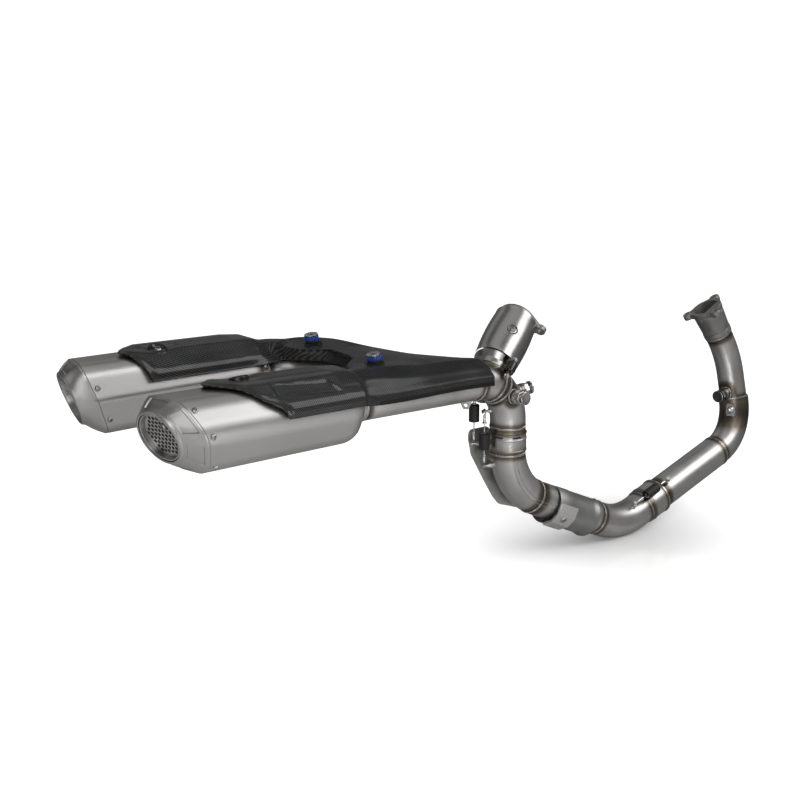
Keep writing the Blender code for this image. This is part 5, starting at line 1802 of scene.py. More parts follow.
def spring_lines() -> dict[str, SpringLine]:
    """The four springs.

    Returns:
        The lines by name.
    """
    near = Vector((-0.989, 0.148, 0.0)).normalized()
    far = Vector((-0.861, 0.509, 0.0)).normalized()
    front = across(FRONT_AXIS, radians(35), Z_AXIS)
    rear = across(REAR_AXIS, 0.0, (0.211, -0.917, 0.339))
    mids = (Body.TAIL, Body.MID)
    lines = []
    for name, out, reach, heights, coil, rubber in (
        ("mid_spring_near", near, 0.0404, (-0.118, -0.203), (0.035, 0.057, 5), (0.034, 0.058)),
        ("mid_spring_far", far, 0.0511, (-0.098, -0.172), (0.014, 0.038, 5), (0.013, 0.039)),
    ):
        hooks = tuple(MID_LINE + out * reach + Z_AXIS * z for z in heights)
        lines.append(SpringLine(name, hooks, out, reach, coil, rubber, mids))
    hooks = tuple(ELBOW + FRONT_AXIS * s + front * 0.0375 for s in (0.026, 0.109))
    pair = (Body.MID, Body.FRONT)
    lines.append(
        SpringLine("front_spring", hooks, front, 0.0375, (0.03, 0.054, 5), (0.028, 0.056), pair)
    )
    hooks = tuple(REAR_SEAT_AT + REAR_AXIS * s + rear * 0.042 for s in (-0.03, 0.004))
    pair = (Body.TAIL, Body.REAR)
    lines.append(
        SpringLine("rear_spring", hooks, rear, 0.042, (0.01, 0.024, 4), (0.0085, 0.0255), pair)
    )
    return {line.name: line for line in lines}


LINES = spring_lines()


@dataclass
class Springs:
    """Hooked wire springs and their rubber sleeves."""

    wire_r: float = 0.001
    coil_r: float = 0.005
    hook_r: float = 0.0034
    curl: int = 8
    rubber_in: float = 0.0064
    rubber_out: float = 0.008

    def wire(self, line: SpringLine) -> list[Vector]:
        """Centre line of one spring's wire: a hook round each post and a coil between them.

        Args:
            line: the spring.

        Returns:
            Points along the wire.
        """
        low, high = line.hooks
        along = (high - low).normalized()
        length = (high - low).length
        side = along.cross(line.out).normalized()
        start, end, turns = line.coil
        hook = self.hook_r
        flat = [(*polar(hook, radians(a)), 0.0) for a in range(75, 271, 39)]
        flat += [
            (hook + 0.001, -hook / 2, 0.0), (hook + 0.003, 0.0, 0.0), (start - 0.002, 0.0, 0.0)
        ]
        count, lead = turns * self.curl, self.curl // 2
        for i in range(-lead, count + lead + 1):
            edge = max(-i, i - count, 0) / lead
            past = min(i, 0) + max(i - count, 0)
            t = start + (end - start) * (clamp(i / count) + 0.6 * past / count)
            flat.append((t, *polar(self.coil_r * (1 - edge * 0.85), tau * i / self.curl)))
        flat += [(end + 0.004, 0.0, 0.0), (length - hook - 0.003, 0.0, 0.0)]
        flat.append((length - hook - 0.001, hook / 2, 0.0))
        ends = [polar(hook, radians(a)) for a in range(90, -106, -39)]
        flat += [(length + x, y, 0.0) for x, y in ends]
        rough = [low + along * t + side * w + line.out * e for t, w, e in flat]
        return smooth(rough, 4)

    def build(self) -> None:
        """Make and dress the springs, each between the posts of its two bodies."""
        for name, line in LINES.items():
            along = (line.hooks[1] - line.hooks[0]).normalized()
            ends = (line.hooks[0] + along * 0.006, line.hooks[1] - along * 0.006)
            wire = dressed(f"{name}_wire", sweep(self.wire(line), self.wire_r, 10), WIRE)
            place = aim(line.hooks[0], along, line.out)
            finish = GLOSS_RUBBER if name == "rear_spring" else RUBBER
            mesh = band((self.rubber_in, self.rubber_out), line.rubber, 0.0007, place, 32)
            sleeve = dressed(f"{name}_sleeve", mesh, finish)
            self.build_ferrules(line, along)
            bodies = [body.value for body in line.bodies]
            for obj, node in ((wire, name), (sleeve, f"{name}_rubber")):
                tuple(ends[0])
                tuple(ends[1])
                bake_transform(obj)
                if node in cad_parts:
                    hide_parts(node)
                LOG.info("%s between %s and %s", obj.name, *bodies)

    def build_ferrules(self, line: SpringLine, along: Vector) -> None:
        """Tapered metal ends between the coil and its two hooks.

        Args:
            line: the spring.
            along: direction from the first hook to the second.
        """
        length = (line.hooks[1] - line.hooks[0]).length
        spans = (line.rubber[0], length - line.rubber[1])
        for i, (hook, way, span) in enumerate(zip(line.hooks, (along, -along), spans)):
            start = self.hook_r + 0.003
            reach = min(span - 0.0004, start + 0.012)
            if reach - start < 0.003:
                continue
            profile = [
                (0.0, start), (0.0021, start), (0.0025, start + 0.0008), (0.0025, start + 0.0016)
            ]
            profile += [(0.002, start + 0.002), (0.0024, reach - 0.0022), (0.0034, reach - 0.0014)]
            profile += [(0.0036, reach), (0.0, reach)]
            mesh = lathe(fillet(profile, 0.0003, 2, closed=False), aim(hook, way, line.out), 24)
            piece(f"{line.name}_ferrule_{i}", mesh, CHROME, line.bodies[i])


@dataclass
class Collector:
    """Bend that gathers both headers, with its bosses and spring posts."""

    spigot_deep: float = 0.022
    plugs: tuple = (
        ("front_facing", (0.2355, -0.081, -0.098), (1.0, 0.0, 0.12)),
        ("right_facing", (0.23, -0.081, -0.093), (0.12, -1.0, 0.05)),
    )
    rings: tuple = ((0.215, -0.082, -0.09), (0.208, -0.083, -0.084))
    lip: tuple = (
        (-0.0006, -0.012), (0.0012, -0.011), (0.0022, -0.003), (0.0066, 0.0072),
        (0.0072, 0.008), (0.006, 0.0082), (0.0012, -0.0022), (-0.0006, -0.0022),
    )
    lip_gap: float = 36.0

    def build(self) -> None:
        """Make and dress the collector, its plugs and welds."""
        body = between(RUN, (MID_TOP, Z_AXIS), (LINK_WELD, LINK_AXIS))
        low, high = MID_TOP - Z_AXIS * self.spigot_deep, MID_TOP + Z_AXIS * 0.012
        seat = REAR_SEAT_AT
        bent = [
            seat, seat - REAR_AXIS * 0.03,
            seat - REAR_AXIS * 0.048 + Vector((-0.004, -0.002, 0.003)),
        ]
        merge = smooth(bent, 6)
        top, root = seat + REAR_AXIS * 0.022, seat - REAR_AXIS * 0.01
        solids = [sweep(body, PIPE_R), sweep(merge, REAR_R)]
        solids += [sweep([low, high], SPIGOT_R), sweep([root, top], REAR_SPIGOT_R)]
        solids += [LINES[n].foot(0) for n in ("mid_spring_near", "mid_spring_far", "rear_spring")]
        plugs = {n: OxygenPlug(Vector(o), Vector(a).normalized(), PIPE_R) for n, o, a in self.plugs}
        solids += [plug.boss() for plug in plugs.values()]
        wide = trim(body, MID_TOP + Z_AXIS * 0.008, Z_AXIS)
        cuts = [sweep(longer(wide, 0.0, 0.01), PIPE_R - PIPE_WALL, 32)]
        cuts.append(sweep([low - Z_AXIS * 0.01, high], SPIGOT_R - PIPE_WALL, 32))
        cuts.append(sweep([root, top + REAR_AXIS * 0.01], REAR_SPIGOT_R - PIPE_WALL, 32))
        welds = [Weld(MID_TOP + Z_AXIS * 0.007, Z_AXIS, PIPE_R), Weld(LINK_WELD, LINK_AXIS, PIPE_R)]
        welds += [Weld(*nearest(body, p), PIPE_R) for p in self.rings]
        tinted = [*welds, Weld(REAR_BASE - REAR_AXIS * 0.015, REAR_AXIS, REAR_R, 0.014, 0.6)]
        tinted += [plug.tint(0.007, 0.55) for plug in plugs.values()]
        piece(
            "collector_body", heated(carved(solids, cuts), tinted), TUBING, Body.TAIL, "collector"
        )
        for name, plug in plugs.items():
            piece(f"{name}_plug", plug.plug(), BRIGHT, Body.TAIL, f"oxygen_plug_{name}")
        beads = [w.bead() for w in (welds[0], *welds[2:], *plugs.values())]
        self.build_lip()
        piece("collector_welds", together(beads), WELD, Body.TAIL)

    def build_lip(self) -> None:
        """Flared lip under the rear shield, open where the rear spring's post passes."""
        half = radians(self.lip_gap / 2)
        begin = across(REAR_AXIS, half, LINES["rear_spring"].out)
        profile = [(REAR_R + off, z) for off, z in self.lip]
        place = aim(REAR_SEAT_AT, REAR_AXIS, begin)
        mesh = lathe(fillet(profile, 0.001), place, 64, tau - 2 * half, closed=True)
        piece("collector_rear_lip", Guards.closed_ends(mesh), POLISHED, Body.TAIL)


@dataclass
class MidPipe:
    """Mid pipe with its joint collar, front slip sleeve, seam and guard posts."""

    collar_deep: float = 0.029
    sleeve_from: float = 0.06
    sleeve_to: float = 0.1
    boss_r: float = 0.0045
    ring_at: tuple = (0.3, -0.077, -0.267)
    slots: int = 6

    def build(self) -> None:
        """Make and dress the pipe, its collar and welds."""
        seat = ELBOW + FRONT_AXIS * FRONT_SEAT
        top = MID_TOP - Z_AXIS * GAP
        path = between(RUN, (seat, -FRONT_AXIS), (top, Z_AXIS))
        start, end = (ELBOW + FRONT_AXIS * s for s in (self.sleeve_from, self.sleeve_to))
        solids = [sweep(path, PIPE_R), sweep(even([start, end], 0.006), SLEEVE_OUT_R)]
        solids += [LINES[n].foot(1) for n in ("mid_spring_near", "mid_spring_far")]
        solids.append(LINES["front_spring"].foot(0))
        tall = PLATE_Y - MID_LINE.y - GAP
        profile = [(0.0, 0.01), (self.boss_r, 0.01), (self.boss_r, tall), (0.0, tall)]
        solids += [lathe(profile, aim((x, MID_LINE.y, z), Y_AXIS), 24) for x, z in PLATE_POSTS]
        cuts = [sweep(longer(path, 0.01, 0.01), PIPE_R - PIPE_WALL, 32)]
        cuts.append(sweep([seat, end + FRONT_AXIS * 0.01], SLEEVE_IN_R, 48))
        welds = [
            Weld(MID_TOP - Z_AXIS * 0.034, Z_AXIS, PIPE_R), Weld(start, FRONT_AXIS, PIPE_R + 0.0004)
        ]
        welds.append(Weld(*nearest(path, ELBOW + ELBOW_AXIS * 0.062), PIPE_R))
        welds.append(Weld(*nearest(path, self.ring_at), PIPE_R, 0.012, 0.55))
        tinted = [
            *welds, Weld(top, Z_AXIS, PIPE_R, 0.01, 0.5),
            Weld(end, FRONT_AXIS, SLEEVE_OUT_R, 0.006, 0.5),
        ]
        piece("mid_tube", heated(carved(solids, cuts), tinted), TUBING, Body.MID, "mid_pipe")
        piece("mid_welds", together([w.bead() for w in welds]), WELD, Body.MID)
        self.build_collar()
        self.build_bands(start, end)
        self.build_seam(path)

    def build_collar(self) -> None:
        """Slotted collar over the top of the pipe, with a black ring behind the slots that paints
        the shade in them.
        """
        deep = self.collar_deep
        inner = PIPE_R - 0.0003
        profile = [
            (inner, 0.0), (0.029, 0.0), (0.029, -0.0022), (0.0283, -0.003), (0.0283, -0.0082)
        ]
        profile += [(0.0289, -0.009), (0.0289, -0.0105), (0.0284, -0.0112), (0.0284, -deep + 0.003)]
        profile += [(0.029, -deep + 0.0022), (0.029, -deep), (inner, -deep)]
        place = aim(MID_TOP - Z_AXIS * GAP, Z_AXIS, X_AXIS)
        ring = lathe(fillet(profile, 0.0004, 2), place, 72, closed=True)
        outline = fillet(
            [(-0.0075, -0.0014), (0.0075, -0.0014), (0.0075, 0.0014), (-0.0075, 0.0014)], 0.001
        )
        cuts = []
        for i in range(self.slots):
            out = Vector((*polar(1.0, tau * (i + 0.35) / self.slots), 0.0))
            spot = aim(MID_TOP - Z_AXIS * 0.0056 + out * 0.0262, out, Z_AXIS.cross(out))
            cuts.append(plate([outline], 0.006, spot))
        tints = [Weld(MID_TOP - Z_AXIS * z, Z_AXIS, PIPE_R, 0.0035, 0.4) for z in (0.001, deep)]
        piece("mid_collar", heated(carved([ring], cuts), tints), TUBING, Body.MID)
        # Black ring behind the slots: painted shade seen through them.
        slot_shade = band((inner, PIPE_R + 0.0005), (-0.0036, -0.0076), 0.0001, place, 56)
        piece("mid_collar_slot_shade", slot_shade, RUBBER, Body.MID)

    def build_bands(self, start: Vector, end: Vector) -> None:
        """Raised bands of the front slip sleeve.

        Args:
            start: sleeve's root on the axis.
            end: sleeve's mouth.
        """
        rings = []
        root, mouth = start + FRONT_AXIS * 0.008, end - FRONT_AXIS * 0.003
        for at, wide, tall in ((root, 0.0022, 0.0008), (mouth, 0.003, 0.0011)):
            radii = (SLEEVE_IN_R + 0.0004, SLEEVE_OUT_R + tall)
            rings.append(band(radii, (0.0, wide), 0.0005, aim(at, FRONT_AXIS), 64))
        piece("front_sleeve_bands", together(rings), BRIGHT, Body.MID)

    def build_seam(self, path: Sequence[Vector]) -> None:
        """Fine double seam along the outside of the bend.

        Args:
            path: the pipe's centre line.
        """
        kept = between(
            path, (ELBOW + ELBOW_AXIS * 0.18, ELBOW_AXIS), (MID_TOP - Z_AXIS * 0.04, Z_AXIS)
        )
        lines = []
        for lean in (-8, 4):
            line = []
            for i, point in enumerate(kept):
                way = (kept[min(i + 1, len(kept) - 1)] - kept[max(i - 1, 0)]).normalized()
                line.append(point + across(way, radians(lean), (-0.25, -1.0, -0.05)) * PIPE_R)
            lines.append(sweep(line, 0.00045, 8))
        piece("mid_seam", together(lines), WELD, Body.MID)


@dataclass
class Guards:
    """Flat guard plate and elbow guard on the mid pipe."""

    plate_thick: float = 0.0015
    plate_outline: tuple = (
        (0.201, -0.152), (0.2005, -0.167), (0.206, -0.192), (0.23, -0.235), (0.249, -0.266),
        (0.261, -0.28), (0.283, -0.2875), (0.318, -0.3), (0.326, -0.284), (0.296, -0.262),
        (0.266, -0.232), (0.246, -0.188), (0.242, -0.152),
    )
    guard_r: float = 0.031
    guard_wall: float = 0.0012
    guard_from: float = 0.084
    guard_to: float = 0.178
    arc: float = radians(210)
    foot_arc: float = radians(90)
    strip_arc: float = radians(120)
    post_at: float = 0.158
    drop: tuple = (0.0, -0.0008, -0.003)
    face: tuple = (-0.3, -0.85, -0.42)

    def build(self) -> None:
        """Make and dress both guards and their screws."""
        face = PLATE_Y + self.plate_thick
        place = Matrix.Translation((0.0, face, 0.0)) @ Matrix.Rotation(radians(90), 4, "X")
        loops = [fillet(self.plate_outline, 0.01, 4), *[circle(0.0023, 16, p) for p in PLATE_POSTS]]
        mesh = plate(loops, self.plate_thick, place, 0.0004)
        piece("guard_sheet", mesh, MATTE, Body.MID, "mid_guard_plate")
        for i, (x, z) in enumerate(PLATE_POSTS):
            screw = socket_screw(aim((x, face + GAP, z), Y_AXIS), 0.0042, 0.0022)
            piece(f"guard_plate_screw_{i}", screw, BRIGHT, Body.MID, f"guard_screw_{i}")
        self.build_elbow()

    def build_elbow(self) -> None:
        """Wrapped sheet under the elbow, with its raised foot and screw, and a black strip that
        paints the shade in the gap between sheet and pipe.
        """
        out = across(ELBOW_AXIS, 0.0, self.face)
        spot = ELBOW + ELBOW_AXIS * self.post_at
        start = ELBOW + ELBOW_AXIS * self.guard_to + Vector(self.drop)
        length = self.guard_to - self.guard_from
        r, w = self.guard_r, self.guard_wall
        outer = [
            (r + 0.0006, 0.0), (r + 0.0006, 0.028), (r - 0.0008, 0.03), (r - 0.0008, length - 0.01)
        ]
        outer += [(r + 0.0006, length - 0.004), (r + 0.002, length)]
        profile = outer + [(a - w, b) for a, b in outer[::-1]]
        place = self.wrap_frame(start, self.arc)
        shell = lathe(fillet(profile, 0.0006, 2), place, 60, self.arc, closed=True)
        # Darker copy of the guard metal on the sheet: painted shade.
        piece("shaded_elbow_sheet", self.closed_ends(shell), SHADED, Body.MID, "elbow_guard")
        arc = self.foot_arc
        foot = band(
            (r - 0.001, r + 0.0036), (0.0008, 0.0395), 0.0006, self.wrap_frame(start, arc), 3, arc
        )
        # Lighter copy of the guard metal on the foot: painted light.
        piece("elbow_foot", self.closed_ends(foot), LIT_MATTE, Body.MID, crease=12.0)
        seat = aim(spot + out * (r + Vector(self.drop).dot(out) + 0.0024), out)
        piece(
            "elbow_screw", socket_screw(seat, 0.0054, 0.0024), BRIGHT, Body.MID, "elbow_guard_screw"
        )
        # Black strip inside the sheet's end: painted shade in the gap between sheet and pipe.
        arc = self.strip_arc
        place = self.wrap_frame(start - ELBOW_AXIS * 0.008, arc)
        strip = band((PIPE_R - 0.001, r - w), (0.0, 0.004), 0.0004, place, 24, arc)
        piece("elbow_rubber", self.closed_ends(strip), RUBBER, Body.MID)

    def wrap_frame(self, origin: Vector, arc: float) -> Matrix:
        """Frame of a sheet wrapped round the elbow, with its middle at the screw."""
        out = across(ELBOW_AXIS, 0.0, self.face)
        return aim(origin, -ELBOW_AXIS, Matrix.Rotation(-arc / 2, 3, -ELBOW_AXIS) @ out)

    @staticmethod
    def closed_ends(mesh: Mesh) -> Mesh:
        """The mesh with its open ends filled.

        Args:
            mesh: the mesh to close.

        Returns:
            The same mesh.
        """
        work = bmesh.new()
        work.from_mesh(mesh)
        bmesh.ops.holes_fill(work, edges=[e for e in work.edges if e.is_boundary], sides=0)
        bmesh.ops.recalc_face_normals(work, faces=work.faces)
        work.to_mesh(mesh)
        work.free()
        return mesh


def eared(core: float, ears: Sequence[Pair], ear: float, steps: int = 10) -> list[Pair]:
    """Outline of a round plate with rounded ears.

    Args:
        core: the plate's radius.
        ears: angle and reach of each ear.
        ear: the ears' own radius.
        steps: points per arc.

    Returns:
        The outline.
    """
    outline = []
    for i, (angle, reach) in enumerate(ears):
        wide = asin(1.25 * ear / core)
        swing = radians(118)
        middle = Vector(polar(1.0, angle)) * reach
        for step in range(2 * steps + 1):
            turn = angle + swing * (step / steps - 1)
            soft = 0.006 if step in (0, 2 * steps) else 0.0
            x, y = polar(ear, turn)
            outline.append((middle.x + x, middle.y + y, soft))
        following = ears[(i + 1) % len(ears)][0]
        start, end = angle + wide, following - wide
        while end < start:
            end += tau
        outline += [(*polar(core, t), 0.0) for t in spaced(start, end, steps + 1)[1:-1]]
    return fillet(outline, 0.0)


@dataclass
class FrontHeader:
    """Front header: tubes, plug, lug and cast port stub."""

    stub_length: float = 0.046
    stub_r: float = 0.0255
    flange_thick: float = 0.009
    ear_r: float = 0.0085
    ear_angles: tuple = (14, 130, 250)
    ear_reach: float = 0.033
    port_flats: Pair = (-0.0125, 0.0175)
    plug_at: tuple = (0.7957, -0.0167, -0.185)
    plug_face: tuple = (-0.97, -0.22, -0.05)
    lug_face: tuple = (-0.85, -0.5, 0.1)

    def build(self) -> None:
        """Make and dress the header."""
        line = RUN[::-1]
        seat = ELBOW + FRONT_AXIS * (FRONT_SEAT + GAP)
        corner = Vector(FRONT_LINE[2][0])
        rise = (Vector(FRONT_LINE[1][0]) - corner).normalized()
        reach = FRONT_LINE[2][1] / tan((-FRONT_AXIS).angle(rise) / 2) + 0.004
        low, high = (corner - FRONT_AXIS * reach, FRONT_AXIS), (corner + rise * reach, rise)
        stub_end = PORT - UP_AXIS * self.stub_length
        welds = [Weld(low[0], low[1], HEADER_R - 0.0004), Weld(high[0], high[1], BEND_R - 0.001)]
        welds.append(Weld(stub_end - UP_AXIS * 0.0085, UP_AXIS, UPPER_R + 0.0002, 0.009, 0.6))
        mouth = Weld(ELBOW + FRONT_AXIS * 0.104, FRONT_AXIS, HEADER_R, 0.008, 0.5)
        plug = OxygenPlug(Vector(self.plug_at), Vector(self.plug_face).normalized(), UPPER_R)
        tinted = [*welds, mouth, plug.tint(0.008, 0.6)]
        tinted.append(Weld(corner + rise * (reach - 0.026), rise, BEND_R, 0.026, 0.52))
        post_foot = LINES["front_spring"].foot(1, HEADER_R - 0.0012)
        lower = carved([pipe(between(line, (seat, FRONT_AXIS), low), HEADER_R), post_foot])
        piece("front_lower_tube", heated(lower, tinted), TUBING, Body.FRONT, "front_header_tube")
        bend = between(line, (low[0] + low[1] * GAP, low[1]), (high[0] - high[1] * GAP, high[1]))
        mesh = heated(pipe(bend, BEND_R), tinted)
        piece("front_bend_tube", mesh, TUBING, Body.FRONT, "front_header_bend")
        upper = pipe(between(line, high, (stub_end, UP_AXIS)), UPPER_R)
        mesh = heated(carved([upper, plug.boss()]), tinted)
        piece("front_upper_tube", mesh, TUBING, Body.FRONT, "front_header_upper")
        piece("front_plug", plug.plug(), DARK, Body.FRONT, "front_oxygen_plug")
        beads = [w.bead() for w in (*welds, plug)]
        piece("front_welds", together(beads), WELD, Body.FRONT)
        self.build_lug(corner + rise * (reach - 0.018), bend)
        self.build_stub(stub_end)

    def build_lug(self, spot: Vector, bend: Sequence[Vector]) -> None:
        """Small lug that hugs the bend, with its screw.

        Args:
            spot: on the bend's axis.
            bend: centre line of the bend.
        """
        place = aim(spot, self.lug_face, Z_AXIS)
        block = fillet(
            [(0.011, 0.008), (-0.011, 0.008), (-0.011, -0.008), (0.011, -0.008)], 0.003, 5
        )
        body = plate([block, circle(0.003, 20)], 0.009, place @ lift(BEND_R - 0.0045), 0.0006)
        lug = carved([body], [sweep(bend, BEND_R + GAP, 40)])
        nut = socket_screw(place @ lift(BEND_R + 0.0045), 0.0062, 0.0044)
        piece("header_bracket", lug, WELD, Body.FRONT, "header_lug", crease=15.0)
        piece("header_bracket_nut", nut, CHROME, Body.FRONT)

    def build_stub(self, foot: Vector) -> None:
        """Cast neck with a three-ear flange and a D-shaped port.

        Args:
            foot: lower end of the neck on its axis.
        """
        place = aim(foot, UP_AXIS, X_AXIS)
        at = self.stub_length - self.flange_thick
        ears = [(radians(a), self.ear_reach) for a in self.ear_angles]
        loops = [eared(self.stub_r + 0.001, ears, self.ear_r)]
        loops += [circle(EAR_HOLE_R, 20, polar(r, a)) for a, r in ears]
        flange = plate(loops, self.flange_thick, place @ lift(at), 0.0009)
        neck = [(0.0, at + 0.004), (self.stub_r, at + 0.004), (self.stub_r, at - 0.006)]
        neck += [(UPPER_R + 0.001, 0.004), (UPPER_R + 0.001, 0.0), (0.0, 0.0)]
        body = lathe(fillet(neck, 0.004, 4, closed=False), place, 56)
        bore = UPPER_R - PIPE_WALL
        low, high = self.port_flats
        port = [(x, min(max(y, low), high)) for x, y in circle(bore, 60)]
        cutter = plate([port], self.stub_length + 0.02, place @ lift(-0.01))
        piece("front_stub", carved([flange, body], [cutter]), CAST, Body.FRONT, "front_port_stub")
        inner, outer = UPPER_R - 0.0006, UPPER_R + 0.0016
        profile = [(inner, 0.0012), (outer, 0.0012), (outer, -0.006), (inner, -0.0072)]
        collar = lathe(fillet(profile, 0.0005), place, 56, closed=True)
        piece("front_stub_collar", collar, CAST, Body.FRONT)
        rings = []
        for angle, r in ears:
            spot = place @ Matrix.Translation((*polar(r, angle), self.stub_length))
            rings.append(band((0.0043, 0.0062), (-0.0006, 0.0005), 0.0003, spot, 28))
        piece("front_stub_seats", together(rings), BRIGHT, Body.FRONT)


@dataclass
class RearHeader:
    """Rear header: tube, polished shield and two-ear flange."""

    shield_from: float = 0.02
    shield_r: float = 0.033
    bulge: float = 0.0025
    wall: float = 0.0012
    arc: float = radians(172)
    face: tuple = (-0.162, -0.692, 0.703)
    ears_face: tuple = (0.6365, -0.6174, -0.4607)
    ear_angles: tuple = (-8, 128)
    ear_reach: float = 0.04
    ear_r: float = 0.0085
    thick: float = 0.008
    screw_at: float = 0.045
    dimple: float = 0.0012
    dimple_r: float = 0.01

    def build(self) -> None:
        """Make and dress the header."""
        seat = REAR_BASE + REAR_AXIS * (REAR_SEAT + GAP)
        top = REAR_BASE + REAR_AXIS * (REAR_FLANGE_AT - GAP)
        facing = across(REAR_AXIS, 0.0, self.face)
        middle = REAR_BASE + REAR_AXIS * (self.shield_from + self.screw_at)
        stand = [(0.0, 0.0), (0.0045, 0.0), (0.0045, 0.0085), (0.0, 0.0085)]
        boss = lathe(stand, aim(middle + facing * (REAR_R - 0.0008), facing), 24)
        post_foot = LINES["rear_spring"].foot(1, REAR_R - 0.0008)
        solids = [pipe(even([seat, top], 0.008), REAR_R), post_foot, boss]
        tints = [
            Weld(top, REAR_AXIS, REAR_R, 0.012, 0.7), Weld(seat, REAR_AXIS, REAR_R, 0.01, 0.55)
        ]
        piece("rear_tube", heated(carved(solids), tints), TUBING, Body.REAR, "rear_header_tube")
        self.build_shield(middle, facing)
        place = aim(
            REAR_BASE + REAR_AXIS * REAR_FLANGE_AT, REAR_AXIS,
            across(REAR_AXIS, 0.0, self.ears_face),
        )
        ears = [(radians(a), self.ear_reach) for a in self.ear_angles]
        loops = [eared(REAR_R + 0.005, ears, self.ear_r), circle(REAR_R - PIPE_WALL, 56)]
        loops += [circle(EAR_HOLE_R, 20, polar(r, a)) for a, r in ears]
        piece(
            "rear_flange", plate(loops, self.thick, place, 0.0009), CAST, Body.REAR,
            "rear_port_flange",
        )
        weld = Weld(top - REAR_AXIS * 0.001, REAR_AXIS, REAR_R)
        piece("rear_welds", weld.bead(), WELD, Body.REAR)

    def build_shield(self, middle: Vector, facing: Vector) -> None:
        """Barrel-shaped sheet with rolled ends and a dimpled screw, ringed with dark steel as
        painted shade in its groove.

        Args:
            middle: on the tube's axis, at the screw.
            facing: the way the screw faces.
        """
        length = REAR_FLANGE_AT - GAP - self.shield_from
        outer = []
        for i in range(25):
            share = i / 24
            roll = 0.0009 * max(0.0, 1 - share / 0.05) + 0.0007 * max(0.0, (share - 0.96) / 0.04)
            outer.append((self.shield_r + self.bulge * sin(pi * share) + roll, length * share))
        profile = outer + [(r - self.wall, z) for r, z in outer[::-1]]
        begin = across(REAR_AXIS, -self.arc / 2, self.face)
        place = aim(REAR_BASE + REAR_AXIS * self.shield_from, REAR_AXIS, begin)
        mesh = Guards.closed_ends(lathe(profile, place, 72, self.arc, closed=True))
        at = middle + facing * (self.shield_r + self.bulge)
        for v in mesh.vertices:
            near = (v.co - at).length
            if near < self.dimple_r:
                v.co -= facing * self.dimple * (0.5 + 0.5 * cos(pi * near / self.dimple_r))
        piece("rear_shield", mesh, POLISHED, Body.REAR, "rear_header_shield")
        profile = [(0.0, -0.0016), (0.0066, -0.0016), (0.0066, -0.0004), (0.0052, 0.0), (0.0, 0.0)]
        washer = lathe(fillet(profile, 0.0003, closed=False), aim(at - facing * 0.0002, facing), 32)
        mesh = together([washer, socket_screw(aim(at - facing * 0.0003, facing), 0.0042, 0.0022)])
        piece("rear_shield_bolt", mesh, BRIGHT, Body.REAR, "rear_shield_screw")
        # Dark steel ring round the washer: painted shade in the groove.
        profile = [(0.0058, -0.0016), (0.0086, -0.0016), (0.0086, -0.0005), (0.008, 0.0003)]
        profile += [(0.007, 0.0001), (0.0058, -0.0006)]
        groove_shade = lathe(fillet(profile, 0.0002), aim(at - facing * 0.0002, facing), 40, closed=True)
        piece("rear_shield_groove_shade", groove_shade, DARK, Body.REAR)


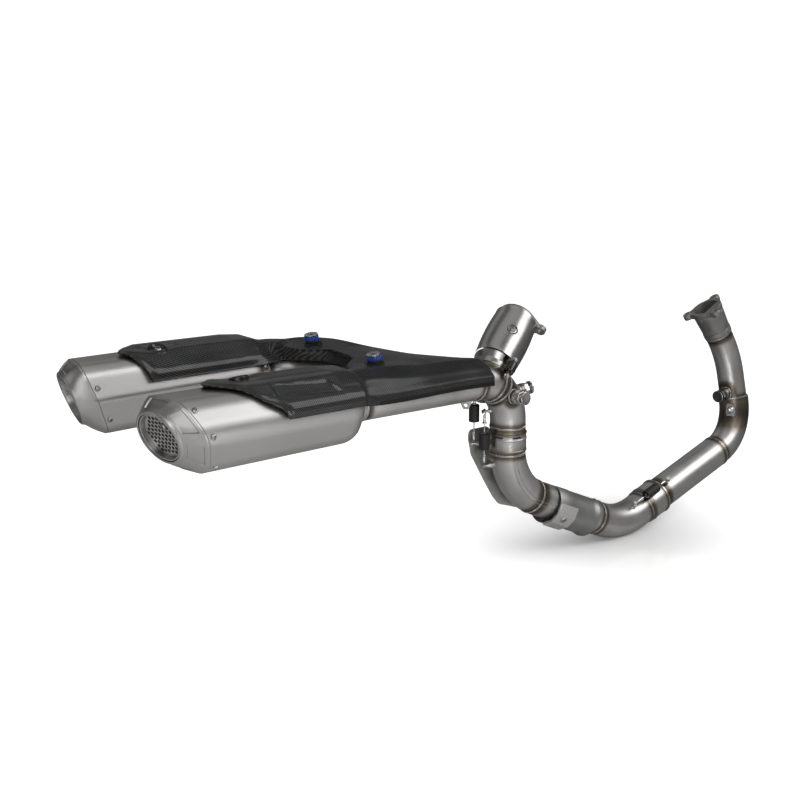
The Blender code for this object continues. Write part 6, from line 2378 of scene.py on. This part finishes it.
@dataclass
class Hanger:
    """One hanger: steel top-hat washer, ribbed bush, bracket, and the cover's pad under them."""

    side: Side
    hanger_y: float = 0.0785
    lean: float = radians(10)
    washer_r: float = 0.0102
    washer_thick: float = 0.0022
    tube_r: float = 0.005
    bore_r: float = 0.0032
    bush_r: float = 0.0108
    bush_tall: float = 0.0085
    rib_tall: float = 0.0058
    ribs: int = 22
    pad_tall: float = 0.0115
    bracket_thick: float = 0.004
    bracket_half: float = 0.012

    def build(self) -> None:
        """Make and dress the hanger."""
        word, tail = self.side.word, Body.TAIL
        spot = Matrix.Translation((0.0, self.side.value * self.hanger_y, 0.0))
        place = spot @ Matrix.Rotation(-self.lean, 4, "Y")
        drop = self.washer_thick + self.bush_tall + 2 * GAP
        foot = -drop - self.pad_tall - self.bracket_thick - GAP
        loops = [circle(self.washer_r, 48), circle(self.bore_r, 24)]
        loops += [circle(0.00105, 12, (s * 0.0068, 0.0)) for s in (-1, 1)]
        disc = plate(loops, self.washer_thick, place @ lift(-self.washer_thick), 0.0004)
        top = -self.washer_thick + 0.0003
        profile = [(self.tube_r, top), (self.tube_r, foot), (self.bore_r, foot), (self.bore_r, top)]
        mesh = together([disc, lathe(profile, place, 32, closed=True)])
        piece(f"{word}_washer", mesh, BRIGHT, tail, f"{word}_hanger_washer")
        self.build_bush(place)
        inner, low = self.tube_r + 0.0004, -self.pad_tall - 0.001
        levels = [
            (0.016, low), (0.0168, low + 0.002), (0.0136, -0.0012), (0.0126, 0.0), (inner, 0.0),
            (inner, low),
        ]
        rings = [[place @ Vector((x, y, z - drop)) for x, y in circle(r, 8)] for r, z in levels]
        piece(f"{word}_pad", loft(rings, wrap=True), PLAIN, tail, crease=12)
        self.build_bracket(place, -drop - self.pad_tall - GAP)

    def build_bush(self, place: Matrix) -> None:
        """Ribbed bush with a notched collar.

        Args:
            place: the hanger's frame.
        """
        top = -self.washer_thick - GAP
        outline = []
        for i in range(self.ribs):
            for share, r in ((0.0, 0.0), (0.48, 0.0), (0.56, 0.0016), (0.92, 0.0016)):
                outline.append(polar(self.bush_r - r, tau * (i + share) / self.ribs))
        high, low = top - self.rib_tall, top - self.bush_tall
        loops = [outline, circle(self.tube_r + 0.0003, 28)]
        ribs = plate(loops, self.rib_tall, place @ lift(high), 0.0003)
        word = self.side.word
        piece(f"{word}_bush", ribs, BUSHING, Body.TAIL, f"{word}_hanger_bush")
        profile = [(0.0053, high), (0.0094, high), (0.0094, high - 0.0012), (0.0104, low + 0.0008)]
        profile += [(0.0104, low), (0.0053, low)]
        collar = lathe(fillet(profile, 0.0003), place, 40, closed=True)
        piece(f"{word}_bush_collar", collar, RUBBER, Body.TAIL)

    def build_bracket(self, place: Matrix, top: float) -> None:
        """Bracket from the pad down to the link pipe.

        Args:
            place: the hanger's frame.
            top: height of the bracket's table.
        """
        half, thick, side = self.bracket_half, self.bracket_thick, self.side.value
        square = fillet([(half, half), (-half, half), (-half, -half), (half, -half)], 0.004, 4)
        table = plate(
            [square, circle(self.tube_r + GAP, 28)], thick, place @ lift(top - thick), 0.0005
        )
        low, high = sorted((side * (self.tube_r + 0.0015), side * half))
        foot, root = top - 0.03, top - thick / 2
        web = fillet([(low, foot), (high, foot), (high, root), (low, root)], 0.0005)
        quarter = radians(90)
        upright = place @ Matrix.Rotation(quarter, 4, "Y") @ Matrix.Rotation(quarter, 4, "Z")
        ear = plate([web], thick, upright @ lift(-thick / 2), 0.0004)
        line = RUN if self.side is Side.RIGHT else LEFT_RUN
        saddle = sweep(longer(trim(line, LINK_WELD, LINK_AXIS), 0.01), PIPE_R + GAP, 40)
        word = self.side.word
        mesh = carved([table, ear], [saddle])
        piece(f"{word}_bracket", mesh, BRIGHT, Body.TAIL, f"{word}_hanger_bracket")


@dataclass
class CarbonCover:
    """Carbon shell: two arms over the mufflers, a bridge and a nose."""

    wall: float = 0.002
    arm: tuple = (
        (0.0605, 0.013, -0.208), (0.0585, 0.027, -0.216), (0.049, 0.041, -0.238),
        (0.038, 0.0515, -0.254), (0.022, 0.0585, -0.272), (-0.008, 0.0595, -0.298),
        (-0.028, 0.0575, -0.29), (-0.045, 0.04, -0.275), (-0.054, 0.022, -0.266),
    )
    arm_end: float = -0.086
    arm_drop: float = 0.006
    bridge: tuple = (
        (
            (-66, -158, -50), (-66, -158, -42), (-66, -157, -34), (-66, -153, -26),
            (-66, -146, -15), (-66, -122, -7), (-66, -103, -9), (-60, -91, -23), (-52, -80, -31),
            (-36, -60, -31), (-8, -31, -31), (-4, 0, -31),
        ),
        (
            (-45, -158, -52), (-45, -158, -45), (-45, -156, -37), (-45, -149, -28),
            (-45, -142, -17), (-46, -119, -8), (-48, -103, -9), (-46, -94, -12), (-42, -84, -14),
            (-32, -61, -15), (-2, -31, -15), (2, 0, -15),
        ),
    )
    body: tuple = (
        (
            0, (-152, -55, -151, -41, -138, -23, -114, -12, -95, -13),
            (-66, -16, -34, -15, 0, -15, 34, -15, 66, -16),
            (95, -13, 110, -10, 128, -20, 137, -38, 138, -50),
        ),
        (
            40, (-145, -57, -144, -43, -131, -27, -106, -17, -87, -17),
            (-64, -18, -38, -17, -10, -16, 18, -16, 44, -16),
            (64, -13, 78, -12, 92, -20, 101, -36, 102, -48),
        ),
        (
            80, (-137, -59, -136, -45, -121, -31, -97, -24, -79, -23),
            (-60, -22, -40, -22, -20, -22, 0, -22, 20, -22),
            (34, -22, 48, -23, 61, -29, 69, -41, 70, -52),
        ),
        (
            125, (-128, -62, -127, -48, -113, -35, -90, -27, -73, -27),
            (-62, -27, -50, -28, -38, -29, -26, -30, -14, -31),
            (2, -32, 18, -34, 31, -40, 39, -48, 40, -57),
        ),
        (
            165, (-122, -65, -121, -51, -107, -38, -83, -31, -68, -31),
            (-62, -32, -56, -33, -50, -34, -44, -35, -36, -36),
            (-24, -37, -10, -39, 3, -44, 11, -51, 12, -59),
        ),
        (
            190, (-118, -67, -117, -53, -103, -41, -80, -34, -71, -35),
            (-66, -35, -62, -36, -58, -37, -52, -38, -46, -39),
            (-38, -40, -28, -42, -20, -47, -13, -54, -12, -61),
        ),
    )
    band: float = 0.0085
    raised: float = 0.0026
    window: tuple = ((-0.222, 0.058), (-0.132, 0.052), (-0.113, 0.024), (-0.224, 0.032))
    window_deep: float = 0.0026
    window_edge: float = 0.006
    bolt: Pair = (-0.24, -0.018)
    strip_wide: float = 0.75
    samples: int = 400
    arm_steps: int = 60
    middle: int = 23
    middle_span: int = 6
    join_back: int = 8
    body_steps: tuple = (4, 6, 7, 8, 8, 9, 8, 6)
    nose_from: float = -0.076

    def __post_init__(self) -> None:
        """Measure the arm's width and choose the columns."""
        self.table = [Vector(p) for p in self.arm]
        self.last = len(self.arm) - 1
        fine = [catmull(self.table, at) for at in spaced(0.0, self.last, self.samples + 1)]
        self.run = [0.0]
        for a, b in zip(fine, fine[1:]):
            self.run.append(self.run[-1] + (b - a).to_2d().length)
        wide = self.run[-1]
        self.rim = [0.0, 0.0012, 0.005, self.band, self.band + 0.001]
        self.lengths = [*self.rim, *spaced(0.012, 0.066, 28), *spaced(0.07, wide - 0.012, 23)]
        self.lengths += [wide - step for step in self.rim[::-1]]
        self.columns = [self.column_at(length) for length in self.lengths]

    def column_at(self, length: float) -> float:
        """Place in the arm's table at a length from its outer edge.

        Args:
            length: the length.

        Returns:
            The place, counted in columns.
        """
        for i, (a, b) in enumerate(zip(self.run, self.run[1:])):
            if a <= length <= b:
                return (i + (length - a) / max(b - a, 1e-9)) * self.last / self.samples
        return float(self.last)

    def arm_point(self, at: float, x: float) -> Vector:
        """Point of the right arm.

        Args:
            at: place across it, counted in columns of its table.
            x: place along it.

        Returns:
            The point.
        """
        outward, up, _ = catmull(self.table, at)
        along = (x - RIM_X) / (FRONT_X - RIM_X)
        scale = 1 + (FRONT_SCALE - 1) * along * 0.5
        share = clamp((up - 0.032) / 0.012)
        drop = self.arm_drop * along * (0.3 + 0.7 * share)
        return Vector((x, -MUFFLER_Y - outward * scale, MUFFLER_Z + up * scale - drop))

    def arm_rows(self) -> list[list[tuple[Vector, float]]]:
        """Rows of the right arm from rear to front, each point with its distance from the edge.

        Returns:
            The rows.
        """
        rears = [catmull(self.table, at).z for at in self.columns]
        lean = []
        for i in range(len(rears)):
            a, b = max(0, i - 1), min(len(rears) - 1, i + 1)
            slope = (rears[b] - rears[a]) / max(1e-6, self.lengths[b] - self.lengths[a])
            lean.append(hypot(1.0, slope))
        wide = self.lengths[-1]
        places = [(step, 0.0) for step in self.rim]
        places += [(self.rim[-1], share) for share in spaced(0.0, 1.0, self.arm_steps + 1)[1:]]
        rows = []
        for step, share in places:
            row = []
            for at, rear, tilt, length in zip(self.columns, rears, lean, self.lengths):
                x = rear + step * tilt
                x += (self.arm_end - x) * share
                edge = min((x - rear) / tilt, length, wide - length)
                row.append((self.arm_point(at, x), edge))
            rows.append(row)
        return rows

    def raise_at(self, point: Vector, edge: float, length: float) -> float:
        """How far a point of the right arm stands off the table's surface.

        Args:
            point: the point.
            edge: its distance from the arm's edge.
            length: its length from the outer edge.

        Returns:
            The distance.
        """
        share = clamp((edge - 0.0012) / (self.band - 0.0012))
        fade = clamp((self.arm_end - point.x) / 0.03)
        out = self.raised * share * fade
        spot = Vector((self.bolt[0], -MUFFLER_Y - self.bolt[1]))
        near = hypot((point.x - spot.x) / 1.25, point.y - spot.y)
        out *= clamp((near - 0.013) / 0.016)
        return out - self.window_deep * self.window_share(point.x, length)

    def window_share(self, x: float, length: float) -> float:
        """How deep a point lies in the flank's window, from 0 to 1.

        Args:
            x: the point's place along the arm.
            length: its length from the outer edge.

        Returns:
            The share of the full depth.
        """
        depth = 1.0
        for (ax, al), (bx, bl) in zip(self.window, self.window[1:] + self.window[:1]):
            side = Vector((bx - ax, bl - al)).normalized()
            off = (x - ax) * -side.y + (length - al) * side.x
            depth = min(depth, -off)
        share = clamp(depth / self.window_edge)
        return share * share * (3 - 2 * share)

    def whole_row(self, points: Sequence[Vector], soft: float) -> list[Vector]:
        """A row of the body sampled at the fine columns.

        Args:
            points: the row's points in the table.
            soft: 0 for straight pieces, 1 for a full curve.

        Returns:
            The finer row.
        """
        inner = self.last + self.middle_span
        places = self.columns + spaced(self.last, inner, self.middle + 2)[1:-1]
        places += [inner + self.last - at for at in self.columns[::-1]]
        return [catmull(points, at, soft) for at in places]

    def body_rows(self) -> list[list[Vector]]:
        """Rows of the bridge and body in the tables' own stations.

        Returns:
            The rows, from rear to front.
        """
        rows = []
        for half in self.bridge:
            right = [Vector(p) * 0.001 for p in half]
            left = [Vector((p.x, -p.y, p.z)) for p in right[-2::-1]]
            rows.append(self.whole_row(right + left, 0.55))
        for x, *parts in self.body:
            sets = [[Vector((x, p[i], p[i + 1])) * 0.001 for i in range(0, 10, 2)] for p in parts]
            for k in (0, 2):
                line = [sets[k][0]]
                for a, b in zip(sets[k], sets[k][1:]):
                    line += [a.lerp(b, 0.5), b]
                sets[k] = line
            rows.append(self.whole_row(sets[0] + sets[1] + sets[2], 0.9))
        return rows

    def shell(self) -> Mesh:
        """The whole surface, before it gets its thickness.

        Returns:
            The mesh, with a second finish on the strip along the body's lower edges, near-black as
            painted shade on the turned-down rim.
        """
        arm_rows = self.arm_rows()
        width = len(self.columns)
        total = 2 * width + self.middle
        rows = []
        for line in arm_rows:
            right = [(p, self.raise_at(p, e, n)) for (p, e), n in zip(line, self.lengths)]
            left = [(Vector((p.x, -p.y, p.z)), r) for p, r in right[::-1]]
            rows.append(right + [None] * self.middle + left)
        ends = (rows[-self.join_back], rows[-1])
        base = [[q[0] if q else None for q in row] for row in ends] + self.body_rows()
        for k, steps in enumerate(self.body_steps, 1):
            for i in range(1, steps + 1):
                line = []
                for c in range(total):
                    if base[k][c] is None:
                        line.append((base[k + 1][c], 0.0) if i == steps else None)
                        continue
                    before = base[k - 1][c] if base[k - 1][c] is not None else base[k][c]
                    after = base[k + 2][c] if k + 2 < len(base) else base[k + 1][c]
                    knots = [before, base[k][c], base[k + 1][c], after]
                    line.append((catmull(knots, 1 + i / steps, 0.8), 0.0))
                rows.append(line)
        points, offsets, numbers, faces, strip = [], [], [], [], []
        for row in rows:
            numbers.append([])
            for cell in row:
                numbers[-1].append(None if cell is None else len(points))
                if cell is not None:
                    points.append(cell[0])
                    offsets.append(cell[1])
        runs = self.lengths_over(rows)
        corners = []
        for i in range(len(rows) - 1):
            for j in range(total - 1):
                spots = ((i, j), (i, j + 1), (i + 1, j + 1), (i + 1, j))
                ids = tuple(numbers[a][b] for a, b in spots)
                if None not in ids:
                    faces.append(ids)
                    corners.append(tuple(runs[s] for s in spots))
                    column = min(j, total - 2 - j)
                    edge = column < width and self.columns[column] < self.strip_wide
                    strip.append(1 if edge and i > len(arm_rows) + self.join_back else 0)
        mesh = mesh_of(points, faces, corners)
        if sum(p.normal.z * p.area for p in mesh.polygons) < 0:
            mesh.flip_normals()
        moves = [v.normal * off for v, off in zip(mesh.vertices, offsets)]
        for v, move in zip(mesh.vertices, moves):
            v.co += move
        mesh.polygons.foreach_set("material_index", strip)
        return mesh

    @staticmethod
    def lengths_over(rows: Sequence) -> dict[tuple[int, int], Pair]:
        """Lengths across and along the cloth at each grid place.

        Args:
            rows: the grid, with None where there is no surface.

        Returns:
            The two lengths by row and column.
        """
        made = {}
        for i, row in enumerate(rows):
            u = 0.0
            for j, cell in enumerate(row):
                if cell is None:
                    continue
                if j and row[j - 1] is not None:
                    u += (cell[0] - row[j - 1][0]).length
                if i and rows[i - 1][j] is not None:
                    v = made[(i - 1, j)][1] + (cell[0] - rows[i - 1][j][0]).length
                else:
                    v = cell[0].x
                made[(i, j)] = (u, v)
        return made

    def build(self) -> None:
        """Make and dress the shell and its bolts."""
        obj = placed("cover_base", self.shell())
        wall = obj.modifiers.new("wall", "SOLIDIFY")
        wall.thickness = self.wall
        wall.offset = -1.0
        final = evaluated(obj)
        strip = [p.material_index or 2 * (p.center.x > self.nose_from) for p in final.polygons]
        shown = piece("cover_shell", final, CLOTH, Body.TAIL, "carbon_cover", crease=22)
        for finish in (PLAIN, SOFT):
            shown.data.materials.append(finish.material())
        shown.data.polygons.foreach_set("material_index", strip)
        for side in Side:
            self.build_bolt(side)

    def build_bolt(self, side: Side) -> None:
        """Bolt, its black seat and the spacer under the arm.

        Args:
            side: which arm.
        """
        x, outward = self.bolt
        word = side.word
        low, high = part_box(f"{word}_cover_bolt")
        seat = Vector((x, side.value * (MUFFLER_Y + outward), high.z - 0.003))
        lean = aim(seat, (0.0, side.value * -0.4, 1.0))
        # Glossy black rubber seat; its black also paints the shade in the recess round the bolt.
        profile = [(0.0, -0.009), (0.0138, -0.009), (0.0148, 0.0002), (0.0132, 0.0022)]
        profile += [(0.0108, 0.0018), (0.0078, -0.0006), (0.0, -0.0006)]
        disc = lathe(fillet(profile, 0.0008, closed=False), lean, 40)
        piece(f"{word}_bolt_seat", disc, GLOSS_RUBBER, Body.TAIL)
        shank = [(0.0, low.z - seat.z), (0.003, low.z - seat.z), (0.003, 0.0), (0.0, 0.0)]
        head = [socket_screw(lean, 0.0055, 0.003), lathe(shank, Matrix.Translation(seat), 20)]
        piece(f"{word}_bolt", together(head), BRIGHT, Body.TAIL, f"{word}_cover_bolt")
        heights = [corner.z - seat.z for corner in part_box(f"{word}_cover_spacer")]
        mesh = band((0.0033, 0.006), heights, 0.0006, Matrix.Translation(seat), 28)
        piece(f"{word}_spacer", mesh, RUBBER, Body.TAIL, f"{word}_cover_spacer")


@dataclass
class Studio:
    """Camera, floor, lights and surroundings."""

    place: tuple = (-1.4983, -2.1751, 0.5987)
    look: tuple = (0.5745, 0.7793, -0.2504)
    lens: float = 84.6
    floor_size: float = 80.0
    room: tuple = ((0.0, 0.2), (0.5, 0.22), (0.58, 0.17), (0.66, 0.04), (1.0, 0.18))
    lights: tuple = (
        ("overhead", (0.15, 0.1, 1.8), (0.15, 0.0, -0.1), (2.6, 1.3), 4.0),
        ("right_key", (1.9, -1.55, 1.55), (0.15, 0.0, -0.1), (2.2, 1.5), 34.0),
        ("front_fill", (-0.5, -2.2, 1.9), (0.15, 0.0, -0.1), (2.0, 1.0), 22.0),
        ("camera_fill", (-2.2, -2.6, 0.8), (0.2, 0.0, -0.1), (2.4, 1.4), 18.0),
        ("low_strip", (-0.05, -0.95, -0.22), (0.25, 0.0, -0.22), (0.14, 0.4), 0.9),
        ("back_panel", (0.9, 3.0, 2.0), (0.2, 0.0, -0.1), (3.0, 1.6), 5.0),
        ("left_panel", (-3.0, 1.2, 1.4), (0.0, 0.0, -0.1), (2.0, 1.6), 6.0),
    )

    def build(self, low: float) -> None:
        """Set up the studio.

        Args:
            low: height of the object's lowest point.
        """
        scene = bpy.context.scene
        scene.view_settings.view_transform = "Standard"
        data = bpy.data.cameras.new("camera")
        data.sensor_width = 36.0
        data.lens = self.lens
        data.clip_end = 300.0
        scene.camera = self.stand("camera", data, Vector(self.place), Vector(self.look))
        for name, place, target, size, power in self.lights:
            self.light(name, Vector(place), Vector(target), size, power)
        self.surroundings()
        self.floor(low)

    def light(self, name: str, place: Vector, target: Vector, size: Pair, power: float) -> None:
        """One soft rectangle of light.

        Args:
            name: its name.
            place: where it stands.
            target: what it faces.
            size: its width and height.
            power: in watts.
        """
        data = bpy.data.lights.new(name, "AREA")
        data.shape = "RECTANGLE"
        data.size, data.size_y = size
        data.energy = power
        self.stand(name, data, place, target - place)

    @staticmethod
    def stand(name: str, data: bpy.types.ID, place: Vector, way: Vector) -> Object:
        """A camera or light at its place.

        Args:
            name: its name.
            data: what the object is.
            place: where it stands.
            way: direction it looks in.

        Returns:
            The object.
        """
        obj = placed(name, data)
        obj.location = place
        obj.rotation_mode = "QUATERNION"
        obj.rotation_quaternion = way.to_track_quat("-Z", "Y")
        return obj

    def surroundings(self) -> None:
        """A dim room that is white to the camera."""
        world = bpy.data.worlds.new("studio")
        bpy.context.scene.world = world
        world.use_nodes = True
        g = Graph(world.node_tree)
        way = g.add("ShaderNodeTexCoord").outputs["Generated"]
        height = g.add("ShaderNodeSeparateXYZ", {0: way}).outputs[2]
        stops = [(place, (grey,) * 3) for place, grey in self.room]
        room = g.ramp(g.spread(height, -1.0, 1.0, 0.0, 1.0), stops)
        seen = g.add("ShaderNodeLightPath").outputs["Is Camera Ray"]
        colour = g.mix(seen, room, (1.0, 1.0, 1.0, 1.0))
        back = g.add("ShaderNodeBackground", {"Color": colour, "Strength": 1.0})
        g.add("ShaderNodeOutputWorld", {0: back.outputs[0]})

    def floor(self, low: float) -> None:
        """Pale floor that glows, weakly near the elbow so that shadows show and plain white far
        from the object. To reflections it glows little and darkens towards the back: painted shade
        in what the metal reflects.

        Args:
            low: the floor's height.
        """
        half = self.floor_size / 2
        mesh = bpy.data.meshes.new("floor")
        corners = [(-half, -half, low), (half, -half, low), (half, half, low), (-half, half, low)]
        mesh.from_pydata(corners, [], [(0, 1, 2, 3)])
        made, g = fresh_material("glowing_pale_floor")
        place = g.add("ShaderNodeTexCoord").outputs["Object"]
        apart = g.vector("DISTANCE", place, (ELBOW.x, ELBOW.y, low))
        seen = g.add("ShaderNodeLightPath").outputs["Is Camera Ray"]
        # Painted light: the floor's glow, weak at the elbow and strong far away, a twentieth as
        # strong in reflections.
        near = g.spread(apart, 0.03, 0.34, 0.1, 0.95)
        floor_glow = g.math("MULTIPLY", near, g.spread(seen, 0.0, 1.0, 0.05, 1.0))
        # Painted shade in reflections: seen by other rays than the camera's, the floor darkens from
        # front to back.
        deep = g.spread(g.vector("DOT_PRODUCT", place, (0.593, 0.805, 0.0)), -0.5, 0.7, 0.0, 1.0)
        base = g.mix(deep, tone((0.95,) * 3), tone((0.06,) * 3))
        base = g.mix(seen, base, tone((0.9,) * 3))
        feeds = {"Base Color": base, "Roughness": 0.16}
        g.surface(feeds | {"Emission Strength": 1.0, "Emission Color": g.grey(floor_glow)})
        mesh.materials.append(made)
        placed("floor", mesh)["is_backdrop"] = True


def main() -> None:
    """Build every sub-assembly in order."""
    logging.basicConfig(level=logging.INFO, format="%(name)s: %(message)s")
    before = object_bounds()
    for side in Side:
        Muffler(side).build()
    LinkPipe().build()
    Collector().build()
    MidPipe().build()
    Guards().build()
    FrontHeader().build()
    RearHeader().build()
    Springs().build()
    CarbonCover().build()
    for side in Side:
        Hanger(side).build()
    Studio().build(before[0].z)


if __name__ == "__main__":
    main()
